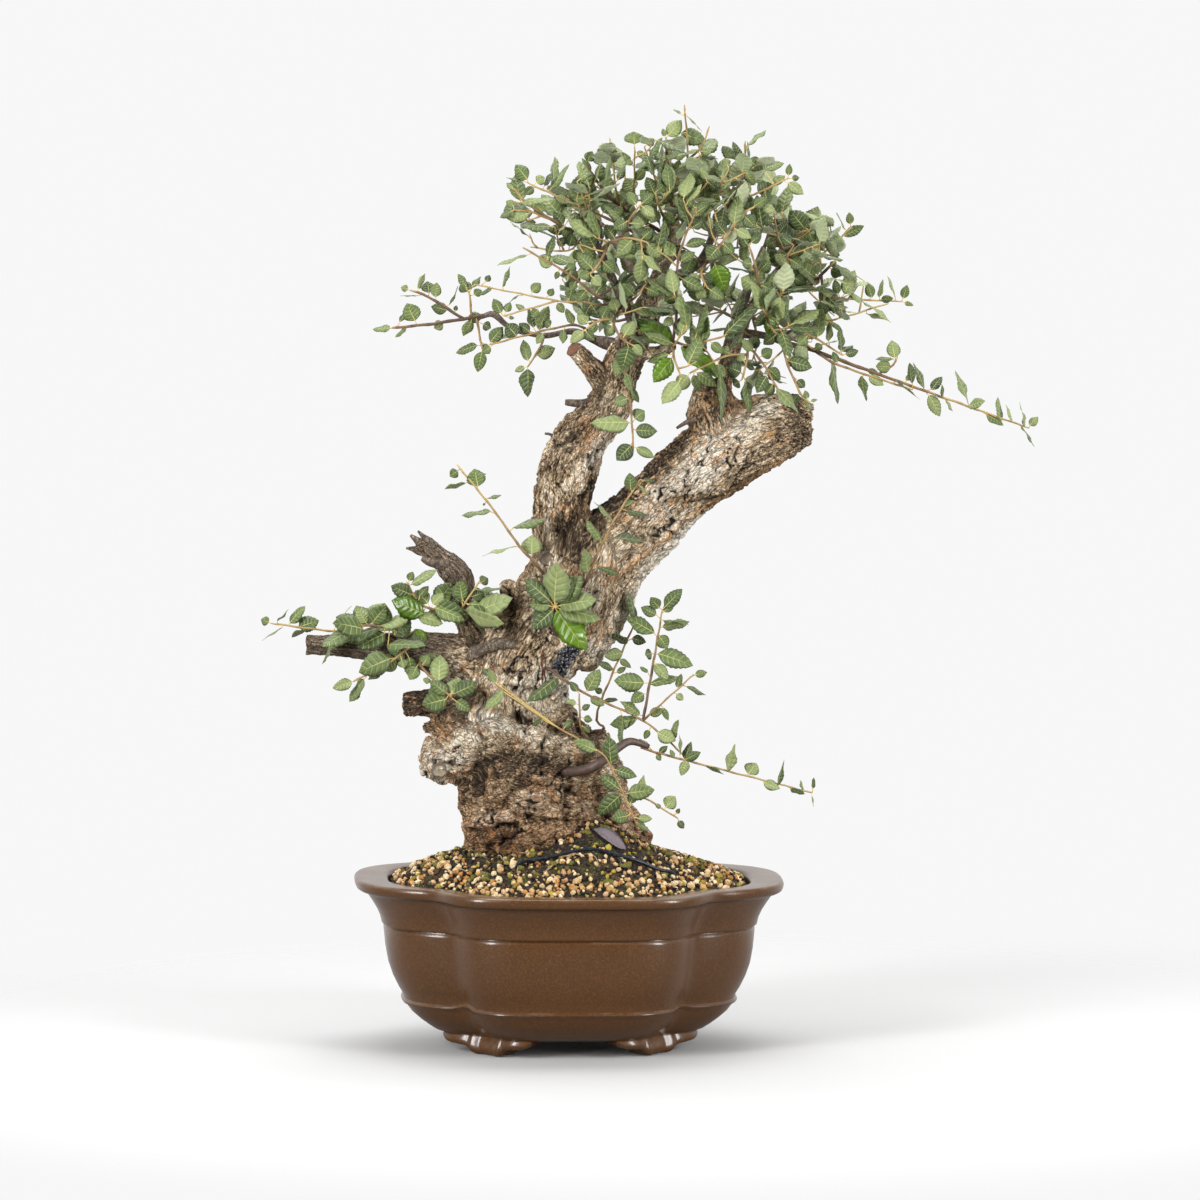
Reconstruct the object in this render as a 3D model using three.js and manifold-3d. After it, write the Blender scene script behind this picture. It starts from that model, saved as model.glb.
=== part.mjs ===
// Cork oak bonsai in an unglazed four-lobed pot. Millimetres, +Z up.
// The origin is under the middle of the whole tree and pot, where the pot's feet stand.
import * as THREE from "three";
import { mergeVertices } from "three/addons/utils/BufferGeometryUtils.js";
import Module from "manifold-3d";

const wasm = await Module();
wasm.setup();

// Clearance between pieces that touch
const gap = 0.3;

// Rings with this many sides or more close on a middle point
const roundCapFrom = 9;

// Pot: four lobes, two long ones at the sides and two broad ones at front and back
const potLength = 400;
const potWidth = 326;
const potHeight = 158;
const sideLobe = { reach: potLength / 2, half: 115, power: 3 };
const frontLobe = { reach: 133, half: potWidth / 2, power: 4 };
const lobeBlend = 24;
const potTurn = THREE.MathUtils.degToRad(3);
const rimDroop = 4;
const planSteps = 44;
const floorTop = 28;

// Height of each level of the pot and its size as a share of the rim's plan
const potOutside = [
  [17, 0.6], [26, 0.68], [41, 0.762], [45, 0.785], [48, 0.776], [68, 0.825], [94, 0.858],
  [116, 0.866], [118, 0.874], [134, 0.914], [146, 0.953], [149, 0.99], [155, 1.0], [158, 0.985],
];
const potInside = [[158, 0.846], [152, 0.834], [floorTop, 0.69]];

// Bracket feet under the four notches: share of the half length, height of the underside
const footProfile = [[1, 15.5], [0.9, 13], [0.78, 11], [0.48, 9.5], [0.38, 3], [0.24, 0]];
const notchAngle = THREE.MathUtils.degToRad(41);
const footHalfAngle = THREE.MathUtils.degToRad(27);
const footDepth = 24;
const footTop = 20;

// Drain holes in the floor and the lattices that cover them
const drainRadius = 14;
const drainAcross = 62;
const latticeSize = 42;
const latticeThickness = 1.2;
const latticeHole = 15;
const latticeBar = 3;

// Soil: a mound that rises from the wall to the roots, higher at the right root
const soilEdge = 154;
const soilRise = 38;
const soilFall = 4;
const soilShares = [1, 0.88, 0.66, 0.36];
const rootMound = { x: 25, y: -45, rise: 30, spreadX: 32, spreadY: 34 };

// Routes are picked on a front view that looks down by this angle:
// x across, h up in that view, y away from the viewer
const viewTilt = THREE.MathUtils.degToRad(6);
const towardViewer = new THREE.Vector3(0, -Math.cos(viewTilt), Math.sin(viewTilt));

// Wood: each limb is a route of [x, h, y, radius]
const wood = [
  { name: "butt", sides: 16, depth: 0.82, relief: 1, route: [
    [-14, 112, 0, 66], [-15, 160, 0, 78], [-15, 190, 0, 79], [-22, 218, 0, 79], [-25, 243, 0, 79],
    [-30, 268, 2, 73], [-40, 292, 4, 62], [-47, 312, 4, 51], [-45, 332, 3, 50], [-39, 352, 2, 54],
    [-25, 376, 0, 58], [-6, 400, 0, 54], [8, 425, 0, 53], [17, 452, 0, 50]] },
  { name: "left limb", sides: 10, depth: 0.92, relief: 1, route: [
    [4, 436, -2, 38], [-6, 470, -4, 29], [-7, 500, -6, 27], [-4, 524, -8, 28.5], [2, 545, -9, 28],
    [12, 563, -9, 26], [28, 583, -8, 23], [42, 604, -6, 20.5], [47, 624, -4, 19], [55, 646, -2, 17.5],
    [67, 670, 1, 14.5], [76, 692, 4, 11.5], [82, 714, 8, 8.5], [90, 738, 14, 6], [96, 764, 18, 4]] },
  { name: "right limb", sides: 10, depth: 0.9, relief: 1, route: [
    [18, 436, 0, 46], [40, 460, 2, 42], [62, 480, 4, 37], [96, 513, 7, 34.5], [135, 547, 10, 37],
    [176, 571, 12, 36], [208, 579, 13, 30], [226, 578, 13, 19]] },
  { name: "right root", sides: 6, depth: 1, relief: 1, route: [
    [22, 222, -6, 30], [50, 205, -8, 21], [66, 190, -8, 13], [82, 168, -8, 7]] },
  { name: "back left root", sides: 6, depth: 1, relief: 1, route: [
    [-50, 222, 36, 26], [-84, 196, 62, 16], [-104, 168, 78, 8]] },
  { name: "back right root", sides: 6, depth: 1, relief: 1, route: [
    [10, 224, 36, 26], [36, 200, 62, 15], [54, 170, 82, 7]] },
  { name: "front root", sides: 6, depth: 1, relief: 1, route: [
    [-52, 205, -44, 22], [-66, 186, -66, 14], [-76, 160, -82, 7]] },
  { name: "burl", sides: 8, depth: 1, relief: 1, route: [
    [-78, 276, -4, 34], [-106, 272, -8, 29], [-124, 265, -10, 21], [-137, 261, -10, 8]] },
  { name: "burl lip", sides: 6, depth: 1, relief: 1, route: [
    [-90, 303, -8, 11], [-116, 298, -12, 8], [-135, 296, -14, 5.5]] },
  { name: "low stub", sides: 7, depth: 1, relief: 1, route: [
    [-86, 324, -4, 20], [-118, 319, -8, 13], [-140, 318, -10, 12.5], [-153, 317, -11, 11]] },
  { name: "long stub", sides: 8, depth: 1, relief: 1, route: [
    [-76, 352, 0, 30], [-104, 360, -6, 22], [-132, 366, -10, 17], [-162, 370, -13, 13.5],
    [-204, 372, -16, 12], [-245, 373, -19, 11]] },
  { name: "spur", sides: 4, depth: 1, relief: 0, route: [
    [-200, 376, -16, 5], [-208, 390, -18, 4], [-214, 400, -19, 2.6]] },
  { name: "dead stub", sides: 7, depth: 0.85, relief: 1, route: [
    [-74, 368, 2, 22], [-88, 392, 0, 16], [-97, 418, -2, 14.5], [-106, 440, -3, 13.5],
    [-122, 456, -4, 10.5], [-138, 469, -5, 8]] },
  { name: "dead prong", sides: 4, depth: 1, relief: 0, route: [
    [-112, 448, -8, 6], [-128, 450, -12, 4.5], [-136, 454, -13, 2.5]] },
  { name: "hollow stub", sides: 7, depth: 1, relief: 0, route: [
    [-38, 388, -16, 17], [-50, 410, -24, 11], [-57, 432, -28, 7.5]] },
  { name: "grown over limb", sides: 6, depth: 1, relief: 0, route: [
    [-98, 356, -10, 9], [-80, 369, -30, 7], [-60, 374, -41, 6.5], [-36, 370, -46, 5]] },
  { name: "smooth side branch", sides: 6, depth: 1, relief: 0, route: [
    [-20, 258, -52, 6.5], [2, 255, -65, 6], [22, 260, -69, 5.2], [36, 270, -68, 4.6], [47, 279, -64, 4.2],
    [58, 284, -58, 3.7], [74, 279, -52, 2.6]] },
  { name: "upper left stub", sides: 7, depth: 1, relief: 0, route: [
    [42, 600, -6, 14], [28, 622, -10, 11], [14, 638, -12, 9.5], [4, 648, -13, 8.5]] },
  { name: "pointed stub", sides: 5, depth: 1, relief: 0, route: [
    [34, 600, -8, 8], [16, 597, -14, 5], [-3, 598, -17, 2.6]] },
  { name: "hooked twig", sides: 4, depth: 1, relief: 0, route: [
    [0, 560, -12, 3], [-12, 561, -16, 2], [-16, 568, -17, 1.4], [-22, 569, -18, 1]] },
  { name: "knob", sides: 8, depth: 1, relief: 1, route: [
    [142, 566, 8, 28], [133, 594, 2, 25.5], [128, 610, 0, 18], [126, 620, 0, 9]] },
  { name: "dead twig", sides: 4, depth: 1, relief: 0, route: [
    [124, 584, -12, 3.4], [112, 581, -16, 2.4], [100, 574, -18, 1.2]] },
  { name: "knob branch", sides: 6, depth: 1, relief: 0, route: [
    [138, 598, 4, 12], [147, 630, 8, 8], [153, 655, 8, 7], [163, 677, 6, 6], [178, 691, 2, 4.6],
    [203, 700, -3, 3.4], [230, 712, -8, 2.4]] },
  { name: "right arm", sides: 4, depth: 1, relief: 0, route: [
    [166, 680, 6, 4.4], [186, 710, 4, 3.4], [204, 734, 0, 2.6], [214, 747, -4, 2]] },
  { name: "right low arm", sides: 4, depth: 1, relief: 0, route: [
    [156, 662, 8, 4.6], [180, 660, -6, 3.6], [204, 652, -14, 2.8], [222, 647, -18, 2.3]] },
  { name: "left arm", sides: 5, depth: 1, relief: 0, route: [
    [66, 668, 0, 8], [50, 692, -16, 4.4], [38, 718, -24, 3.6], [28, 740, -30, 3], [18, 757, -34, 2.4]] },
  { name: "crossing arm", sides: 4, depth: 1, relief: 0, route: [
    [79, 702, 4, 7], [100, 714, -6, 5], [121, 727, -12, 4], [133, 751, -16, 3.4], [144, 774, -18, 2.6]] },
  { name: "short arm", sides: 6, depth: 1, relief: 0, route: [
    [56, 643, -6, 10], [74, 643, -18, 6], [88, 646, -30, 4], [96, 650, -38, 2.6]] },
  { name: "low left arm", sides: 4, depth: 1, relief: 0, route: [
    [50, 650, 4, 9], [26, 656, 6, 4.4], [4, 664, 6, 3], [-22, 660, 6, 2.6], [-45, 664, 6, 2.4],
    [-58, 670, 6, 2.6], [-70, 680, 6, 2.8], [-82, 677, 6, 2]] },
  { name: "back left arm", sides: 4, depth: 1, relief: 0, route: [
    [78, 698, 8, 8], [62, 722, 36, 5], [46, 744, 58, 3.6], [34, 764, 74, 2.4]] },
  { name: "back arm", sides: 4, depth: 1, relief: 0, route: [
    [83, 716, 10, 6], [98, 742, 40, 4.4], [108, 768, 62, 2.8]] },
  { name: "back right arm", sides: 4, depth: 1, relief: 0, route: [
    [150, 648, 10, 7], [160, 684, 40, 5], [172, 720, 62, 3.4], [182, 744, 76, 2.4]] },
];

// Leafy sprays: stems are [first radius, last radius, [x, h, y], ...]; a leaf is
// [x, h of its base, x, h of its tip, the width seen from the front]; auto is the
// number of leaves that a rule sets along each stem
const sprays = [
  { name: "spray_left_long", stems: [
    [1.6, 1.1, [-78, 679, 6], [-125, 671, -2], [-164, 667, -4]],
    [1.4, 0.9, [-96, 676, 2], [-130, 696, 6], [-147, 702, 6]],
    [1.1, 0.8, [-88, 677, 4], [-92, 700, -6]],
    [1.1, 0.8, [-83, 676, 5], [-80, 647, -4]]], leaves: [
    [-162, 667, -182, 667, 7], [-141, 671, -150, 689, 16], [-114, 673, -125, 667, 9],
    [-129, 697, -131, 711, 13], [-124, 693, -122, 709, 9], [-110, 683, -128, 688, 10],
    [-92, 698, -99, 710, 11], [-97, 676, -79, 677, 9], [-90, 674, -98, 659, 9], [-82, 652, -105, 645, 8],
    [-80, 648, -84, 626, 11],
  ] },
  { name: "spray_left_hanging", stems: [
    [1.2, 0.8, [-23, 661, 5], [-26, 650, -3], [-38, 631, -5]]], leaves: [
    [-38, 632, -37, 603, 13], [-32, 641, -12, 648, 13],
  ] },
  { name: "spray_left_low", stems: [
    [1.3, 0.8, [26, 656, 4], [12, 668, -12], [-10, 667, -20], [-73, 651, -26]]], leaves: [
    [-74, 651, -61, 668, 12], [-46, 657, -58, 670, 13], [6, 668, -3, 684, 8], [-32, 664, -36, 686, 8],
    [-28, 665, -17, 686, 10],
  ] },
  { name: "spray_left_thin", stems: [
    [1.2, 0.7, [50, 690, -14], [30, 687, -38], [14, 690, -44], [-10, 691, -42], [-86, 706, -34]],
    [0.9, 0.7, [-12, 691, -42], [-60, 677, -40]]], leaves: [
    [-36, 697, -26, 707, 9], [-61, 677, -69, 693, 9], [-59, 678, -54, 690, 8], [0, 690, 4, 704, 10],
    [12, 690, 3, 696, 12], [20, 688, 14, 674, 10],
  ] },
  { name: "spray_left_upper", stems: [
    [1.5, 0.8, [50, 692, -18], [28, 694, -56], [0, 715, -62], [-42, 739, -60]]], leaves: [
    [-12, 722, -28, 731, 13], [-20, 728, -14, 751, 7], [18, 702, 8, 690, 9], [24, 697, 34, 708, 10],
  ] },
  { name: "spray_top_left", stems: [
    [1.8, 0.9, [20, 754, -32], [2, 756, -40], [-15, 765, -44], [-40, 782, -46], [-50, 794, -46]],
    [0.9, 0.7, [-14, 764, -44], [-34, 772, -50], [-50, 774, -52]],
    [0.9, 0.7, [22, 750, -31], [0, 737, -44], [-35, 740, -48]]], leaves: [
    [-34, 772, -54, 765, 10], [-44, 781, -15, 787, 8], [2, 756, -20, 757, 9], [8, 756, 6, 772, 12],
    [12, 742, 26, 730, 11], [14, 755, 20, 740, 11],
  ] },
  { name: "spray_top_left_high", stems: [
    [1.7, 0.8, [92, 742, 13], [66, 752, -14], [40, 765, -30], [2, 781, -42], [-37, 799, -46]],
    [0.9, 0.7, [18, 775, -38], [8, 800, -54]]], leaves: [
    [-36, 800, -48, 815, 13], [-18, 791, 0, 817, 9], [18, 777, 4, 803, 20], [30, 770, 40, 782, 11],
    [44, 763, 34, 748, 10], [52, 760, 62, 772, 12],
  ] },
  { name: "spray_top_twigs", stems: [
    [1.9, 0.9, [93, 752, 16], [47, 779, -16], [30, 797, -24], [16, 817, -28]],
    [1.1, 0.7, [46, 780, -16], [43, 800, -22], [38, 841, -26]],
    [1.0, 0.7, [56, 772, -10], [60, 790, -26], [61, 832, -38]]], leaves: [
    [16, 817, 22, 829, 10], [30, 799, 30, 817, 11], [38, 790, 38, 806, 9], [61, 832, 60, 846, 16],
    [62, 790, 52, 804, 14], [60, 800, 70, 812, 9],
  ] },
  { name: "spray_crown_top", stems: [
    [1.9, 0.9, [97, 764, 18], [92, 815, -14], [90, 842, -18]],
    [1.4, 0.7, [97, 772, 12], [106, 800, -6], [110, 828, -16], [107, 872, -20]],
    [1.1, 0.7, [96, 785, 4], [82, 800, -14], [70, 833, -24]],
    [1.0, 0.7, [109, 822, -14], [122, 832, -22], [130, 852, -24]]], leaves: [
    [90, 841, 104, 858, 12], [104, 846, 127, 838, 14], [97, 824, 120, 832, 6], [110, 815, 104, 798, 10],
    [102, 806, 122, 822, 15], [92, 815, 84, 802, 10], [96, 795, 88, 782, 10], [104, 795, 114, 788, 10],
  ] },
  { name: "spray_top_right", stems: [
    [1.7, 0.8, [144, 773, -18], [156, 792, -28], [162, 812, -32], [163, 838, -34]],
    [1.2, 0.7, [150, 783, -24], [170, 788, -40], [202, 803, -46]],
    [1.0, 0.7, [146, 778, -20], [140, 795, -34], [148, 812, -38]]], leaves: [
    [160, 820, 152, 838, 8], [163, 822, 180, 812, 13], [162, 812, 172, 797, 9], [200, 801, 216, 788, 10],
    [172, 789, 188, 798, 15], [154, 790, 172, 776, 14], [141, 790, 130, 780, 10],
  ] },
  { name: "spray_right_high", stems: [
    [1.6, 0.8, [208, 740, -2], [212, 752, -18], [222, 757, -24]],
    [1.3, 0.8, [200, 730, 1], [196, 740, -20], [192, 756, -28], [190, 772, -30]]], leaves: [
    [220, 756, 205, 774, 18], [200, 738, 189, 762, 16], [206, 742, 213, 728, 11],
    [196, 738, 184, 728, 12],
  ] },
  { name: "spray_right_upper", stems: [
    [1.5, 0.8, [206, 701, -4], [216, 716, 4], [262, 760, -2]]], leaves: [
    [236, 738, 233, 766, 12], [242, 743, 249, 757, 10], [252, 751, 274, 761, 8],
    [224, 726, 214, 738, 10],
  ] },
  { name: "spray_right_mid", stems: [
    [1.7, 0.9, [229, 711, -8], [247, 729, -16]],
    [1.4, 0.7, [226, 709, -7], [238, 699, -18], [252, 694, -20], [308, 691, -16]],
    [1.0, 0.7, [236, 701, -16], [236, 684, -26], [240, 673, -28], [296, 689, -24]]], leaves: [
    [228, 713, 209, 729, 15], [240, 722, 254, 716, 12], [232, 703, 258, 680, 15],
    [254, 695, 265, 720, 12], [250, 695, 246, 711, 8], [282, 692, 276, 708, 9], [270, 692, 300, 676, 3],
    [238, 675, 233, 690, 9],
  ] },
  { name: "spray_right_long", stems: [
    [1.9, 0.7, [221, 648, -18], [300, 619, -24], [426, 574, -24]],
    [1.3, 0.8, [222, 646, -18], [250, 632, -32], [318, 609, -36]],
    [1.0, 0.7, [290, 624, -23], [300, 632, -32], [304, 640, -34]]], leaves: [
    [425, 574, 434, 584, 7], [419, 576, 432, 557, 4],
    [242, 640, 253, 597, 4], [271, 625, 272, 598, 8], [275, 623, 291, 614, 9], [301, 630, 284, 631, 11],
    [302, 636, 299, 655, 12], [330, 608, 321, 635, 7], [318, 612, 314, 634, 6], [334, 607, 345, 622, 7],
    [332, 607, 345, 585, 11], [371, 593, 361, 628, 3], [384, 588, 403, 578, 7], [401, 581, 399, 603, 6],
  ] },
  { name: "spray_right_low", stems: [
    [1.4, 0.8, [198, 654, -12], [206, 664, -30], [222, 660, -36], [253, 641, -38]],
    [1.2, 0.8, [196, 655, -12], [200, 640, -34], [214, 606, -42], [222, 597, -42]]], leaves: [
    [230, 655, 233, 684, 12], [222, 660, 207, 674, 16], [222, 660, 212, 650, 11],
    [202, 636, 225, 630, 14], [200, 640, 212, 632, 10], [214, 663, 222, 675, 9],
  ] },
  { name: "spray_front_right", stems: [
    [1.5, 0.8, [170, 662, 0], [166, 648, -34], [164, 632, -46], [160, 618, -48]],
    [1.2, 0.8, [166, 650, -30], [180, 632, -50], [196, 604, -54]],
    [1.2, 0.8, [165, 642, -40], [146, 640, -48], [112, 624, -54]]], leaves: [
    [162, 624, 147, 630, 15], [163, 620, 168, 588, 9], [190, 612, 213, 590, 12],
    [182, 630, 196, 618, 12], [184, 624, 174, 606, 11], [112, 624, 99, 608, 12], [116, 626, 137, 614, 9],
  ] },
  { name: "spray_front_stem", stems: [
    [1.6, 0.8, [95, 650, -36], [99, 672, -52], [101, 728, -60], [118, 775, -62]],
    [1.3, 0.8, [96, 652, -38], [112, 650, -56], [144, 658, -64]],
    [1.2, 0.8, [95, 649, -37], [98, 636, -60], [104, 620, -66]]], leaves: [
    [97, 650, 64, 677, 17], [104, 648, 146, 623, 17], [97, 640, 78, 616, 16], [104, 618, 87, 596, 15],
    [143, 658, 172, 690, 15], [102, 712, 124, 700, 12], [101, 730, 84, 746, 12], [112, 758, 104, 784, 9],
  ] },
  { name: "spray_front_glossy", stems: [
    [1.5, 0.8, [122, 728, -12], [134, 727, -58], [140, 742, -62], [152, 757, -64]],
    [1.2, 0.8, [128, 731, -40], [122, 716, -58], [128, 702, -62]],
    [1.2, 0.8, [150, 755, -64], [160, 770, -64], [176, 778, -62]]], leaves: [
    [134, 726, 145, 698, 21], [140, 742, 128, 728, 14], [152, 757, 155, 786, 13],
    [160, 770, 172, 758, 12], [128, 702, 144, 692, 12],
  ] },
  { name: "spray_front_right_mid", stems: [
    [1.5, 0.8, [180, 691, 2], [182, 686, -30], [184, 672, -44], [192, 660, -48]],
    [1.4, 0.8, [182, 688, -24], [176, 704, -44], [172, 724, -52], [166, 742, -54]],
    [1.3, 0.8, [204, 701, -4], [206, 712, -30], [202, 730, -38], [208, 742, -40]]], leaves: [
    [184, 682, 190, 654, 10], [186, 668, 203, 650, 12], [176, 702, 160, 712, 14],
    [174, 716, 186, 728, 12], [168, 738, 158, 752, 12], [203, 730, 216, 722, 12],
  ] },
  { name: "spray_front_hanging", stems: [
    [1.5, 0.8, [50, 655, -10], [47, 652, -30], [52, 625, -44], [57, 600, -48], [60, 552, -48]]], leaves: [
    [52, 640, 45, 622, 16], [59, 579, 22, 579, 14], [59, 572, 82, 570, 12], [60, 560, 45, 544, 14],
  ] },
  { name: "spray_front_left_mid", stems: [
    [1.6, 0.8, [52, 688, -14], [46, 682, -40], [42, 668, -56], [50, 655, -62], [58, 650, -64]],
    [1.2, 0.8, [48, 684, -34], [62, 694, -56], [72, 706, -62]],
    [1.2, 0.8, [44, 674, -50], [28, 672, -60], [16, 664, -64]]], leaves: [
    [56, 651, 50, 626, 16], [50, 656, 60, 672, 12], [42, 668, 30, 680, 12], [16, 664, 2, 652, 10],
    [62, 694, 50, 706, 12], [72, 706, 64, 722, 13],
  ] },
  { name: "spray_front_left_high", stems: [
    [1.6, 0.8, [30, 738, -29], [40, 745, -52], [56, 748, -58], [72, 744, -62]],
    [1.3, 0.8, [36, 742, -46], [30, 728, -60], [20, 714, -66]],
    [1.3, 0.8, [48, 747, -56], [56, 764, -64], [66, 778, -66]]], leaves: [
    [60, 748, 44, 732, 13], [72, 744, 84, 730, 13], [30, 728, 42, 716, 12], [24, 718, 8, 734, 13],
    [44, 746, 34, 760, 12], [52, 748, 62, 732, 11],
  ] },
  { name: "spray_crown_middle", stems: [
    [1.6, 0.8, [95, 756, 16], [92, 762, -22], [84, 776, -42], [80, 790, -50]],
    [1.3, 0.8, [93, 760, -14], [106, 772, -36], [128, 800, -46]]], leaves: [
    [82, 778, 66, 792, 13], [86, 773, 98, 762, 12], [84, 776, 76, 762, 11], [108, 774, 98, 788, 11],
    [80, 788, 72, 804, 10],
  ] },
  { name: "spray_back_left", auto: 2, stems: [
    [1.6, 0.8, [34, 763, 73], [2, 790, 88], [-14, 800, 90]],
    [1.4, 0.8, [40, 754, 66], [30, 748, 92], [16, 738, 106], [2, 730, 112]]], leaves: [] },
  { name: "spray_back_left_high", auto: 2, stems: [
    [1.6, 0.8, [46, 744, 58], [52, 766, 72], [54, 790, 80], [52, 814, 82]],
    [1.3, 0.8, [50, 758, 68], [66, 772, 92], [80, 784, 104]]], leaves: [] },
  { name: "spray_back_left_low", auto: 2, stems: [
    [1.6, 0.8, [64, 720, 33], [24, 696, 74], [6, 690, 84]],
    [1.4, 0.8, [56, 713, 44], [58, 698, 74], [50, 682, 92]]], leaves: [] },
  { name: "spray_back_middle", auto: 2, stems: [
    [1.6, 0.8, [108, 766, 61], [114, 806, 74], [112, 828, 72]],
    [1.3, 0.8, [110, 776, 66], [128, 786, 88], [142, 798, 98]]], leaves: [] },
  { name: "spray_back_deep", auto: 2, stems: [
    [1.6, 0.8, [98, 742, 40], [110, 724, 112]],
    [1.3, 0.8, [102, 737, 62], [76, 712, 96]]], leaves: [] },
  { name: "spray_back_right_high", auto: 2, stems: [
    [1.6, 0.8, [182, 743, 75], [188, 762, 82], [190, 784, 84], [186, 802, 82]],
    [1.3, 0.8, [186, 752, 79], [206, 758, 88], [222, 762, 90]]], leaves: [] },
  { name: "spray_back_right", auto: 2, stems: [
    [1.6, 0.8, [170, 714, 58], [190, 708, 76], [232, 704, 94]],
    [1.3, 0.8, [182, 710, 70], [180, 694, 92], [172, 682, 106]]], leaves: [] },
  { name: "spray_back_right_low", auto: 2, stems: [
    [1.6, 0.8, [160, 684, 40], [206, 660, 58], [228, 650, 62]],
    [1.3, 0.8, [170, 678, 45], [176, 656, 66], [172, 640, 76]]], leaves: [] },
  { name: "spray_inner_right", auto: 3, stems: [
    [1.6, 0.8, [188, 712, 4], [196, 722, 26], [206, 740, 38], [212, 756, 42]]], leaves: [] },
  { name: "spray_inner_middle", auto: 3, stems: [
    [1.6, 0.8, [160, 674, 8], [140, 684, 28], [122, 690, 36]]], leaves: [] },
  { name: "spray_inner_left", auto: 3, stems: [
    [1.6, 0.8, [72, 682, 4], [54, 676, 26], [34, 674, 38], [14, 678, 46]]], leaves: [] },
  { name: "spray_inner_high", auto: 2, stems: [
    [1.6, 0.8, [80, 708, 8], [66, 716, 14], [58, 730, 20], [56, 748, 24]]], leaves: [] },
  { name: "spray_inner_top", auto: 2, stems: [
    [1.6, 0.8, [144, 773, -16], [150, 786, 8], [154, 802, 20], [156, 822, 24]],
    [1.3, 0.8, [134, 753, -14], [146, 744, 12], [162, 742, 24]]], leaves: [] },
  { name: "stub_spray_far", stems: [
    [1.5, 0.8, [-150, 374, -20], [-158, 388, -32], [-190, 391, -36], [-215, 386, -38], [-275, 393, -32]]], leaves: [
    [-275, 393, -285, 397, 7],
    [-260, 391, -246, 410, 9], [-253, 389, -232, 396, 12], [-190, 391, -212, 403, 9],
    [-186, 391, -196, 407, 12], [-184, 391, -170, 409, 15], [-172, 390, -214, 379, 10],
    [-178, 391, -148, 400, 9], [-164, 388, -147, 391, 12],
  ] },
  { name: "stub_spray_under", stems: [
    [1.4, 0.8, [-134, 366, -16], [-142, 374, -32], [-165, 358, -40], [-200, 339, -40]]], leaves: [
    [-146, 371, -134, 380, 13], [-166, 358, -191, 350, 17], [-188, 344, -204, 321, 8],
  ] },
  { name: "stub_spray_rosette", stems: [
    [1.4, 0.9, [-122, 362, -18], [-138, 357, -40], [-126, 342, -46], [-108, 324, -48]]], leaves: [
    [-139, 356, -147, 341, 10], [-120, 337, -120, 364, 16], [-110, 326, -128, 340, 11],
    [-108, 327, -85, 338, 14], [-110, 324, -136, 317, 17], [-107, 323, -91, 312, 10],
  ] },
  { name: "stub_spray_front", stems: [
    [1.5, 0.8, [-93, 402, -6], [-106, 404, -26], [-136, 410, -38], [-150, 432, -40]],
    [1.1, 0.7, [-100, 403, -20], [-96, 412, -34], [-82, 433, -38]]], leaves: [
    [-136, 410, -155, 417, 15], [-134, 409, -152, 402, 14], [-148, 428, -122, 444, 9],
    [-127, 409, -96, 398, 12], [-104, 404, -116, 428, 12], [-96, 411, -58, 411, 14],
    [-98, 406, -64, 388, 9],
  ] },
  { name: "trunk_spray_rosette", stems: [
    [1.6, 1.2, [-11, 402, -34], [-13, 409, -58]]], leaves: [
    [-14, 411, -39, 434, 14], [-13, 413, -11, 446, 18], [-11, 411, 10, 437, 14], [-11, 409, 25, 417, 11],
    [-11, 407, 30, 401, 14], [-14, 406, -33, 388, 14], [-11, 405, 15, 368, 20],
  ] },
  { name: "trunk_shoot_left", stems: [
    [1.5, 0.8, [-20, 434, -24], [-30, 448, -40], [-45, 464, -46], [-70, 499, -48], [-103, 540, -42]]], leaves: [
    [-34, 454, -34, 475, 17], [-54, 481, -22, 493, 5], [-69, 497, -99, 495, 5], [-83, 517, -87, 536, 16],
  ] },
  { name: "trunk_shoot_right", stems: [
    [1.4, 0.8, [12, 424, -34], [17, 434, -50], [22, 447, -54], [42, 488, -58], [66, 526, -58]]], leaves: [
    [18, 440, 15, 462, 11], [32, 467, 18, 489, 6], [50, 498, 75, 494, 7], [58, 513, 56, 531, 10],
  ] },
  { name: "trunk_spray_low_right", stems: [
    [1.5, 0.8, [-30, 356, -30], [-15, 349, -50], [0, 338, -54], [20, 326, -54], [69, 303, -46],
      [108, 270, -34]],
    [1.3, 0.7, [69, 303, -46], [80, 365, -34], [87, 406, -32]],
    [1.0, 0.7, [70, 303, -46], [85, 318, -56], [116, 346, -58]]], leaves: [
    [-8, 345, -38, 323, 10], [16, 328, 28, 351, 14], [66, 305, 38, 300, 10], [68, 306, 50, 323, 9],
    [73, 338, 43, 339, 17], [73, 336, 104, 347, 10], [78, 358, 92, 343, 10], [80, 366, 115, 356, 14],
    [82, 383, 53, 400, 13], [82, 384, 92, 370, 13], [84, 390, 112, 392, 9], [87, 406, 105, 425, 11],
    [80, 293, 99, 284, 13],
  ] },
  { name: "trunk_spray_side", stems: [
    [1.4, 0.8, [20, 290, -8], [33, 296, -14], [27, 312, -18], [64, 400, -20]]], leaves: [
    [60, 390, 53, 409, 10], [62, 396, 58, 422, 9], [64, 400, 84, 424, 7], [50, 366, 34, 362, 12],
  ] },
  { name: "trunk_sprig", stems: [
    [1.2, 0.8, [10, 287, -38], [18, 286, -54], [11, 299, -68], [10, 328, -72]]], leaves: [
    [11, 306, 22, 304, 7], [10, 328, 2, 340, 6],
  ] },
  { name: "branch_spray_right", stems: [
    [1.3, 0.7, [72, 280, -53], [80, 274, -52], [226, 236, -38]]], leaves: [
    [110, 266, 104, 252, 9], [108, 267, 122, 274, 9], [108, 267, 112, 284, 7], [147, 256, 151, 281, 8],
    [165, 251, 174, 264, 14], [178, 247, 196, 240, 9], [194, 243, 198, 267, 5], [76, 277, 66, 288, 6],
  ] },
  { name: "trunk_spray_low_front", stems: [
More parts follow.
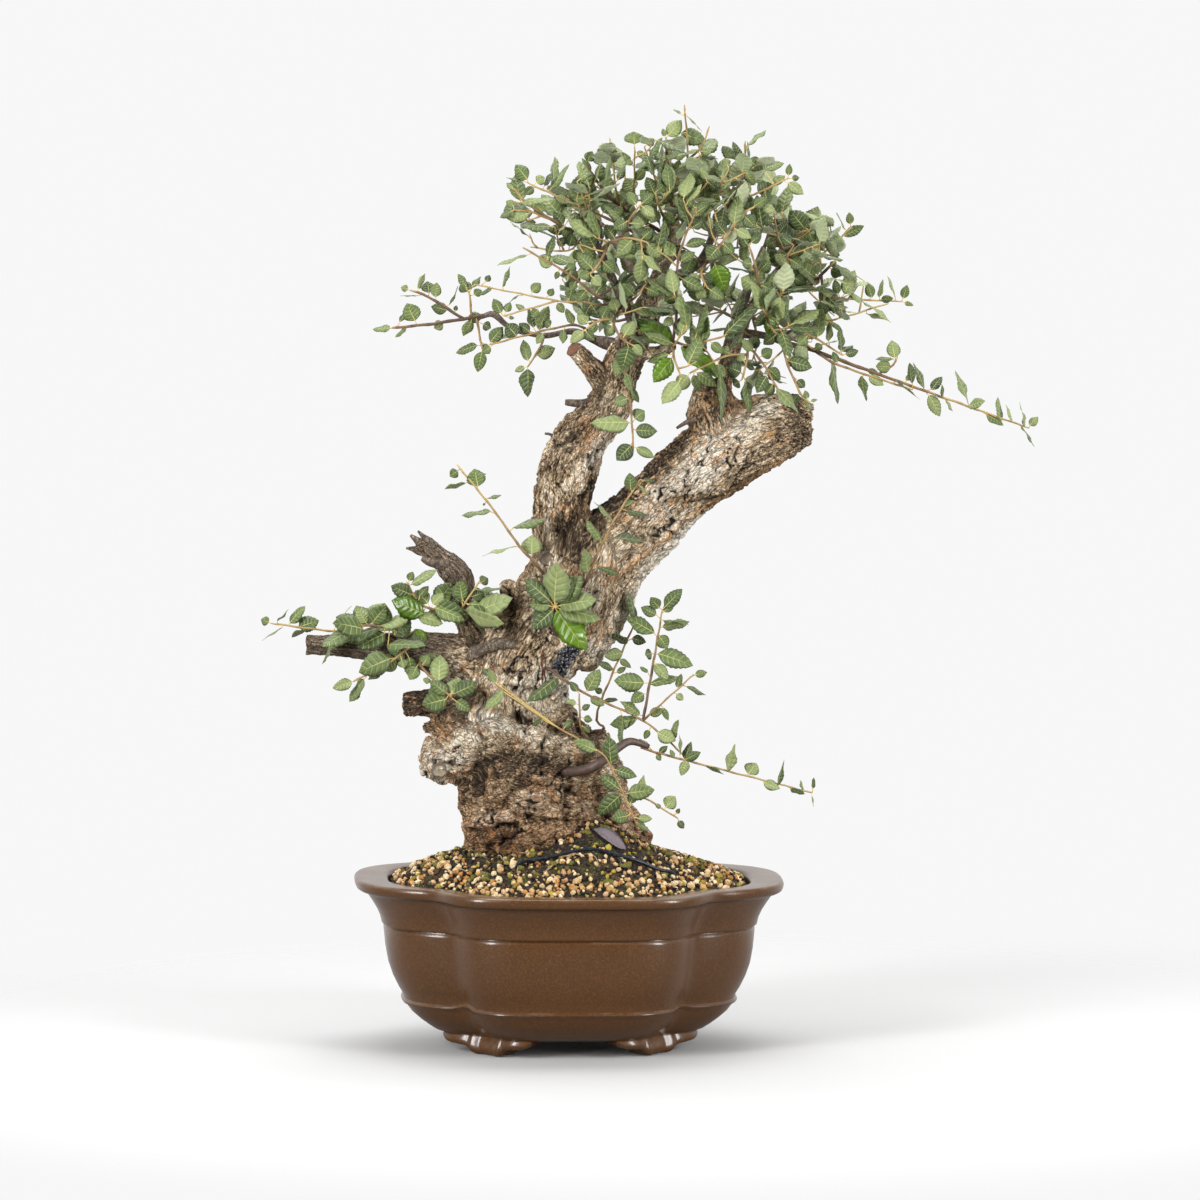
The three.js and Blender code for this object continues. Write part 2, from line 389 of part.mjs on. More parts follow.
    [1.4, 0.8, [-74, 346, -26], [-62, 332, -44], [-25, 306, -58], [28, 275, -84], [39, 261, -84],
      [62, 210, -80]],
    [1.0, 0.7, [52, 234, -82], [68, 233, -78], [101, 213, -70]]], leaves: [
    [-60, 331, -78, 313, 10], [28, 275, 5, 285, 11], [40, 260, 36, 288, 12], [41, 259, 63, 252, 11],
    [50, 238, 30, 253, 12], [50, 237, 27, 215, 16], [52, 236, 79, 240, 14], [88, 221, 99, 233, 14],
  ] },
];

// Bark relief: slow ridges round and along a limb, as shares of its radius
const ridges = [
  { round: 3, along: 0.045, start: 0.4, height: 0.055 },
  { round: 5, along: -0.07, start: 1.3, height: 0.045 },
  { round: 8, along: 0.11, start: 2.1, height: 0.025 },
];

// Leaf build: its edge as [share of the length, share of the half width] from the left side
// round the tip to the right, toothed on larger leaves, its thickness at the middle, the drop
// of its tip
const toothedEdge = [[0.24, 0.82], [0.4, 0.66], [0.56, 0.98], [1, 0], [0.6, -0.94], [0.43, -0.64], [0.27, -0.86]];
const plainEdge = [[0.26, 0.88], [0.6, 0.92], [1, 0], [0.64, -0.88], [0.3, -0.94]];
const toothedFrom = 21;
const leafMiddle = 0.42;
const leafThickness = 1.1;
const petioleThickness = 0.7;
const tipDrop = 0.07;
const leastPetiole = 3;
const leafWidthShare = [0.46, 0.58];
const stemClearance = 0.8;
const leafClearance = 1.9;
const ownLeafClearance = 0.7;
const tiltTries = [0, 0.3, -0.3, 0.6, -0.6, 0.95, -0.95, 1.3, -1.3];
const turnTries = 9;

// Colours from the living plant
const colours = {
  clay: 0x6b4a33, soil: 0x8a7550, bark: 0x9c8468, leaf: 0x66794e, wire: 0x23262e,
  dryLeaf: 0x6a5f66, lattice: 0x2b2c2b,
};

// A seeded sequence of numbers from 0 to 1
function sequence(seed) {
  let state = seed >>> 0;
  return () => {
    state = (state + 0x6d2b79f5) >>> 0;
    let mixed = Math.imul(state ^ (state >>> 15), 1 | state);
    mixed = (mixed + Math.imul(mixed ^ (mixed >>> 7), 61 | mixed)) ^ mixed;
    return ((mixed ^ (mixed >>> 14)) >>> 0) / 4294967296;
  };
}

// A point of the front view as a point of the model
function seen(x, h, y) {
  return new THREE.Vector3(x, y, (h - y * Math.sin(viewTilt)) / Math.cos(viewTilt));
}

// Solids and geometries
function geometryFrom(points, faces) {
  const geometry = new THREE.BufferGeometry();
  geometry.setAttribute("position", new THREE.Float32BufferAttribute(points.flatMap((p) => [p.x, p.y, p.z]), 3));
  geometry.setIndex(faces.flat());
  return geometry;
}

function solidFrom(geometry) {
  geometry.deleteAttribute("normal");
  geometry.deleteAttribute("uv");
  const merged = mergeVertices(geometry, 1e-4);
  return new wasm.Manifold(new wasm.Mesh({
    numProp: 3,
    vertProperties: new Float32Array(merged.attributes.position.array),
    triVerts: new Uint32Array(merged.index.array),
  }));
}

function geometryOf(solid) {
  const mesh = solid.getMesh();
  const geometry = new THREE.BufferGeometry();
  geometry.setAttribute("position", new THREE.Float32BufferAttribute(mesh.vertProperties, 3));
  geometry.setIndex(new THREE.Uint32BufferAttribute(mesh.triVerts, 1));
  return geometry;
}

// A closed solid through rings of points, each ring turning the right-handed way about the
// travel; rings with many sides need not be convex
function loft(rings) {
  const sides = rings[0].length;
  const points = rings.flat();
  const faces = [];
  for (let i = 0; i < rings.length - 1; i += 1) {
    for (let j = 0; j < sides; j += 1) {
      const next = (j + 1) % sides;
      const a = i * sides + j;
      const b = i * sides + next;
      faces.push([a, b, b + sides], [a, b + sides, a + sides]);
    }
  }
  const lastRing = (rings.length - 1) * sides;
  if (sides < roundCapFrom) {
    for (let j = 1; j < sides - 1; j += 1) {
      faces.push([0, j + 1, j], [lastRing, lastRing + j, lastRing + j + 1]);
    }
    return solidFrom(geometryFrom(points, faces));
  }
  const middle = (ring) => ring.reduce((sum, p) => sum.add(p), new THREE.Vector3()).divideScalar(sides);
  const first = points.push(middle(rings[0])) - 1;
  const last = points.push(middle(rings[rings.length - 1])) - 1;
  for (let j = 0; j < sides; j += 1) {
    const next = (j + 1) % sides;
    faces.push([first, next, j], [last, lastRing + j, lastRing + next]);
  }
  return solidFrom(geometryFrom(points, faces));
}

// The largest connected body of a solid, without loose scraps
function largest(solid) {
  return solid.decompose().sort((a, b) => b.volume() - a.volume())[0];
}

function ridge(angle, travel) {
  return ridges.reduce((sum, r) => sum + r.height * Math.sin(r.round * angle + r.along * travel + r.start), 0);
}

// A round-section limb along points with a radius at each; grow adds clearance all over
function limb(points, radii, { sides = 6, depth = 1, relief = 0, grow = 0 } = {}) {
  const count = points.length;
  const tangents = points.map((p, i) => {
    const from = points[Math.max(i - 1, 0)];
    const to = points[Math.min(i + 1, count - 1)];
    return to.clone().sub(from).normalize();
  });
  const normal = towardViewer.clone();
  let travel = 0;
  const rings = points.map((p, i) => {
    const along = tangents[i];
    normal.addScaledVector(along, -normal.dot(along)).normalize();
    const across = along.clone().cross(normal);
    if (i > 0) travel += p.distanceTo(points[i - 1]);
    const end = i === 0 ? -grow : i === count - 1 ? grow : 0;
    const centre = p.clone().addScaledVector(along, end);
    return Array.from({ length: sides }, (_, j) => {
      const angle = (2 * Math.PI * j) / sides;
      const radius = radii[i] * (1 + relief * ridge(angle, travel));
      return centre.clone()
        .addScaledVector(normal, (radius * depth + grow) * Math.cos(angle))
        .addScaledVector(across, (radius + grow) * Math.sin(angle));
    });
  });
  return loft(rings);
}

// The pot's plan: distance from the middle at an angle, for a share of the rim's size
function planRadius(angle) {
  const lobe = ({ reach, half, power }) => (
    (Math.abs(Math.cos(angle)) / reach) ** power + (Math.abs(Math.sin(angle)) / half) ** power
  ) ** (-1 / power);
  return (lobe(sideLobe) ** lobeBlend + lobe(frontLobe) ** lobeBlend) ** (1 / lobeBlend);
}

function planPoint(angle, share, z, inset = 0) {
  const radius = planRadius(angle) * share - inset;
  const x = radius * Math.cos(angle);
  const y = radius * Math.sin(angle);
  const turned = new THREE.Vector3(x, y, 0).applyAxisAngle(new THREE.Vector3(0, 0, 1), potTurn);
  return new THREE.Vector3(turned.x, turned.y, z - rimDroop * (turned.x / potLength) * (z / potHeight));
}

function planRing(share, z, inset = 0) {
  return Array.from({ length: planSteps }, (_, i) => (
    planPoint((2 * Math.PI * i) / planSteps, share, z, inset)));
}

// One bracket foot: a curved bar under the wall that steps down to a blunt toe at the notch
function foot(middleAngle) {
  const profile = [...footProfile.map(([u, z]) => [-u, z]), ...footProfile.toReversed()];
  const base = potOutside[0][1];
  return loft(profile.map(([u, z]) => {
    const angle = middleAngle + u * footHalfAngle;
    const outer = planRadius(angle) * base;
    const toe = Math.abs(u) < 0.4 ? 1.5 : 0;
    const at = (radius, height) => planPoint(angle, 0, height, -radius);
    return [at(outer - footDepth, footTop), at(outer - 2, footTop), at(outer + toe, z), at(outer - footDepth, z)];
  }));
}

function pot() {
  let solid = loft([...potOutside, ...potInside].map(([z, share]) => planRing(share, z)));
  for (const middle of [notchAngle, Math.PI - notchAngle, Math.PI + notchAngle, -notchAngle]) {
    solid = solid.add(foot(middle));
  }
  for (const side of [-1, 1]) {
    const hole = new THREE.CylinderGeometry(drainRadius, drainRadius, 2 * floorTop, 12);
    hole.rotateX(Math.PI / 2);
    hole.translate(side * drainAcross, 0, floorTop);
    solid = solid.subtract(solidFrom(hole));
  }
  return solid;
}

// A box from its middle and its three sizes
function box(x, y, z, sizeX, sizeY, sizeZ) {
  const geometry = new THREE.BoxGeometry(sizeX, sizeY, sizeZ);
  geometry.translate(x, y, z);
  return solidFrom(geometry);
}

// A square lattice with two by two openings, lying on the pot's floor
function drainLattice(side) {
  const x = side * drainAcross;
  const z = floorTop + gap + rimDroop / 6 + latticeThickness / 2;
  let plate = box(x, 0, z, latticeSize, latticeSize, latticeThickness);
  const pitch = latticeHole + latticeBar;
  for (const column of [-0.5, 0.5]) {
    for (const row of [-0.5, 0.5]) {
      plate = plate.subtract(box(x + column * pitch, row * pitch, z, latticeHole, latticeHole, 2 * latticeThickness));
    }
  }
  return plate;
}

// Height of the soil's surface at a share of the way from the middle to the wall
function soilHeight(x, y, share) {
  const mound = rootMound.rise * Math.exp(
    -0.5 * ((x - rootMound.x) / rootMound.spreadX) ** 2 - 0.5 * ((y - rootMound.y) / rootMound.spreadY) ** 2);
  const fade = 1 - share ** 6;
  return soilEdge + (soilRise - (soilFall * x) / 166) * (1 - share ** 2.2) + mound * fade;
}

function soilRing(share) {
  return Array.from({ length: planSteps }, (_, i) => {
    const angle = (2 * Math.PI * i) / planSteps;
    const p = planPoint(angle, 0.834 * share, soilEdge, 0.5);
    return new THREE.Vector3(p.x, p.y, soilHeight(p.x, p.y, share) - rimDroop * (p.x / potLength));
  });
}

// The surface's height under a point, for what lies on it
function soilAt(x, y) {
  const flat = new THREE.Vector3(x, y, 0).applyAxisAngle(new THREE.Vector3(0, 0, 1), -potTurn);
  const share = Math.hypot(flat.x, flat.y) / (planRadius(Math.atan2(flat.y, flat.x)) * 0.834);
  return soilHeight(x, y, share) - rimDroop * (x / potLength);
}

function soil(cutters) {
  const rings = [
    planRing(0.69, floorTop + 1.3, 1.2), ...soilShares.map(soilRing),
  ];
  return largest(cutters.reduce((solid, cutter) => solid.subtract(cutter), loft(rings)));
}

function woodSolid(grow = 0) {
  return wood.map(({ route, ...shape }) => {
    const points = route.map(([x, h, y]) => seen(x, h, y));
    return limb(points, route.map((p) => p[3]), { ...shape, grow });
  }).reduce((sum, next) => sum.add(next));
}

// Straight pieces of every limb, used to keep leaves out of the wood
const woodPieces = wood.flatMap(({ route }) => route.slice(1).map((end, i) => ({
  from: seen(...route[i].slice(0, 3)),
  to: seen(...end.slice(0, 3)),
  radii: [route[i][3], end[3]],
})));

function nearestOnPiece(point, from, to) {
  const line = new THREE.Line3(from, to);
  const share = line.closestPointToPointParameter(point, true);
  return { share, point: line.at(share, new THREE.Vector3()) };
}

function insideWood(point, clearance) {
  return woodPieces.some(({ from, to, radii }) => {
    const near = nearestOnPiece(point, from, to);
    const radius = radii[0] + (radii[1] - radii[0]) * near.share;
    return near.point.distanceTo(point) < radius * 1.06 + clearance;
  });
}

// A leaf from its petiole's root, blade base, blade tip, width and the way its face looks
function makeLeaf(root, base, tip, width, face) {
  const along = tip.clone().sub(base);
  const length = along.length();
  along.normalize();
  const up = face.clone().addScaledVector(along, -face.dot(along)).normalize();
  const across = up.clone().cross(along);
  return { root, base, tip, length, width, along, up, across };
}

// Points of the blade: share of the length, share of the width, drop as a share of the length
function bladePoint({ base, along, across, up, length, width }, share, side, drop = 0) {
  return base.clone()
    .addScaledVector(along, length * share)
    .addScaledVector(across, (width / 2) * side)
    .addScaledVector(up, -length * drop);
}

function bladeOutline(leaf) {
  const edge = leaf.length > toothedFrom ? toothedEdge : plainEdge;
  return [leaf.root, ...edge.map(([share, side]) => bladePoint(leaf, share, side, tipDrop * share ** 2))];
}

// The blade is flat below and rises to a ridge above
function leafSolid(leaf) {
  const [root, ...edge] = bladeOutline(leaf);
  const lift = (p, height) => p.clone().addScaledVector(leaf.up, height);
  const points = [
    ...edge, lift(bladePoint(leaf, leafMiddle, 0), leafThickness),
    lift(root, petioleThickness / 2), lift(root, -petioleThickness / 2),
  ];
  const last = edge.length - 1;
  const [ridgeTop, rootTop, rootUnder] = [last + 1, last + 2, last + 3];
  const faces = [
    [ridgeTop, 0, rootTop], [ridgeTop, rootTop, last],
    [rootTop, 0, rootUnder], [rootTop, rootUnder, last], [rootUnder, 0, last],
  ];
  for (let i = 0; i < last; i += 1) {
    faces.push([ridgeTop, i + 1, i]);
  }
  for (let i = 0; i < last / 2; i += 1) {
    faces.push([i, i + 1, last - i]);
    if (i + 1 < last - i - 1) faces.push([i + 1, last - i - 1, last - i]);
  }
  return solidFrom(geometryFrom(points, faces));
}

// Whether a straight piece comes within reach of a blade, taken as a flat ellipse
function pieceMeetsBlade(from, to, blade, reach) {
  const middle = bladePoint(blade, 0.5, 0);
  const local = (p) => {
    const d = p.clone().sub(middle);
    return [d.dot(blade.along), d.dot(blade.across), d.dot(blade.up)];
  };
  const inside = ([a, b]) => (
    (a / (blade.length / 2 + reach)) ** 2 + (b / (blade.width / 2 + reach)) ** 2 < 1);
  const p = local(from);
  const q = local(to);
  if (p[2] * q[2] < 0) {
    const share = p[2] / (p[2] - q[2]);
    if (inside([p[0] + (q[0] - p[0]) * share, p[1] + (q[1] - p[1]) * share])) return true;
  }
  return (Math.abs(p[2]) < reach && inside(p)) || (Math.abs(q[2]) < reach && inside(q));
}

function bladesMeet(one, two, reach) {
  const apart = bladePoint(one, 0.5, 0).distanceTo(bladePoint(two, 0.5, 0));
  if (apart > (one.length + two.length) / 2 + 4) return false;
  const edges = (leaf) => {
    const outline = bladeOutline(leaf);
    return [...outline.map((p, i) => [p, outline[(i + 1) % outline.length]]), [leaf.root, leaf.tip]];
  };
  return edges(one).some(([a, b]) => pieceMeetsBlade(a, b, two, reach))
    || edges(two).some(([a, b]) => pieceMeetsBlade(a, b, one, reach));
}

// The point of some straight pieces, clear of the wood, that lies nearest to a point
function nearestClear(pieces, distanceTo) {
  let best = { away: Infinity };
  for (const { from, to } of pieces) {
    for (let i = 0; i <= 12; i += 1) {
      const point = from.clone().lerp(to, i / 12);
      const away = distanceTo(point);
      if (away < best.away && !insideWood(point, stemClearance)) best = { away, point };
    }
  }
  return best.point;
}

// Straight pieces of a spray's stems: the first grows from the wood, the rest from the spray
function stemRoutes(spray) {
  const routes = [];
  const grown = [];
  for (const [first, last, ...route] of spray.stems) {
    const points = route.map((p) => seen(...p));
    if (grown.length) points[0] = nearestClear(grown, (p) => p.distanceTo(points[0]));
    const radii = points.map((_, i) => first + ((last - first) * i) / (points.length - 1));
    routes.push({ points, radii });
    points.slice(1).forEach((to, i) => {
      grown.push({ spray: spray.name, from: points[i], to, radii: [radii[i], radii[i + 1]] });
    });
  }
  return { routes, pieces: grown };
}

const stemsOf = new Map(sprays.map((spray) => [spray.name, stemRoutes(spray)]));
const stemPieces = [...stemsOf.values()].flatMap(({ pieces }) => pieces);

function pieceGap(a, b, c, d) {
  const steps = 6;
  let least = Infinity;
  for (let i = 0; i <= steps; i += 1) {
    const p = a.clone().lerp(b, i / steps);
    least = Math.min(least, nearestOnPiece(p, c, d).point.distanceTo(p));
  }
  return least;
}

const placed = [];

// A leaf is clear when it crosses no wood, no other spray's stem and no other leaf
function isClear(leaf) {
  const checks = [bladePoint(leaf, 0.12, 0), bladePoint(leaf, 0.5, 0.6), bladePoint(leaf, 0.5, -0.6), leaf.tip];
  if (checks.some((p) => insideWood(p, leafClearance))) return false;
  const middle = bladePoint(leaf, 0.5, 0);
  const near = (p, reach) => p.distanceTo(middle) < leaf.length + reach;
  for (const piece of stemPieces) {
    if (piece.spray === leaf.spray) continue;
    const long = piece.from.distanceTo(piece.to);
    if (!near(piece.from.clone().lerp(piece.to, 0.5), long / 2 + 4)) continue;
    if (pieceMeetsBlade(piece.from, piece.to, leaf, piece.radii[0] + leafClearance - 0.5)) return false;
    if (pieceGap(leaf.root, leaf.base, piece.from, piece.to) < piece.radii[0] + leafClearance) return false;
  }
  return !placed.some((other) => {
    if (!near(bladePoint(other, 0.5, 0), other.length)) return false;
    const own = other.spray === leaf.spray;
    if (bladesMeet(leaf, other, own ? ownLeafClearance : leafClearance)) return true;
    if (own) return false;
    return pieceMeetsBlade(leaf.root, leaf.base, other, leafClearance)
      || pieceMeetsBlade(other.root, other.base, leaf, leafClearance)
      || pieceGap(leaf.root, leaf.base, other.root, other.base) < leafClearance;
  });
}

// A leaf picked on the front view: tries several tilts in depth until it is clear
function pickedLeaf(spray, [baseX, baseH, tipX, tipH, seenWidth]) {
  const random = sequence(Math.abs(baseX + 7919 * tipX + 104729 * tipH));
  const away = (p) => Math.hypot(p.x - baseX, p.z * Math.cos(viewTilt) + p.y * Math.sin(viewTilt) - baseH);
  const root = nearestClear(stemsOf.get(spray.name).pieces, away);
  const seenLength = Math.hypot(tipX - baseX, tipH - baseH);
  const lean = (random() - 0.5) * 0.7;
  const widthShare = leafWidthShare[0] + (leafWidthShare[1] - leafWidthShare[0]) * random();
  const flip = random() < 0.15 ? -1 : 1;
  const inset = away(root) < leastPetiole ? Math.min(leastPetiole / seenLength, 0.4) : 0;
  const start = [baseX + (tipX - baseX) * inset, baseH + (tipH - baseH) * inset];
  for (const change of tiltTries) {
    const slope = lean + change;
    const base = seen(start[0], start[1], root.y + slope * leastPetiole);
    const tip = seen(tipX, tipH, base.y + slope * seenLength * (1 - inset));
    const length = base.distanceTo(tip);
    const width = Math.max(seenWidth, Math.min(widthShare * length, 20));
    const along = tip.clone().sub(base).normalize();
    const facing = towardViewer.clone().addScaledVector(along, -towardViewer.dot(along)).normalize();
    const sideways = along.clone().cross(facing);
    const roll = Math.acos(Math.min(1, seenWidth / width)) * (sideways.z > 0 ? 1 : -1) * flip;
    const face = facing.multiplyScalar(Math.cos(roll)).addScaledVector(sideways, Math.sin(roll));
    const leaf = { ...makeLeaf(root, base, tip, width, face), spray: spray.name };
    if (isClear(leaf)) return leaf;
  }
  return null;
}

// Leaves set in a spiral along a stem, most of them in its outer part
function spiralLeaves(spray, seed) {
  const leaves = [];
  const random = sequence(seed);
  for (const { points } of stemsOf.get(spray.name).routes) {
    for (let i = 0; i < spray.auto; i += 1) {
      const share = (0.18 + (0.82 * (i + 1)) / spray.auto) * (points.length - 1) * 0.999;
      const piece = Math.min(Math.floor(share), points.length - 2);
      const root = points[piece].clone().lerp(points[piece + 1], Math.min(share - piece, 1));
      const along = points[piece + 1].clone().sub(points[piece]).normalize();
      const length = 21 + 11 * random();
      const open = 0.75 + 0.45 * random();
      const twist = random() * 0.8 - 0.4;
      for (let turn = 0; turn < turnTries; turn += 1) {
        const angle = 2.4 * i + 0.7 * turn;
        const out = new THREE.Vector3(Math.cos(angle), 0, Math.sin(angle)).cross(along).normalize();
        out.applyAxisAngle(along, angle);
        const way = along.clone().multiplyScalar(Math.cos(open)).addScaledVector(out, Math.sin(open));
        const base = root.clone().addScaledVector(way, leastPetiole);
        const tip = base.clone().addScaledVector(way, length);
        const face = new THREE.Vector3(0, 0, 1).addScaledVector(out, -0.6).applyAxisAngle(way, twist);
        const leaf = { ...makeLeaf(root, base, tip, length * 0.54, face), spray: spray.name };
        if (insideWood(root, stemClearance) || !isClear(leaf)) continue;
        placed.push(leaf);
        leaves.push(leaf);
        break;
      }
    }
  }
  return leaves;
}

function leavesOf(spray, seed) {
  const picked = [];
  for (const entry of spray.leaves) {
    const leaf = pickedLeaf(spray, entry);
    if (!leaf) continue;
    placed.push(leaf);
    picked.push(leaf);
  }
  return spray.auto ? [...picked, ...spiralLeaves(spray, seed)] : picked;
}

function spraySolid(spray, leaves, keepOut) {
  const stems = stemsOf.get(spray.name).routes.map(({ points, radii }) => limb(points, radii, { sides: 3 }));
  const solid = [...stems, ...leaves.map(leafSolid)].reduce((sum, next) => sum.add(next));
  return largest(solid.subtract(keepOut));
}

// Tie wire across the soil in front of the trunk, its ends pushed into the soil
const wireRadius = 1.5;
const wireRoute = [
  [-30, -94], [-24, -92], [-8, -89], [10, -88], [30, -87], [44, -86], [56, -84], [70, -80], [84, -74], [96, -66],
  [102, -60],
];

function tieWire(grow = 0) {
  const points = wireRoute.map(([x, y], i) => {
    const dip = i === 0 || i === wireRoute.length - 1 ? -9 : wireRadius + gap;
    return new THREE.Vector3(x, y, soilAt(x, y) + dip);
  });
  const run = limb(points, points.map(() => wireRadius), { sides: 6, grow });
  const twistFoot = new THREE.Vector3(46, -86, soilAt(46, -86) + 1.5);
  const twistTop = new THREE.Vector3(50, -93, soilAt(50, -93) + 4);
  return run.add(limb([twistFoot, twistTop], [2, 1.4], { sides: 6, grow }));
}

// The fallen leaf: a dry oval blade, slightly rolled, lying on the soil
const fallenLeaf = { x: 38, y: -69, length: 31, width: 15, turn: -0.3, thickness: 0.8, sink: 2 };

function fallenBlade(grow = 0) {
  const { x, y, length, width, turn, thickness, sink } = fallenLeaf;
  const stations = [0.02, 0.18, 0.5, 0.82, 0.98];
  const sides = [-1, -0.5, 0, 0.5, 1];
  const top = stations.flatMap((share) => sides.map((side) => {
    const along = (share - 0.5) * length;
    const across = side * ((width / 2) * Math.sqrt(1 - (2 * share - 1) ** 2) + grow);
    const px = x + along * Math.cos(turn) - across * Math.sin(turn);
    const py = y + along * Math.sin(turn) + across * Math.cos(turn);
    return new THREE.Vector3(px, py, soilAt(px, py) + 2.2 * side * side + thickness - sink + grow);
  }));
  const under = top.map((p) => new THREE.Vector3(p.x, p.y, p.z - thickness - 2 * grow));
  const columns = sides.length;
  const at = (row, column) => row * columns + column;
  const faces = [];
  for (let row = 0; row < stations.length - 1; row += 1) {
    for (let column = 0; column < columns - 1; column += 1) {
      const quad = [at(row, column), at(row + 1, column), at(row + 1, column + 1), at(row, column + 1)];
      const low = quad.map((i) => i + top.length);
      faces.push([quad[0], quad[1], quad[2]], [quad[0], quad[2], quad[3]]);
      faces.push([low[0], low[2], low[1]], [low[0], low[3], low[2]]);
    }
  }
  const lastRow = stations.length - 1;
  const rim = [
    ...stations.map((_, row) => at(row, 0)),
    ...sides.slice(1).map((_, i) => at(lastRow, i + 1)),
    ...stations.slice(1).map((_, i) => at(lastRow - 1 - i, columns - 1)),
    ...sides.slice(1, -1).map((_, i) => at(0, columns - 2 - i)),
  ];
  rim.forEach((i, k) => {
    const next = rim[(k + 1) % rim.length];
    faces.push([i, i + top.length, next + top.length], [i, next + top.length, next]);
  });
  return solidFrom(geometryFrom([...top, ...under], faces));
}

// The scene graph
const bonsai = new THREE.Group();

function place(name, solid, colour, roughness) {
  const material = new THREE.MeshStandardMaterial({ color: colour, roughness, metalness: 0 });
  const mesh = new THREE.Mesh(geometryOf(solid), material);
  mesh.name = name;
  bonsai.add(mesh);
}

const trunk = woodSolid();
const grownTrunk = woodSolid(gap + 0.1);
const lattices = [-1, 1].map(drainLattice);
const latticeRoom = [-1, 1].map((side) => (
  box(side * drainAcross, 0, floorTop + 1, latticeSize + 2, latticeSize + 2, 4)));

place("pot", pot(), colours.clay, 0.5);
place("drain_lattice_left", lattices[0], colours.lattice, 0.6);
place("drain_lattice_right", lattices[1], colours.lattice, 0.6);
place("soil", soil([grownTrunk, tieWire(gap), fallenBlade(gap), ...latticeRoom]), colours.soil, 0.95);
place("trunk", largest(trunk), colours.bark, 0.9);
place("tie_wire", tieWire(), colours.wire, 0.5);
place("fallen_leaf", fallenBlade(), colours.dryLeaf, 0.8);
sprays.forEach((spray, i) => {
  place(spray.name, spraySolid(spray, leavesOf(spray, 101 + i), grownTrunk), colours.leaf, 0.6);
});

// The whole stands with the middle of its outline over the origin
const outline = new THREE.Box3().setFromObject(bonsai);
const middle = outline.getCenter(new THREE.Vector3());
bonsai.position.set(-middle.x, -middle.y, -outline.min.z);

export default bonsai;
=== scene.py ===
# Cork oak bonsai in an unglazed four-lobed pot: its fine forms and its finishes.
# Points are picked in millimetres round the middle of the pot, on the ground that it stands on.
import math

import bpy
import numpy as np
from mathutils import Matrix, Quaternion, Vector
from mathutils.bvhtree import BVHTree
from mathutils.geometry import intersect_point_line


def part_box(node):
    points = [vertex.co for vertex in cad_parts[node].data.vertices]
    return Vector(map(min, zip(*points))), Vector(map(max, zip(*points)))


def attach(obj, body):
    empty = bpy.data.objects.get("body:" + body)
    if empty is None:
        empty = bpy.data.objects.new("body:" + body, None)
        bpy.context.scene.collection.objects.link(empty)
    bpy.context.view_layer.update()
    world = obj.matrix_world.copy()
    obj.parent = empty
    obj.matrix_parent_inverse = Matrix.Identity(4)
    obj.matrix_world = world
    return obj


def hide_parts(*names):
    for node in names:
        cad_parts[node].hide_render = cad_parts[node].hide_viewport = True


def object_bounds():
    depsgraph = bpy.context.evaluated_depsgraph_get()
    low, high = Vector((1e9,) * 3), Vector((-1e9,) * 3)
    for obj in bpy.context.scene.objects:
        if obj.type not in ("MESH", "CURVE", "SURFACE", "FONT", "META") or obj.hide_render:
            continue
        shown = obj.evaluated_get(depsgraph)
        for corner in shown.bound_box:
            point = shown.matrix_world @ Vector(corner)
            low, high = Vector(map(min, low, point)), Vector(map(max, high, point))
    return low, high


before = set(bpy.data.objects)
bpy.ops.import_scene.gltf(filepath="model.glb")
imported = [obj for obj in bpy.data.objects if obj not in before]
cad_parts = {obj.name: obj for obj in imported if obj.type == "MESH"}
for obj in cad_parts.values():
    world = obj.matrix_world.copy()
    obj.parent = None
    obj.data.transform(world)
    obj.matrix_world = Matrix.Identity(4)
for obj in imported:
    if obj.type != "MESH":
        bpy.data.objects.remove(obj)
cad_low, cad_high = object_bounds()

# The pot's middle on the ground, in the model's own frame
pot_low, pot_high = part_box("pot")
POT_MIDDLE = np.array([(pot_low.x + pot_high.x) / 2, (pot_low.y + pot_high.y) / 2, pot_low.z])
MM = 0.001

# The front view: it looks down by a few degrees from far away
VIEW_TILT = math.radians(6)
VIEW_SIN = math.sin(VIEW_TILT)
VIEW_COS = math.cos(VIEW_TILT)
TOWARD_VIEWER = Vector((0, -VIEW_COS, VIEW_SIN))
VIEWER_WAY = np.array(TOWARD_VIEWER)
VIEW_DISTANCE = 9000
VIEW_MIDDLE = (29.1, 0, 417.1)
VIEW_WIDTH = 1116
SENSOR = 36

# Pot: four lobes, two long ones at the sides and two broad ones at front and back.
# A lobe has its reach, its half width and the power that rounds it.
POT_LENGTH = 400
POT_WIDTH = 326
POT_HEIGHT = 158
SIDE_LOBE = (POT_LENGTH / 2, 115, 3)
FRONT_LOBE = (133, POT_WIDTH / 2, 4)
LOBE_BLEND = 24
POT_TURN = math.radians(3)
RIM_DROOP = 4
FLOOR_TOP = 28
PLAN_STEPS = 264

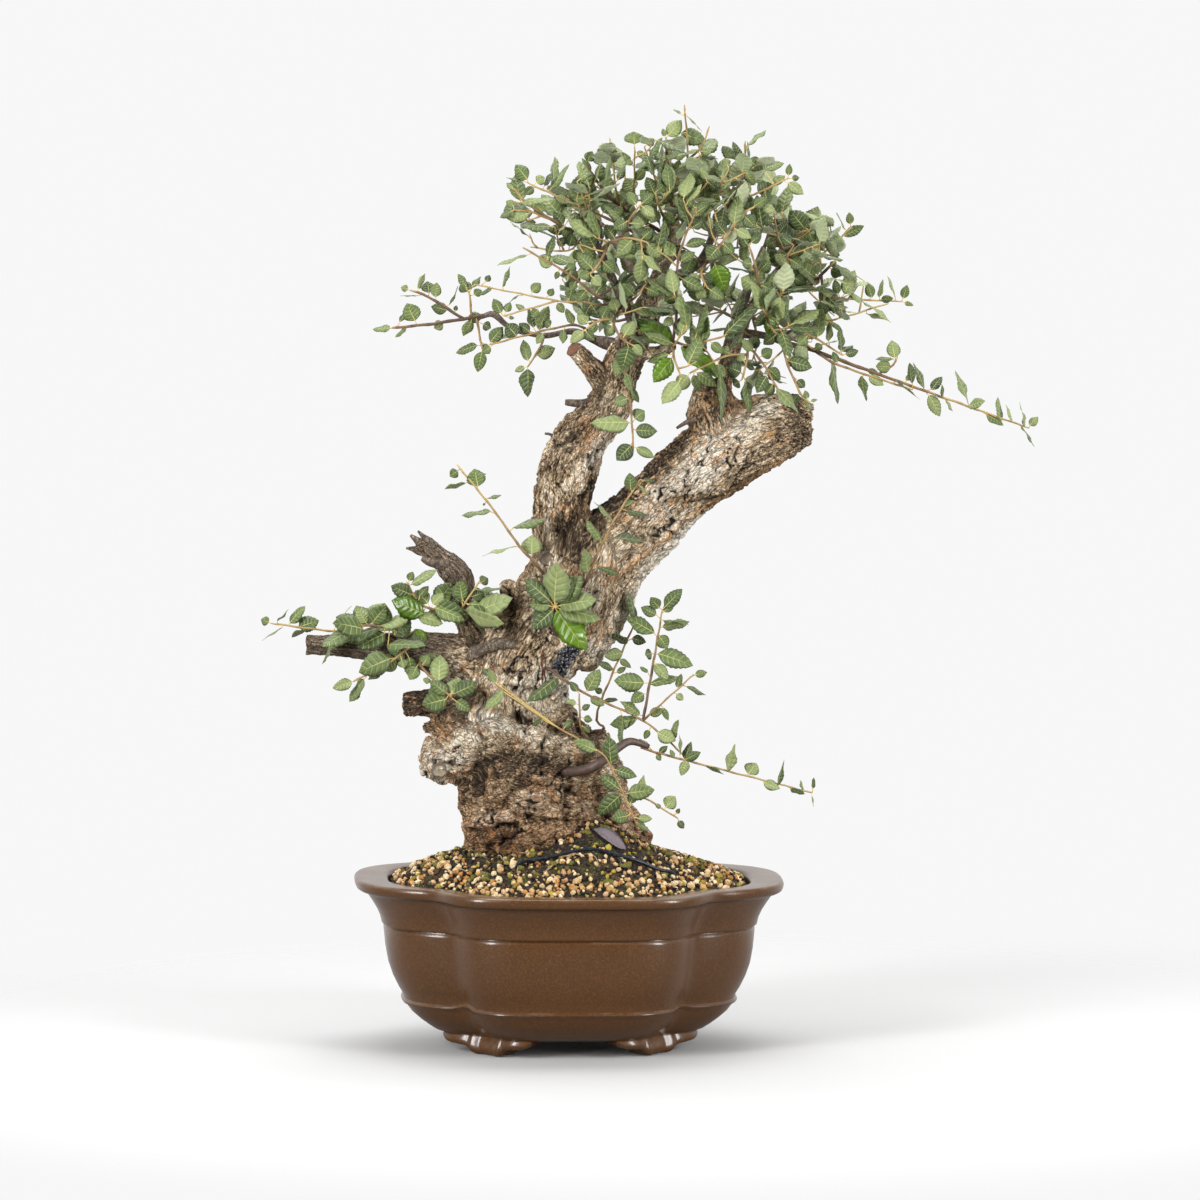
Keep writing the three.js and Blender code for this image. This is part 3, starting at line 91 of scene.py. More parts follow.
# Height of each level of the pot and its size as a share of the rim's plan
POT_OUTSIDE = [
    (17, 0.6), (19, 0.632), (22.5, 0.66), (28, 0.698), (35, 0.738), (40, 0.757), (42.4, 0.766),
    (43.4, 0.778), (45, 0.7835), (46.8, 0.7795), (47.8, 0.773), (50, 0.775), (58, 0.799), (68, 0.8235),
    (80, 0.844), (94, 0.8565), (106, 0.8625), (112, 0.8648), (113.6, 0.864), (114.6, 0.8605),
    (115.6, 0.856), (116.4, 0.856), (116.8, 0.872), (117.4, 0.8762), (119, 0.878), (124, 0.884),
    (131, 0.9), (138, 0.922), (143, 0.939), (146, 0.949), (147.4, 0.962), (148.2, 0.981),
    (149.6, 0.992), (152, 0.998), (154.6, 1.0), (156.6, 0.9965), (157.8, 0.989), (158, 0.979),
]
POT_INSIDE = [
    (157.9, 0.93), (157.6, 0.872), (157.2, 0.8545), (156.2, 0.846), (153.6, 0.8405), (149, 0.838),
    (120, 0.81), (60, 0.745), (34, 0.71), (29, 0.69),
]

# The low rib rises a little at the notches between the lobes
RIB_HEIGHT = 45
RIB_BAND = 6
RIB_RISE = 3.2

# Bracket feet under the four notches: share of the half length, height of the underside
FOOT_PROFILE = [
    (1.0, 14.5), (0.95, 11.8), (0.9, 10), (0.82, 8.8), (0.76, 8.4), (0.7, 8.4), (0.62, 8), (0.54, 7.6),
    (0.47, 7.4), (0.42, 5.2), (0.36, 1.8), (0.28, 0.3), (0.18, 0.2), (0.08, 0.8), (0.0, 0.0),
]
NOTCH_ANGLE = math.radians(41)
FOOT_HALF_ANGLE = math.radians(27)
FOOT_DEPTH = 24
FOOT_TOP = 20
POT_BASE_SHARE = 0.6

# Drain holes in the floor and the lattices that cover them
DRAIN_RADIUS = 14
DRAIN_ACROSS = 62
DRAIN_SIDES = 40
DRAIN_CUTTER = [(4, 16), (17, 15.2), (18, DRAIN_RADIUS), (27.2, DRAIN_RADIUS), (28.6, 16), (40, 16)]
LATTICE_SIZE = 42
LATTICE_THICKNESS = 1.2
LATTICE_PITCH = 6
LATTICE_THREAD = 0.42
LATTICE_STATIONS = 15

# Soil: a mound that rises from the wall to the roots, higher at the right root
SOIL_EDGE = 154
SOIL_RISE = 38
SOIL_FALL = 4
SOIL_WALL_SHARE = 0.834
ROOT_MOUND = {"x": 25, "y": -45, "rise": 30, "spread_x": 32, "spread_y": 34}

# Wood: the route of each limb as (x, h, y, radius), and the flattened limbs' depth for their breadth
WOOD = {
    "butt": [
        (-14, 112, 0, 66), (-15, 160, 0, 78), (-15, 190, 0, 79), (-22, 218, 0, 79), (-25, 243, 0, 79),
        (-30, 268, 2, 73), (-40, 292, 4, 62), (-47, 312, 4, 51), (-45, 332, 3, 50), (-39, 352, 2, 54),
        (-25, 376, 0, 58), (-6, 400, 0, 54), (8, 425, 0, 53), (17, 452, 0, 50),
    ],
    "left limb": [
        (4, 436, -2, 38), (-6, 470, -4, 29), (-7, 500, -6, 27), (-4, 524, -8, 28.5), (2, 545, -9, 28),
        (12, 563, -9, 26), (28, 583, -8, 23), (42, 604, -6, 20.5), (47, 624, -4, 19), (55, 646, -2, 17.5),
        (67, 670, 1, 14.5), (76, 692, 4, 11.5), (82, 714, 8, 8.5), (90, 738, 14, 6), (96, 764, 18, 4),
    ],
    "right limb": [
        (18, 436, 0, 46), (40, 460, 2, 42), (62, 480, 4, 37), (96, 513, 7, 34.5), (135, 547, 10, 37),
        (176, 571, 12, 36), (208, 579, 13, 30), (226, 578, 13, 19),
    ],
    "right root": [(22, 222, -6, 30), (50, 205, -8, 21), (66, 190, -8, 13), (82, 168, -8, 7)],
    "back left root": [(-50, 222, 36, 26), (-84, 196, 62, 16), (-104, 168, 78, 8)],
    "back right root": [(10, 224, 36, 26), (36, 200, 62, 15), (54, 170, 82, 7)],
    "front root": [(-52, 205, -44, 22), (-66, 186, -66, 14), (-76, 160, -82, 7)],
    "burl": [(-78, 276, -4, 34), (-106, 272, -8, 29), (-124, 265, -10, 21), (-137, 261, -10, 8)],
    "burl lip": [(-90, 303, -8, 11), (-116, 298, -12, 8), (-135, 296, -14, 5.5)],
    "low stub": [(-86, 324, -4, 20), (-118, 319, -8, 13), (-140, 318, -10, 12.5), (-153, 317, -11, 11)],
    "long stub": [
        (-76, 352, 0, 30), (-104, 360, -6, 22), (-132, 366, -10, 17), (-162, 370, -13, 13.5),
        (-204, 372, -16, 12), (-245, 373, -19, 11),
    ],
    "spur": [(-200, 376, -16, 5), (-208, 390, -18, 4), (-214, 400, -19, 2.6)],
    "dead stub": [
        (-74, 368, 2, 22), (-88, 392, 0, 16), (-97, 418, -2, 14.5), (-106, 440, -3, 13.5),
        (-122, 456, -4, 10.5), (-138, 469, -5, 8),
    ],
    "dead prong": [(-112, 448, -8, 6), (-128, 450, -12, 4.5), (-136, 454, -13, 2.5)],
    "hollow stub": [(-38, 388, -16, 17), (-50, 410, -24, 11), (-57, 432, -28, 7.5)],
    "grown over limb": [(-98, 356, -10, 9), (-80, 369, -30, 7), (-60, 374, -39, 5.4), (-36, 370, -41, 3.6)],
    "smooth side branch": [
        (-20, 258, -52, 6.5), (2, 255, -65, 6), (22, 260, -68, 4.7), (36, 270, -68, 4.4),
        (47, 279, -64, 4.1), (58, 284, -58, 3.6), (74, 279, -52, 2.6),
    ],
    "upper left stub": [(42, 600, -6, 14), (28, 622, -10, 11), (14, 638, -12, 9.5), (4, 648, -13, 8.5)],
    "pointed stub": [(34, 600, -8, 8), (16, 597, -14, 5), (-3, 598, -17, 2.6)],
    "hooked twig": [(0, 560, -12, 3), (-12, 561, -16, 2), (-16, 568, -17, 1.4), (-22, 569, -18, 1)],
    "knob": [(142, 566, 8, 28), (133, 594, 2, 25.5), (128, 610, 0, 18), (126, 620, 0, 9)],
    "dead twig": [(124, 584, -12, 3.4), (112, 581, -16, 2.4), (100, 574, -18, 1.2)],
    "knob branch": [
        (138, 598, 4, 12), (147, 630, 8, 8), (153, 655, 8, 7), (163, 677, 6, 6), (178, 691, 2, 4.6),
        (203, 700, -3, 3.4), (230, 712, -8, 2.4),
    ],
    "right arm": [(166, 680, 6, 4.4), (186, 710, 4, 3.4), (204, 734, 0, 2.6), (214, 747, -4, 2)],
    "right low arm": [(156, 662, 8, 4.6), (180, 660, -6, 3.6), (204, 652, -14, 2.8), (222, 647, -18, 2.3)],
    "left arm": [
        (66, 668, 0, 8), (50, 692, -16, 4.4), (38, 718, -24, 3.6), (28, 740, -30, 3), (18, 757, -34, 2.4),
    ],
    "crossing arm": [
        (79, 702, 4, 7), (100, 714, -6, 5), (121, 727, -12, 4), (133, 751, -16, 3.4), (144, 774, -18, 2.6),
    ],
    "short arm": [(56, 643, -6, 10), (74, 643, -18, 6), (88, 646, -30, 4), (96, 650, -38, 2.6)],
    "low left arm": [
        (50, 650, 4, 9), (26, 656, 6, 4.4), (4, 664, 6, 3), (-22, 660, 6, 2.6), (-45, 664, 6, 2.4),
        (-58, 670, 6, 2.6), (-70, 680, 6, 2.8), (-82, 677, 6, 2),
    ],
    "back left arm": [(78, 698, 8, 8), (62, 722, 36, 5), (46, 744, 58, 3.6), (34, 764, 74, 2.4)],
    "back arm": [(83, 716, 10, 6), (98, 742, 40, 4.4), (108, 768, 62, 2.8)],
    "back right arm": [(150, 648, 10, 7), (160, 684, 40, 5), (172, 720, 62, 3.4), (182, 744, 76, 2.4)],
}
FLATTENED = {"butt": 0.82, "left limb": 0.92, "right limb": 0.9, "dead stub": 0.85}

# Leafy sprays. A stem is (first radius, last radius, (x, h, y), ...). A leaf is (x, h of its base,
# x, h of its tip, the width seen from the front). The solids have the first leaves too. Ruled is
# the number of leaves that a rule sets along each stem instead.
SPRAYS = {
    "spray_left_long": dict(stems=[
        (1.6, 1.1, (-78, 679, 6), (-125, 671, -2), (-164, 667, -4)),
        (1.4, 0.9, (-96, 676, 2), (-130, 696, 6), (-147, 702, 6)),
        (1.1, 0.8, (-88, 677, 4), (-92, 700, -6)),
        (1.1, 0.8, (-83, 676, 5), (-80, 647, -4)),
    ], leaves=[
        (-162, 667, -182, 667, 7), (-141, 671, -150, 689, 16), (-114, 673, -125, 667, 9),
        (-129, 697, -131, 711, 13), (-124, 693, -122, 709, 9), (-110, 683, -128, 688, 10),
        (-92, 698, -99, 710, 11), (-97, 676, -79, 677, 9), (-90, 674, -98, 659, 9), (-82, 652, -105, 645, 8),
        (-80, 648, -84, 626, 11),
    ], more=[
        (-158, 670, -151, 683, 5), (-148, 669, -161, 659, 4), (-146, 702, -155, 705, 6),
        (-141, 701, -133, 718, 6), (-138, 697, -156, 698, 2), (-111, 688, -100, 705, 2),
        (-106, 680, -104, 688, 4), (-93, 702, -102, 717, 6), (-91, 702, -82, 715, 6),
        (-90, 696, -81, 702, 8), (-82, 672, -72, 667, 8), (-81, 655, -73, 643, 7),
    ]),
    "spray_left_hanging": dict(stems=[
        (1.2, 0.8, (-23, 661, 5), (-26, 650, -3), (-38, 631, -5)),
    ], leaves=[
        (-38, 632, -37, 603, 13), (-32, 641, -12, 648, 13),
    ], more=[
        (-37, 634, -43, 656, 9), (-38, 632, -50, 627, 6),
    ]),
    "spray_left_low": dict(stems=[
        (1.3, 0.8, (26, 656, 4), (12, 668, -12), (-10, 667, -20), (-73, 651, -26)),
    ], leaves=[
        (-74, 651, -61, 668, 12), (-46, 657, -58, 670, 13), (6, 668, -3, 684, 8), (-32, 664, -36, 686, 8),
        (-28, 665, -17, 686, 10),
    ], more=[
        (-70, 651, -80, 643, 8), (-34, 661, -46, 671, 9), (-22, 664, -30, 652, 7), (-14, 667, -22, 672, 8),
        (-4, 668, -6, 652, 6), (-52, 657, -66, 660, 5), (14, 667, 10, 655, 8),
    ]),
    "spray_left_thin": dict(stems=[
        (1.2, 0.7, (50, 690, -14), (30, 687, -38), (14, 690, -44), (-10, 691, -42), (-86, 706, -34)),
        (0.9, 0.7, (-12, 691, -42), (-60, 677, -40)),
    ], leaves=[
        (-36, 697, -26, 707, 9), (-61, 677, -69, 693, 9), (-59, 678, -54, 690, 8), (0, 690, 4, 704, 10),
        (12, 690, 3, 696, 12), (20, 688, 14, 674, 10),
    ], more=[
        (-77, 706, -73, 715, 6), (-86, 706, -94, 702, 3), (-68, 704, -84, 697, 5), (-61, 704, -56, 723, 4),
        (-44, 698, -57, 688, 2), (-58, 676, -50, 675, 3), (-38, 681, -49, 688, 5), (-26, 685, -34, 676, 8),
        (-12, 691, -4, 680, 7), (-20, 693, -14, 702, 6),
    ]),
    "spray_left_upper": dict(stems=[
        (1.5, 0.8, (50, 692, -18), (28, 694, -56), (0, 715, -62), (-42, 739, -60)),
    ], leaves=[
        (-12, 722, -28, 731, 13), (-20, 728, -14, 751, 7), (18, 702, 8, 690, 9), (24, 697, 34, 708, 10),
    ], more=[
        (-3, 717, 6, 724, 8), (-35, 733, -66, 726, 3), (-8, 720, -12, 710, 5), (8, 710, 2, 700, 8),
        (14, 706, 24, 716, 8), (8, 710, 18, 722, 8),
    ]),
    "spray_top_left": dict(stems=[
        (1.8, 0.9, (20, 754, -32), (2, 756, -40), (-15, 765, -44), (-40, 782, -46), (-50, 794, -46)),
        (0.9, 0.7, (-14, 764, -44), (-34, 772, -50), (-50, 774, -52)),
        (0.9, 0.7, (22, 750, -31), (0, 737, -44), (-35, 740, -48)),
    ], leaves=[
        (-34, 772, -54, 765, 10), (-44, 781, -15, 787, 8), (2, 756, -20, 757, 9), (8, 756, 6, 772, 12),
        (12, 742, 26, 730, 11), (14, 755, 20, 740, 11),
    ], more=[
        (-50, 777, -57, 782, 7), (-50, 774, -63, 767, 6), (-49, 792, -57, 799, 5), (-22, 769, -30, 781, 10),
        (-3, 759, -14, 774, 9), (0, 738, 4, 752, 10), (4, 740, 12, 728, 9), (-10, 738, -4, 750, 8),
        (-34, 777, -44, 770, 7), (-6, 760, 4, 748, 10),
    ]),
    "spray_top_left_high": dict(stems=[
        (1.7, 0.8, (92, 742, 13), (66, 752, -14), (40, 765, -30), (2, 781, -42), (-37, 799, -46)),
        (0.9, 0.7, (18, 775, -38), (8, 800, -54)),
    ], leaves=[
        (-36, 800, -48, 815, 13), (-18, 791, 0, 817, 9), (18, 777, 4, 803, 20), (30, 770, 40, 782, 11),
        (44, 763, 34, 748, 10), (52, 760, 62, 772, 12),
    ], more=[
        (-32, 798, -22, 804, 9), (-24, 794, -14, 810, 6), (-38, 800, -57, 806, 3), (2, 781, -12, 786, 8),
        (26, 771, 22, 756, 10), (40, 766, 50, 778, 10), (60, 756, 58, 742, 10), (8, 800, 18, 808, 7),
        (-30, 797, -40, 788, 7),
    ]),
    "spray_top_twigs": dict(stems=[
        (1.9, 0.9, (93, 752, 16), (47, 779, -16), (30, 797, -24), (16, 817, -28)),
        (1.1, 0.7, (46, 780, -16), (43, 800, -22), (38, 841, -26)),
        (1.0, 0.7, (56, 772, -10), (60, 790, -26), (61, 832, -38)),
    ], leaves=[
        (16, 817, 22, 829, 10), (30, 799, 30, 817, 11), (38, 790, 38, 806, 9), (61, 832, 60, 846, 16),
        (62, 790, 52, 804, 14), (60, 800, 70, 812, 9),
    ], more=[
        (22, 808, 12, 822, 6), (43, 815, 40, 833, 8), (61, 830, 72, 822, 6), (59, 815, 50, 828, 5),
        (60, 812, 70, 806, 8), (28, 799, 18, 806, 7), (44, 800, 52, 816, 7), (36, 790, 26, 784, 9),
        (52, 776, 60, 788, 7), (61, 822, 54, 816, 6),
    ]),
    "spray_crown_top": dict(stems=[
        (1.9, 0.9, (97, 764, 18), (92, 815, -14), (90, 842, -18)),
        (1.4, 0.7, (97, 772, 12), (106, 800, -6), (110, 828, -16), (107, 872, -20)),
        (1.1, 0.7, (96, 785, 4), (82, 800, -14), (70, 833, -24)),
        (1.0, 0.7, (109, 822, -14), (122, 832, -22), (130, 852, -24)),
    ], leaves=[
        (90, 841, 104, 858, 12), (104, 846, 127, 838, 14), (97, 824, 120, 832, 6), (110, 815, 104, 798, 10),
        (102, 806, 122, 822, 15), (92, 815, 84, 802, 10), (96, 795, 88, 782, 10), (104, 795, 114, 788, 10),
    ], more=[
        (90, 840, 87, 850, 5), (107, 862, 97, 868, 2), (107, 864, 124, 848, 2), (88, 822, 75, 832, 5),
        (70, 833, 79, 840, 7), (122, 824, 138, 821, 2), (78, 812, 88, 820, 9), (82, 800, 72, 794, 9),
        (120, 830, 132, 828, 8), (94, 803, 100, 818, 8), (76, 820, 66, 814, 8), (108, 838, 98, 834, 9),
    ]),
    "spray_top_right": dict(stems=[
        (1.7, 0.8, (144, 773, -18), (156, 792, -28), (162, 812, -32), (163, 838, -34)),
        (1.2, 0.7, (150, 783, -24), (170, 788, -40), (202, 803, -46)),
        (1.0, 0.7, (146, 778, -20), (140, 795, -34), (148, 812, -38)),
    ], leaves=[
        (160, 820, 152, 838, 8), (163, 822, 180, 812, 13), (162, 812, 172, 797, 9), (200, 801, 216, 788, 10),
        (172, 789, 188, 798, 15), (154, 790, 172, 776, 14), (141, 790, 130, 780, 10),
    ], more=[
        (163, 832, 182, 849, 4), (180, 812, 198, 820, 8), (148, 812, 144, 822, 8), (202, 803, 204, 816, 6),
        (203, 803, 213, 804, 6), (186, 797, 200, 806, 8), (141, 795, 128, 800, 9), (142, 803, 134, 814, 6),
        (170, 788, 160, 797, 9), (150, 785, 142, 798, 9), (180, 793, 184, 780, 10), (163, 800, 160, 788, 10),
    ]),
    "spray_right_high": dict(stems=[
        (1.6, 0.8, (208, 740, -2), (212, 752, -18), (222, 757, -24)),
        (1.3, 0.8, (200, 730, 1), (196, 740, -20), (192, 756, -28), (190, 772, -30)),
    ], leaves=[
        (220, 756, 205, 774, 18), (200, 738, 189, 762, 16), (206, 742, 213, 728, 11),
        (196, 738, 184, 728, 12),
    ], more=[
        (222, 756, 226, 744, 8), (190, 772, 184, 782, 8), (191, 764, 178, 766, 10), (190, 770, 196, 780, 6),
        (194, 748, 182, 742, 12), (193, 752, 202, 764, 9), (214, 753, 224, 768, 8),
    ]),
    "spray_right_upper": dict(stems=[
        (1.5, 0.8, (206, 701, -4), (216, 716, 4), (262, 760, -2)),
    ], leaves=[
        (236, 738, 233, 766, 12), (242, 743, 249, 757, 10), (252, 751, 274, 761, 8),
        (224, 726, 214, 738, 10),
    ], more=[
        (238, 739, 226, 752, 8), (257, 756, 248, 773, 3), (261, 760, 260, 774, 7), (238, 738, 253, 742, 4),
        (232, 733, 255, 733, 2), (220, 721, 206, 716, 9), (216, 717, 228, 711, 9),
    ]),
    "spray_right_mid": dict(stems=[
        (1.7, 0.9, (229, 711, -8), (247, 729, -16)),
        (1.4, 0.7, (226, 709, -7), (238, 699, -18), (252, 694, -20), (308, 691, -16)),
        (1.0, 0.7, (236, 701, -16), (236, 684, -26), (240, 673, -28), (296, 689, -24)),
    ], leaves=[
        (228, 713, 209, 729, 15), (240, 722, 254, 716, 12), (232, 703, 258, 680, 15),
        (254, 695, 265, 720, 12), (250, 695, 246, 711, 8), (282, 692, 276, 708, 9), (270, 692, 300, 676, 3),
        (238, 675, 233, 690, 9),
    ], more=[
        (240, 722, 248, 728, 6), (287, 692, 289, 712, 5), (286, 692, 300, 694, 7), (303, 692, 298, 715, 2),
        (309, 691, 313, 706, 7), (308, 691, 319, 687, 4), (272, 681, 293, 672, 2), (240, 673, 254, 664, 5),
        (228, 712, 216, 718, 8),
    ]),
    "spray_right_long": dict(stems=[
        (1.9, 0.7, (221, 648, -18), (300, 619, -24), (426, 574, -24)),
        (1.3, 0.8, (222, 646, -18), (250, 632, -32), (318, 609, -36)),
        (1.0, 0.7, (290, 624, -23), (300, 632, -32), (304, 640, -34)),
    ], leaves=[
        (425, 574, 434, 584, 7), (419, 576, 432, 557, 4), (242, 640, 253, 597, 4), (271, 625, 272, 598, 8),
        (275, 623, 291, 614, 9), (301, 630, 284, 631, 11), (302, 636, 299, 655, 12), (330, 608, 321, 635, 7),
        (318, 612, 314, 634, 6), (334, 607, 345, 622, 7), (332, 607, 345, 585, 11), (371, 593, 361, 628, 3),
        (384, 588, 403, 578, 7), (401, 581, 399, 603, 6),
    ], more=[
        (274, 629, 288, 624, 6), (303, 617, 323, 599, 3), (303, 638, 284, 638, 3), (310, 616, 318, 624, 5),
        (346, 602, 347, 614, 3), (349, 600, 357, 590, 3), (370, 594, 383, 600, 7), (411, 579, 407, 596, 3),
        (423, 575, 418, 598, 4), (250, 632, 244, 644, 6),
    ]),
    "spray_right_low": dict(stems=[
        (1.4, 0.8, (198, 654, -12), (206, 664, -30), (222, 660, -36), (253, 641, -38)),
        (1.2, 0.8, (196, 655, -12), (200, 640, -34), (214, 606, -42), (222, 597, -42)),
    ], leaves=[
        (230, 655, 233, 684, 12), (222, 660, 207, 674, 16), (222, 660, 212, 650, 11),
        (202, 636, 225, 630, 14), (200, 640, 212, 632, 10), (214, 663, 222, 675, 9),
    ], more=[
        (240, 651, 241, 672, 6), (252, 642, 251, 666, 5), (253, 641, 268, 645, 7), (250, 643, 263, 652, 6),
        (209, 620, 218, 611, 8), (214, 607, 206, 596, 8), (216, 604, 226, 588, 4), (221, 598, 230, 600, 3),
        (222, 598, 218, 608, 5), (236, 653, 228, 646, 7),
    ]),
    "spray_front_right": dict(stems=[
        (1.5, 0.8, (170, 662, 0), (166, 648, -34), (164, 632, -46), (160, 618, -48)),
        (1.2, 0.8, (166, 650, -30), (180, 632, -50), (196, 604, -54)),
        (1.2, 0.8, (165, 642, -40), (146, 640, -48), (112, 624, -54)),
    ], leaves=[
        (162, 624, 147, 630, 15), (163, 620, 168, 588, 9), (190, 612, 213, 590, 12),
        (182, 630, 196, 618, 12), (184, 624, 174, 606, 11), (112, 624, 99, 608, 12), (116, 626, 137, 614, 9),
    ], more=[
        (160, 618, 152, 613, 9), (194, 606, 206, 600, 8), (176, 638, 188, 646, 11), (114, 625, 122, 606, 9),
        (134, 634, 144, 620, 9), (138, 636, 146, 582, 4), (166, 646, 176, 658, 10), (150, 641, 140, 648, 9),
        (172, 643, 160, 655, 9), (190, 615, 182, 604, 9), (164, 634, 156, 642, 8),
    ]),
    "spray_front_stem": dict(stems=[
        (1.6, 0.8, (95, 650, -36), (99, 672, -52), (101, 728, -60), (118, 775, -62)),
        (1.3, 0.8, (96, 652, -38), (112, 650, -56), (144, 658, -64)),
        (1.2, 0.8, (95, 649, -37), (98, 636, -60), (104, 620, -66)),
    ], leaves=[
        (97, 650, 64, 677, 17), (104, 648, 146, 623, 17), (97, 640, 78, 616, 16), (104, 618, 87, 596, 15),
        (143, 658, 172, 690, 15), (102, 712, 124, 700, 12), (101, 730, 84, 746, 12), (112, 758, 104, 784, 9),
    ], more=[
        (95, 642, 72, 636, 9), (140, 658, 155, 662, 12), (130, 654, 142, 642, 9), (102, 704, 92, 720, 9),
        (105, 740, 126, 748, 8), (116, 770, 130, 780, 10), (118, 774, 108, 784, 8), (101, 725, 116, 735, 9),
        (100, 690, 112, 680, 10), (101, 696, 88, 690, 10), (112, 756, 124, 764, 9), (99, 676, 88, 668, 9),
    ]),
    "spray_front_glossy": dict(stems=[
        (1.5, 0.8, (122, 728, -12), (134, 727, -58), (140, 742, -62), (152, 757, -64)),
        (1.2, 0.8, (128, 731, -40), (122, 716, -58), (128, 702, -62)),
        (1.2, 0.8, (150, 755, -64), (160, 770, -64), (176, 778, -62)),
    ], leaves=[
        (134, 726, 145, 698, 21), (140, 742, 128, 728, 14), (152, 757, 155, 786, 13),
        (160, 770, 172, 758, 12), (128, 702, 144, 692, 12),
    ], more=[
        (152, 757, 168, 748, 9), (176, 778, 190, 772, 9), (122, 716, 112, 706, 11), (126, 704, 118, 692, 11),
        (146, 750, 136, 762, 10), (168, 775, 182, 784, 10), (141, 744, 152, 734, 10),
        (123, 717, 132, 706, 8),
    ]),
    "spray_front_right_mid": dict(stems=[
        (1.5, 0.8, (180, 691, 2), (182, 686, -30), (184, 672, -44), (192, 660, -48)),
        (1.4, 0.8, (182, 688, -24), (176, 704, -44), (172, 724, -52), (166, 742, -54)),
        (1.3, 0.8, (204, 701, -4), (206, 712, -30), (202, 730, -38), (208, 742, -40)),
    ], leaves=[
        (184, 682, 190, 654, 10), (186, 668, 203, 650, 12), (176, 702, 160, 712, 14),
        (174, 716, 186, 728, 12), (168, 738, 158, 752, 12), (203, 730, 216, 722, 12),
    ], more=[
        (192, 660, 180, 650, 10), (184, 680, 172, 668, 8), (166, 742, 178, 752, 9), (172, 724, 160, 726, 11),
        (206, 708, 194, 718, 10), (204, 722, 190, 734, 9), (208, 742, 196, 750, 10),
        (176, 706, 190, 700, 11), (184, 676, 198, 684, 9), (206, 714, 220, 706, 10),
    ]),
    "spray_front_hanging": dict(stems=[
        (1.5, 0.8, (50, 655, -10), (47, 652, -30), (52, 625, -44), (57, 600, -48), (60, 552, -48)),
    ], leaves=[
        (52, 640, 45, 622, 16), (59, 579, 22, 579, 14), (59, 572, 82, 570, 12), (60, 560, 45, 544, 14),
    ], more=[
        (52, 628, 62, 603, 7), (57, 602, 42, 596, 11), (59, 580, 70, 590, 12), (60, 557, 79, 547, 9),
        (50, 642, 60, 650, 10), (55, 612, 66, 598, 7),
    ]),
    "spray_front_left_mid": dict(stems=[
        (1.6, 0.8, (52, 688, -14), (46, 682, -40), (42, 668, -56), (50, 655, -62), (58, 650, -64)),
        (1.2, 0.8, (48, 684, -34), (62, 694, -56), (72, 706, -62)),
        (1.2, 0.8, (44, 674, -50), (28, 672, -60), (16, 664, -64)),
    ], leaves=[
        (56, 651, 50, 626, 16), (50, 656, 60, 672, 12), (42, 668, 30, 680, 12), (16, 664, 2, 652, 10),
        (62, 694, 50, 706, 12), (72, 706, 64, 722, 13),
    ], more=[
        (28, 672, 18, 660, 9), (20, 668, 8, 678, 11), (70, 703, 84, 696, 11), (58, 690, 68, 678, 11),
        (42, 670, 34, 658, 11), (46, 680, 40, 694, 11), (30, 673, 36, 686, 10), (14, 664, 24, 654, 9),
        (58, 652, 68, 640, 9),
    ]),
    "spray_front_left_high": dict(stems=[
        (1.6, 0.8, (30, 738, -29), (40, 745, -52), (56, 748, -58), (72, 744, -62)),
        (1.3, 0.8, (36, 742, -46), (30, 728, -60), (20, 714, -66)),
        (1.3, 0.8, (48, 747, -56), (56, 764, -64), (66, 778, -66)),
    ], leaves=[
        (60, 748, 44, 732, 13), (72, 744, 84, 730, 13), (30, 728, 42, 716, 12), (24, 718, 8, 734, 13),
        (44, 746, 34, 760, 12), (52, 748, 62, 732, 11),
    ], more=[
        (66, 746, 78, 756, 12), (20, 714, 30, 704, 11), (56, 764, 42, 756, 12), (66, 778, 80, 768, 11),
        (64, 776, 54, 790, 10), (56, 762, 70, 760, 11), (22, 716, 10, 712, 9), (66, 778, 78, 788, 9),
    ]),
    "spray_crown_middle": dict(stems=[
        (1.6, 0.8, (95, 756, 16), (92, 762, -22), (84, 776, -42), (80, 790, -50)),
        (1.3, 0.8, (93, 760, -14), (106, 772, -36), (128, 800, -46)),
    ], leaves=[
        (82, 778, 66, 792, 13), (86, 773, 98, 762, 12), (84, 776, 76, 762, 11), (108, 774, 98, 788, 11),
        (80, 788, 72, 804, 10),
    ], more=[
        (80, 790, 92, 800, 11), (120, 788, 108, 796, 11), (128, 800, 138, 792, 10), (112, 778, 124, 770, 11),
        (96, 762, 86, 750, 11), (124, 793, 118, 808, 10), (128, 800, 122, 812, 8),
    ]),
    "spray_back_left": dict(ruled=2, stems=[
        (1.6, 0.8, (34, 763, 73), (2, 790, 88), (-14, 800, 90)),
        (1.4, 0.8, (40, 754, 66), (30, 748, 92), (16, 738, 106), (2, 730, 112)),
    ]),
    "spray_back_left_high": dict(ruled=2, stems=[
        (1.6, 0.8, (46, 744, 58), (52, 766, 72), (54, 790, 80), (52, 814, 82)),
        (1.3, 0.8, (50, 758, 68), (66, 772, 92), (80, 784, 104)),
    ]),
    "spray_back_left_low": dict(ruled=2, stems=[
        (1.6, 0.8, (64, 720, 33), (24, 696, 74), (6, 690, 84)),
        (1.4, 0.8, (56, 713, 44), (58, 698, 74), (50, 682, 92)),
    ]),
    "spray_back_middle": dict(ruled=2, stems=[
        (1.6, 0.8, (108, 766, 61), (114, 806, 74), (112, 828, 72)),
        (1.3, 0.8, (110, 776, 66), (128, 786, 88), (142, 798, 98)),
    ]),
    "spray_back_deep": dict(ruled=2, stems=[
        (1.6, 0.8, (98, 742, 40), (110, 724, 112)),
        (1.3, 0.8, (102, 737, 62), (76, 712, 96)),
    ]),
    "spray_back_right_high": dict(ruled=2, stems=[
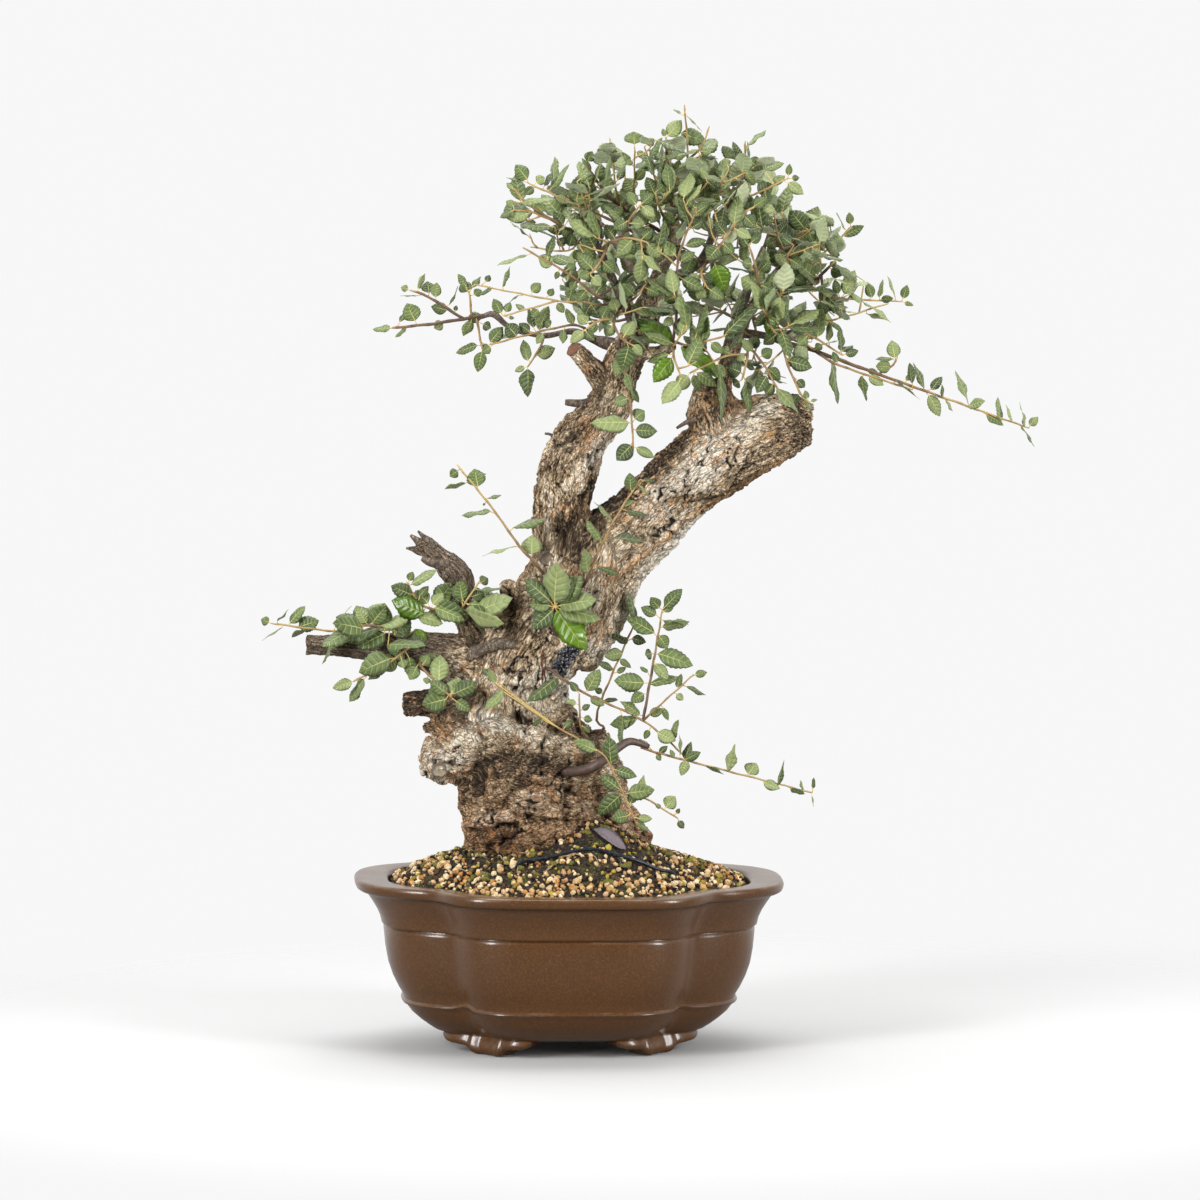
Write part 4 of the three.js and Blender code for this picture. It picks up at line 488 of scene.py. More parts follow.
        (1.6, 0.8, (182, 743, 75), (188, 762, 82), (190, 784, 84), (186, 802, 82)),
        (1.3, 0.8, (186, 752, 79), (206, 758, 88), (222, 762, 90)),
    ]),
    "spray_back_right": dict(ruled=2, stems=[
        (1.6, 0.8, (170, 714, 58), (190, 708, 76), (232, 704, 94)),
        (1.3, 0.8, (182, 710, 70), (180, 694, 92), (172, 682, 106)),
    ]),
    "spray_back_right_low": dict(ruled=2, stems=[
        (1.6, 0.8, (160, 684, 40), (206, 660, 58), (228, 650, 62)),
        (1.3, 0.8, (170, 678, 45), (176, 656, 66), (172, 640, 76)),
    ]),
    "spray_inner_right": dict(ruled=3, stems=[
        (1.6, 0.8, (188, 712, 4), (196, 722, 26), (206, 740, 38), (212, 756, 42)),
    ]),
    "spray_inner_middle": dict(ruled=3, stems=[
        (1.6, 0.8, (160, 674, 8), (140, 684, 28), (122, 690, 36)),
    ]),
    "spray_inner_left": dict(ruled=3, stems=[
        (1.6, 0.8, (72, 682, 4), (54, 676, 26), (34, 674, 38), (14, 678, 46)),
    ]),
    "spray_inner_high": dict(ruled=2, stems=[
        (1.6, 0.8, (80, 708, 8), (66, 716, 14), (58, 730, 20), (56, 748, 24)),
    ]),
    "spray_inner_top": dict(ruled=2, stems=[
        (1.6, 0.8, (144, 773, -16), (150, 786, 8), (154, 802, 20), (156, 822, 24)),
        (1.3, 0.8, (134, 753, -14), (146, 744, 12), (162, 742, 24)),
    ]),
    "stub_spray_far": dict(stems=[
        (1.5, 0.8, (-150, 374, -20), (-158, 388, -32), (-190, 391, -36), (-215, 386, -38), (-275, 393, -32)),
    ], leaves=[
        (-275, 393, -285, 397, 7), (-260, 391, -246, 410, 9), (-253, 389, -232, 396, 12),
        (-190, 391, -212, 403, 9), (-186, 391, -196, 407, 12), (-184, 391, -170, 409, 15),
        (-172, 390, -214, 379, 10), (-178, 391, -148, 400, 9), (-164, 388, -147, 391, 12),
    ], more=[
        (-263, 391, -284, 378, 2), (-272, 393, -259, 406, 2), (-243, 388, -257, 380, 4),
        (-218, 387, -204, 411, 5), (-214, 387, -205, 400, 6), (-214, 386, -230, 356, 4),
        (-160, 386, -172, 398, 11),
    ], overlapping=[
        (-184, 388, -197, 410, 18), (-180, 390, -171, 412, 19), (-176, 386, -146, 399, 12),
        (-162, 382, -147, 399, 15), (-142, 388, -136, 369, 12), (-168, 373, -135, 377, 9),
        (-190, 388, -214, 396, 14), (-200, 387, -226, 376, 12), (-170, 384, -196, 372, 13),
        (-232, 388, -252, 397, 10),
    ]),
    "stub_spray_under": dict(stems=[
        (1.4, 0.8, (-134, 366, -16), (-142, 374, -32), (-165, 358, -40), (-200, 339, -40)),
    ], leaves=[
        (-146, 371, -134, 380, 13), (-166, 358, -191, 350, 17), (-188, 344, -204, 321, 8),
    ], more=[
        (-152, 365, -167, 371, 12), (-156, 362, -152, 352, 9), (-170, 355, -188, 342, 9),
        (-198, 340, -218, 333, 10), (-150, 368, -137, 377, 9),
    ], overlapping=[
        (-162, 362, -192, 350, 20), (-150, 368, -168, 358, 15), (-148, 362, -144, 341, 12),
        (-158, 362, -176, 350, 14),
    ]),
    "stub_spray_rosette": dict(stems=[
        (1.4, 0.9, (-122, 362, -18), (-138, 357, -40), (-126, 342, -46), (-108, 324, -48)),
    ], leaves=[
        (-139, 356, -147, 341, 10), (-120, 337, -120, 364, 16), (-110, 326, -128, 340, 11),
        (-108, 327, -85, 338, 14), (-110, 324, -136, 317, 17), (-107, 323, -91, 312, 10),
    ], more=[
        (-136, 353, -130, 363, 12), (-130, 346, -132, 337, 6),
    ], overlapping=[
        (-136, 352, -124, 366, 13), (-112, 330, -130, 330, 14), (-110, 326, -100, 342, 13),
    ]),
    "stub_spray_front": dict(stems=[
        (1.5, 0.8, (-93, 402, -6), (-106, 404, -26), (-136, 410, -38), (-150, 432, -40)),
        (1.1, 0.7, (-100, 403, -20), (-96, 412, -34), (-82, 433, -38)),
    ], leaves=[
        (-136, 410, -155, 417, 15), (-134, 409, -152, 402, 14), (-148, 428, -122, 444, 9),
        (-127, 409, -96, 398, 12), (-104, 404, -116, 428, 12), (-96, 411, -58, 411, 14),
        (-98, 406, -64, 388, 9),
    ], more=[
        (-140, 414, -161, 427, 9), (-146, 421, -165, 415, 6), (-149, 430, -144, 441, 6),
        (-128, 409, -116, 421, 10), (-140, 416, -130, 428, 7), (-98, 409, -102, 432, 10),
        (-84, 429, -75, 435, 9), (-87, 424, -63, 426, 2), (-92, 417, -78, 422, 12),
        (-108, 404, -100, 392, 8), (-138, 411, -150, 398, 8),
    ], overlapping=[
        (-134, 402, -160, 414, 20), (-146, 420, -162, 427, 12), (-122, 412, -108, 430, 16),
        (-122, 411, -94, 396, 14), (-98, 412, -101, 432, 14), (-90, 402, -58, 417, 18),
        (-85, 405, -75, 425, 16), (-92, 402, -64, 387, 12), (-140, 400, -116, 396, 9),
        (-128, 410, -142, 424, 12), (-118, 406, -132, 396, 10),
    ]),
    "trunk_spray_rosette": dict(stems=[
        (1.6, 1.2, (-11, 402, -34), (-13, 409, -58)),
    ], leaves=[
        (-14, 411, -39, 434, 14), (-13, 413, -11, 446, 18), (-11, 411, 10, 437, 14), (-11, 409, 25, 417, 11),
        (-11, 407, 30, 401, 14), (-14, 406, -33, 388, 14), (-11, 405, 15, 368, 20),
    ], more=[
        (-14, 409, -36, 412, 9), (-8, 406, 32, 404, 6),
    ], overlapping=[
        (-12, 408, -34, 398, 12), (-12, 412, -2, 438, 15),
    ]),
    "trunk_shoot_left": dict(stems=[
        (1.5, 0.8, (-20, 434, -24), (-30, 448, -40), (-45, 464, -46), (-70, 499, -48), (-103, 540, -42)),
    ], leaves=[
        (-34, 454, -34, 475, 17), (-54, 481, -22, 493, 5), (-69, 497, -99, 495, 5), (-83, 517, -87, 536, 16),
    ], more=[
        (-45, 465, -80, 460, 3), (-78, 508, -62, 512, 2), (-76, 506, -79, 502, 2), (-92, 524, -114, 515, 4),
        (-95, 530, -76, 534, 4), (-100, 536, -110, 529, 9),
    ]),
    "trunk_shoot_right": dict(stems=[
        (1.4, 0.8, (12, 424, -34), (17, 434, -50), (22, 447, -54), (42, 488, -58), (66, 526, -58)),
    ], leaves=[
        (18, 440, 15, 462, 11), (32, 467, 18, 489, 6), (50, 498, 75, 494, 7), (58, 513, 56, 531, 10),
    ], more=[
        (24, 447, 46, 439, 5), (34, 472, 72, 473, 3), (42, 486, 26, 507, 4), (66, 525, 80, 526, 5),
        (64, 522, 78, 510, 4), (48, 500, 60, 508, 4),
    ]),
    "trunk_spray_low_right": dict(stems=[
        (1.5, 0.8, (-30, 356, -30), (-15, 349, -50), (0, 338, -54), (20, 326, -54), (69, 303, -46),
         (108, 270, -34)),
        (1.3, 0.7, (69, 303, -46), (80, 365, -34), (87, 406, -32)),
        (1.0, 0.7, (70, 303, -46), (85, 318, -56), (116, 346, -58)),
    ], leaves=[
        (-8, 345, -38, 323, 10), (16, 328, 28, 351, 14), (66, 305, 38, 300, 10), (68, 306, 50, 323, 9),
        (73, 338, 43, 339, 17), (73, 336, 104, 347, 10), (78, 358, 92, 343, 10), (80, 366, 115, 356, 14),
        (82, 383, 53, 400, 13), (82, 384, 92, 370, 13), (84, 390, 112, 392, 9), (87, 406, 105, 425, 11),
        (80, 293, 99, 284, 13),
    ], more=[
        (-22, 354, -34, 356, 7), (-12, 348, -16, 332, 5), (18, 327, 33, 317, 7), (30, 322, 46, 321, 6),
        (50, 311, 50, 284, 5), (72, 330, 58, 320, 11), (76, 346, 66, 353, 4), (80, 366, 71, 364, 9),
        (81, 375, 90, 366, 9), (85, 396, 111, 396, 2), (86, 402, 98, 413, 8), (84, 400, 67, 408, 9),
        (86, 405, 76, 417, 10), (72, 308, 88, 313, 8), (86, 318, 92, 303, 6), (98, 330, 106, 322, 6),
        (106, 336, 128, 329, 5), (114, 345, 128, 348, 7), (94, 282, 100, 304, 7), (76, 297, 70, 286, 6),
        (100, 331, 104, 347, 6),
    ]),
    "trunk_spray_side": dict(stems=[
        (1.4, 0.8, (20, 290, -8), (33, 296, -14), (27, 312, -18), (64, 400, -20)),
    ], leaves=[
        (60, 390, 53, 409, 10), (62, 396, 58, 422, 9), (64, 400, 84, 424, 7), (50, 366, 34, 362, 12),
    ], more=[
        (54, 374, 40, 382, 6), (56, 380, 72, 376, 8), (44, 350, 28, 357, 6), (42, 346, 53, 352, 5),
        (48, 360, 58, 352, 6), (34, 328, 24, 332, 6), (28, 312, 18, 308, 6),
    ]),
    "trunk_sprig": dict(stems=[
        (1.2, 0.8, (10, 287, -38), (18, 286, -54), (11, 299, -68), (10, 328, -72)),
    ], leaves=[
        (11, 306, 22, 304, 7), (10, 328, 2, 340, 6),
    ], more=[
        (12, 300, 20, 292, 6), (10, 318, -2, 322, 6), (10, 312, 20, 318, 5),
    ]),
    "branch_spray_right": dict(stems=[
        (1.3, 0.7, (72, 280, -53), (80, 274, -52), (226, 236, -38)),
    ], leaves=[
        (110, 266, 104, 252, 9), (108, 267, 122, 274, 9), (108, 267, 112, 284, 7), (147, 256, 151, 281, 8),
        (165, 251, 174, 264, 14), (178, 247, 196, 240, 9), (194, 243, 198, 267, 5), (76, 277, 66, 288, 6),
    ], more=[
        (103, 268, 105, 290, 3), (98, 269, 94, 276, 4), (80, 274, 86, 266, 5), (203, 241, 219, 234, 5),
        (218, 238, 215, 248, 3), (226, 237, 227, 250, 3), (225, 236, 228, 223, 2), (125, 262, 143, 251, 3),
        (84, 273, 92, 280, 6),
    ]),
    "trunk_spray_low_front": dict(stems=[
        (1.0, 0.7, (-74, 346, -26), (-62, 332, -44), (-25, 306, -58), (28, 275, -84), (39, 261, -84),
         (62, 210, -80)),
        (1.0, 0.7, (52, 234, -82), (68, 233, -78), (101, 213, -70)),
    ], leaves=[
        (-60, 331, -78, 313, 10), (28, 275, 5, 285, 11), (40, 260, 36, 288, 12), (41, 259, 63, 252, 11),
        (50, 238, 30, 253, 12), (50, 237, 27, 215, 16), (52, 236, 79, 240, 14), (88, 221, 99, 233, 14),
    ], more=[
        (-73, 345, -80, 352, 5), (-68, 338, -74, 350, 7), (-52, 325, -50, 345, 6), (33, 270, 43, 290, 9),
        (66, 234, 71, 253, 6), (56, 224, 62, 240, 9), (58, 216, 40, 213, 12), (61, 213, 77, 213, 8),
        (61, 211, 75, 202, 6), (88, 221, 80, 226, 4), (100, 213, 107, 203, 6), (98, 215, 103, 222, 4),
        (-24, 305, -34, 298, 5), (-6, 295, 4, 304, 6),
    ]),
}

# The few older leaves that are still glossy and bright green
GLOSSY_LEAVES = {
    (134, 726, 145, 698, 21), (97, 650, 64, 677, 17), (104, 648, 146, 623, 17), (97, 640, 78, 616, 16),
    (-11, 405, 15, 368, 20), (184, 682, 190, 654, 10), (-142, 388, -136, 369, 12),
    (-134, 402, -160, 414, 20),
}

# Leaves: the plain outline that keeps them apart, and how they are tried
TOOTHED_EDGE = [(0.24, 0.82), (0.4, 0.66), (0.56, 0.98), (1, 0), (0.6, -0.94), (0.43, -0.64), (0.27, -0.86)]
PLAIN_EDGE = [(0.26, 0.88), (0.6, 0.92), (1, 0), (0.64, -0.88), (0.3, -0.94)]
TOOTHED_FROM = 21
TIP_DROP = 0.07
LEAST_PETIOLE = 3
WIDEST = 20
LEAF_WIDTH_SHARE = (0.46, 0.58)
STEM_CLEARANCE = 0.8
TILT_TRIES = (0, 0.3, -0.3, 0.6, -0.6, 0.95, -0.95, 1.3, -1.3)
TURN_TRIES = 9

# Clearances between leaves of one spray, and to everything else
ROOMY = (0.7, 1.9)
CLOSE = (0.35, 0.7)

# Leaves set by rule: the shortest and how much longer, the width as a share of the length, the
# turn from one to the next and from one try to the next, and the bare and the leafy share of a stem
RULED_LENGTH = (21, 11)
RULED_WIDTH = 0.54
LEAF_TURN = 2.4
TRY_TURN = 0.7
LEAF_SPAN = (0.18, 0.82)


# A seeded sequence of numbers from 0 to 1
def sequence(seed):
    word = 0xFFFFFFFF
    state = int(seed) & word

    def draw():
        nonlocal state
        state = (state + 0x6D2B79F5) & word
        mixed = ((state ^ (state >> 15)) * (1 | state)) & word
        mixed = ((mixed + (((mixed ^ (mixed >> 7)) * (61 | mixed)) & word)) & word) ^ mixed
        return (mixed ^ (mixed >> 14)) / (word + 1)

    return draw


# A point of the front view, x across, h up and y away from the viewer, as a point of the model
def seen(x, h, y):
    return Vector((x, y, (h - y * VIEW_SIN) / VIEW_COS))


# Straight pieces of every limb, used to keep leaves out of the wood
def wood_pieces():
    rows = []
    for route in WOOD.values():
        for start, end in zip(route, route[1:]):
            rows.append([*seen(*start[:3]), *seen(*end[:3]), start[3], end[3]])
    return np.array(rows)


WOOD_ROWS = wood_pieces()
WOOD_FROM = WOOD_ROWS[:, :3]
WOOD_WAY = WOOD_ROWS[:, 3:6] - WOOD_FROM
WOOD_SQUARE = (WOOD_WAY ** 2).sum(1)
WOOD_RADIUS = WOOD_ROWS[:, 6]
WOOD_TAPER = WOOD_ROWS[:, 7] - WOOD_ROWS[:, 6]
BARK_SHARE = 1.06


def inside_wood(point, clearance):
    p = np.array(point)
    share = np.clip(((p - WOOD_FROM) * WOOD_WAY).sum(1) / WOOD_SQUARE, 0, 1)
    away = np.sqrt(((WOOD_FROM + WOOD_WAY * share[:, None] - p) ** 2).sum(1))
    return bool((away < (WOOD_RADIUS + WOOD_TAPER * share) * BARK_SHARE + clearance).any())


def nearest_on_piece(point, start, end):
    near, share = intersect_point_line(point, start, end)
    if share <= 0:
        return start
    return end if share >= 1 else near


# One leaf: its petiole's root, its blade and the way that its face looks
class Leaf:
    def __init__(self, root, base, tip, width, face, spray, glossy=False):
        self.root = root
        self.base = base
        self.tip = tip
        self.width = width
        self.spray = spray
        self.glossy = glossy
        self.length = (tip - base).length
        self.along = (tip - base).normalized()
        self.up = (face - self.along * face.dot(self.along)).normalized()
        self.across = self.up.cross(self.along)
        self.middle = self.point(0.5, 0)
        edge = TOOTHED_EDGE if self.length > TOOTHED_FROM else PLAIN_EDGE
        outline = [root] + [self.point(share, side, TIP_DROP * share ** 2) for share, side in edge]
        self.edges = list(zip(outline, outline[1:] + outline[:1])) + [(root, tip)]

    def point(self, share, side, drop=0):
        half = self.width / 2
        return (self.base + self.along * (self.length * share) + self.across * (half * side)
                - self.up * (self.length * drop))


# Whether a straight piece comes within reach of a blade, taken as a flat ellipse
def piece_meets_blade(start, end, blade, reach):
    half_long = blade.length / 2 + reach
    half_wide = blade.width / 2 + reach

    def inside(a, b):
        return (a / half_long) ** 2 + (b / half_wide) ** 2 < 1

    p = start - blade.middle
    q = end - blade.middle
    p_up = p.dot(blade.up)
    q_up = q.dot(blade.up)
    crosses = p_up * q_up < 0
    if not crosses and abs(p_up) >= reach and abs(q_up) >= reach:
        return False
    p_flat = (p.dot(blade.along), p.dot(blade.across))
    q_flat = (q.dot(blade.along), q.dot(blade.across))
    if crosses:
        share = p_up / (p_up - q_up)
        if inside(p_flat[0] + (q_flat[0] - p_flat[0]) * share, p_flat[1] + (q_flat[1] - p_flat[1]) * share):
            return True
    return (abs(p_up) < reach and inside(*p_flat)) or (abs(q_up) < reach and inside(*q_flat))


def blades_meet(one, two, reach):
    if (one.middle - two.middle).length > (one.length + two.length) / 2 + 4:
        return False
    return (any(piece_meets_blade(a, b, two, reach) for a, b in one.edges)
            or any(piece_meets_blade(a, b, one, reach) for a, b in two.edges))


# The point of some straight pieces, clear of the wood, that has the least distance
def nearest_clear(pieces, distance_to, steps=12):
    best = math.inf
    found = None
    for piece in pieces:
        for i in range(steps + 1):
            point = piece["from"].lerp(piece["to"], i / steps)
            away = distance_to(point)
            if away < best and not inside_wood(point, STEM_CLEARANCE):
                best = away
                found = point
    return found


# A stem is a list of points with a radius at each and straight pieces between them
def add_stem(spray, points, radii, stems, pieces):
    stems.append({"points": points, "radii": radii})
    for i in range(len(points) - 1):
        pieces.append({"spray": spray, "from": points[i], "to": points[i + 1], "radius": radii[i],
                       "middle": points[i].lerp(points[i + 1], 0.5),
                       "long": (points[i + 1] - points[i]).length})


# The first stem of a spray grows from the wood, the rest from the spray
def stem_routes(name, picked_stems):
    stems = []
    pieces = []
    for first, last, *route in picked_stems:
        points = [seen(*p) for p in route]
        if pieces:
            start = points[0]
            points[0] = nearest_clear(pieces, lambda p: (p - start).length)
        steps = len(points) - 1
        radii = [first + (last - first) * i / steps for i in range(len(points))]
        add_stem(name, points, radii, stems, pieces)
    return stems, pieces


STEMS = {}
PIECES = {}
for name, spray in SPRAYS.items():
    STEMS[name], PIECES[name] = stem_routes(name, spray["stems"])
ALL_PIECES = [piece for pieces in PIECES.values() for piece in pieces]


# The gap between the straight pieces a to b and c to d
def piece_gap(a, b, c, d, steps=6):
    points = (a.lerp(b, i / steps) for i in range(steps + 1))
    return min((nearest_on_piece(p, c, d) - p).length for p in points)


# A leaf is clear when it crosses no wood, no other spray's stem and no other leaf
def is_clear(leaf, room):
    own_reach, reach = room
    checks = (leaf.point(0.12, 0), leaf.point(0.5, 0.6), leaf.point(0.5, -0.6), leaf.tip)
    if any(inside_wood(p, reach) for p in checks):
        return False
    for piece in ALL_PIECES:
        if piece["spray"] == leaf.spray:
            continue
        if (piece["middle"] - leaf.middle).length >= leaf.length + piece["long"] / 2 + 4:
            continue
        start, end, radius = piece["from"], piece["to"], piece["radius"]
        if piece_meets_blade(start, end, leaf, radius + reach - 0.5):
            return False
        if piece_gap(leaf.root, leaf.base, start, end) < radius + reach:
            return False
    for other in PLACED:
        if (other.middle - leaf.middle).length >= leaf.length + other.length:
            continue
        own = other.spray == leaf.spray
        if blades_meet(leaf, other, own_reach if own else reach):
            return False
        if own:
            continue
        if (piece_meets_blade(leaf.root, leaf.base, other, reach)
                or piece_meets_blade(other.root, other.base, leaf, reach)
                or piece_gap(leaf.root, leaf.base, other.root, other.base) < reach):
            return False
    return True


# A leaf picked on the front view: tries several tilts in depth until it is clear
def picked_leaf(name, pick, room, overlapping=False):
    base_x, base_h, tip_x, tip_h, seen_width = pick
    random = sequence(abs(base_x + 7919 * tip_x + 104729 * tip_h))

    def away(p):
        return math.hypot(p.x - base_x, p.z * VIEW_COS + p.y * VIEW_SIN - base_h)

    root = nearest_clear(PIECES[name], away)
    seen_length = math.hypot(tip_x - base_x, tip_h - base_h)
    lean = (random() - 0.5) * 0.7
    width_share = LEAF_WIDTH_SHARE[0] + (LEAF_WIDTH_SHARE[1] - LEAF_WIDTH_SHARE[0]) * random()
    flip = -1 if random() < 0.15 else 1
    inset = min(LEAST_PETIOLE / seen_length, 0.4) if away(root) < LEAST_PETIOLE else 0
    start_x = base_x + (tip_x - base_x) * inset
    start_h = base_h + (tip_h - base_h) * inset
    tried = []
    for change in TILT_TRIES:
        slope = lean + change
        base = seen(start_x, start_h, root.y + slope * LEAST_PETIOLE)
        tip = seen(tip_x, tip_h, base.y + slope * seen_length * (1 - inset))
        length = (tip - base).length
        width = max(seen_width, min(width_share * length, WIDEST))
        along = (tip - base).normalized()
        facing = (TOWARD_VIEWER - along * TOWARD_VIEWER.dot(along)).normalized()
        sideways = along.cross(facing)
        roll = math.acos(min(1, seen_width / width)) * (1 if sideways.z > 0 else -1) * flip
        face = facing * math.cos(roll) + sideways * math.sin(roll)
        leaf = Leaf(root, base, tip, width, face, name, glossy=pick in GLOSSY_LEAVES)
        if is_clear(leaf, room):
            return leaf
        tried.append(leaf)
    return tried[math.floor(5 * random())] if overlapping else None


# Leaves set in a spiral along stems, most of them in the outer part
def spiral_leaves(name, stems, count, seed, room, accept=None):
    leaves = []
    random = sequence(seed)
    for stem in stems:
        points = stem["points"]
        for i in range(count):
            share = (LEAF_SPAN[0] + LEAF_SPAN[1] * (i + 1) / count) * (len(points) - 1) * 0.999
            piece = min(math.floor(share), len(points) - 2)
            root = points[piece].lerp(points[piece + 1], min(share - piece, 1))
            along = (points[piece + 1] - points[piece]).normalized()
            length = RULED_LENGTH[0] + RULED_LENGTH[1] * random()
            spread = 0.75 + 0.45 * random()
            twist = random() * 0.8 - 0.4
            for turn in range(TURN_TRIES):
                angle = LEAF_TURN * i + TRY_TURN * turn
                out = Vector((math.cos(angle), 0, math.sin(angle))).cross(along).normalized()
                out.rotate(Quaternion(along, angle))
                way = along * math.cos(spread) + out * math.sin(spread)
                base = root + way * LEAST_PETIOLE
                tip = base + way * length
                face = Vector((0, 0, 1)) - out * 0.6
                face.rotate(Quaternion(way, twist))
                leaf = Leaf(root, base, tip, length * RULED_WIDTH, face, name)
                if inside_wood(root, STEM_CLEARANCE) or (accept and not accept(leaf)):
                    continue
                if is_clear(leaf, room):
                    PLACED.append(leaf)
                    leaves.append(leaf)
                    break
    return leaves


def place_picked(name, picks, room, overlapping=False):
    for pick in picks:
        leaf = picked_leaf(name, pick, room, overlapping)
        if leaf:
            PLACED.append(leaf)


# First the leaves that the solids have too, in the same order, then the picked rest
PLACED = []
for number, (name, spray) in enumerate(SPRAYS.items()):
    place_picked(name, spray.get("leaves", []), ROOMY)
    if "ruled" in spray:
        spiral_leaves(name, STEMS[name], spray["ruled"], 101 + number, ROOMY)
for name, spray in SPRAYS.items():
    place_picked(name, spray.get("more", []), CLOSE)

# The dense crown as seen from the front, and how far it reaches in depth
CROWN_EDGE = [
    (-48, 740), (-60, 782), (-52, 808), (0, 822), (28, 836), (66, 846), (104, 862), (132, 846), (172, 838),
    (206, 812), (206, 786), (248, 768), (262, 748), (250, 724), (290, 706), (280, 684), (246, 672),
    (238, 652), (214, 626), (188, 606), (152, 610), (122, 626), (84, 628), (60, 654), (30, 660), (-6, 668),
    (-34, 684), (-8, 706),
]
CROWN_DEPTH = (-70, 122)
CROWN_STARTS = tuple("spray_" + part for part in ("top", "crown", "right", "back", "inner", "front"))
TWIGLET_SPACING = 17
TWIGLET_RADII = [0.85, 0.7, 0.55]


def in_crown(p):
    x = p.x
    h = p.z * VIEW_COS + p.y * VIEW_SIN
    inside = False
    for (ax, ah), (bx, bh) in zip(CROWN_EDGE, CROWN_EDGE[1:] + CROWN_EDGE[:1]):
        if (ah > h) != (bh > h) and x < ax + (bx - ax) * (h - ah) / (bh - ah):
            inside = not inside
    return inside and CROWN_DEPTH[0] < p.y < CROWN_DEPTH[1]


# Whether a twiglet from root over middle to end would run through a placed leaf
def runs_through_leaf(root, middle, end, long):
    for leaf in PLACED:
        if (leaf.middle - middle).length >= leaf.length + long:
            continue
        if piece_meets_blade(root, middle, leaf, 1.2) or piece_meets_blade(middle, end, leaf, 1.2):
            return True
    return False


# Twiglets that fill the crown, set along its stems
def crown_twiglets(name, points, seed):
    random = sequence(seed)
    for a, b in zip(points, points[1:]):
        steps = max(1, round((b - a).length / TWIGLET_SPACING))
        along = (b - a).normalized()
        for i in range(steps):
            root = a.lerp(b, (i + 0.2 + 0.6 * random()) / steps)
            angle = random() * 2 * math.pi
            out = along.orthogonal().normalized()
            out.rotate(Quaternion(along, angle))
            way = (along * (0.35 + 0.5 * random()) + out + Vector((0, 0, 0.25))).normalized()
            bend = Vector((random() - 0.5, random() - 0.5, random() * 0.6)) * 0.5
            long = 16 + 22 * random()
            leaf_seed = random() * 1e6
            middle = root + way * long * 0.5
            end = middle + (way + bend).normalized() * long * 0.5
            in_wood = inside_wood(root, STEM_CLEARANCE) or inside_wood(middle, 2) or inside_wood(end, 3)
            if in_wood or not (in_crown(middle) and in_crown(end)):
                continue
            if runs_through_leaf(root, middle, end, long):
                continue
            stem = {"points": [root, middle, end]}
            leaves = spiral_leaves(name, [stem], 3 + round(2 * random()), leaf_seed, CLOSE,
                                   lambda leaf: in_crown(leaf.tip))
            if leaves:
                add_stem(name, stem["points"], TWIGLET_RADII, STEMS[name], PIECES[name])
                ALL_PIECES.extend(PIECES[name][-2:])


CROWN_SPRAYS = [name for name in SPRAYS if name.startswith(CROWN_STARTS)]
for number, name in enumerate(CROWN_SPRAYS):
    for count, stem in enumerate(list(STEMS[name])):
        crown_twiglets(name, stem["points"], 700 + 10 * number + count)

# Last the leaves that overlap their neighbours in the dense clusters
for name, spray in SPRAYS.items():
    place_picked(name, spray.get("overlapping", []), CLOSE, overlapping=True)


def add_object(name, data):
    made = bpy.data.objects.new(name, data)
    bpy.context.scene.collection.objects.link(made)
    return made


# The mesh that a piece has once its modifiers are applied
def worked_mesh(piece):
    return bpy.data.meshes.new_from_object(piece.evaluated_get(bpy.context.evaluated_depsgraph_get()))


def write_values(mesh, values):
    for key, data in values.items():
        layer = mesh.attributes.new(key, "FLOAT", "POINT")
        layer.data.foreach_set("value", np.asarray(data, np.float32))


# Meshes: a piece is made from points in millimetres and faces
def add_mesh(name, points, faces, materials=(), face_material=None, smooth=True, values=None, uv=None):
    mesh = bpy.data.meshes.new(name)
    placed = np.asarray(points, float) * MM + POT_MIDDLE
    mesh.from_pydata(placed.tolist(), [], [tuple(map(int, f)) for f in faces])
    for material in materials:
        mesh.materials.append(material)
    if face_material is not None:
        mesh.polygons.foreach_set("material_index", np.asarray(face_material, np.int32))
    mesh.polygons.foreach_set("use_smooth", np.full(len(mesh.polygons), smooth))
    write_values(mesh, values or {})
    if uv is not None:
        corner = np.zeros(len(mesh.loops), np.int32)
        mesh.loops.foreach_get("vertex_index", corner)
        layer = mesh.uv_layers.new(name="blade")
        layer.data.foreach_set("uv", np.asarray(uv, np.float32)[corner].ravel())
    mesh.update()
    return add_object(name, mesh)


def finish_piece(piece, node):
    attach(piece, "root")
    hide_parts(node)


# Gathers several closed shapes into one mesh
class Gather:
    def __init__(self):
        self.points = []
        self.faces = []
        self.kinds = []
        self.values = {}
        self.uv = []
        self.count = 0

    def add(self, points, faces, kind=0, uv=None, **values):
        points = np.asarray(points, float)
        size = len(points)
        self.points.append(points)
        self.faces.extend([tuple(i + self.count for i in face) for face in faces])
        self.kinds.extend([kind] * len(faces) if np.isscalar(kind) else list(kind))
        self.uv.append(np.zeros((size, 2)) if uv is None else uv)
        for key, value in values.items():
            self.values.setdefault(key, []).append(np.broadcast_to(np.asarray(value, float), (size,)))
        self.count += size

    def add_tube(self, samples, sizes, sides, kind=0, waver=None, **values):
        self.add(tube_points(samples, sizes, sides, waver), tube_faces(len(samples), sides), kind, **values)

    def piece(self, name, materials=(), smooth=True):
        values = {key: np.concatenate(parts) for key, parts in self.values.items()}
        return add_mesh(name, np.concatenate(self.points), self.faces, materials, self.kinds, smooth, values,
                        np.concatenate(self.uv))


# The angles of even steps round a ring
def round_angles(sides):
    return 2 * math.pi * np.arange(sides) / sides


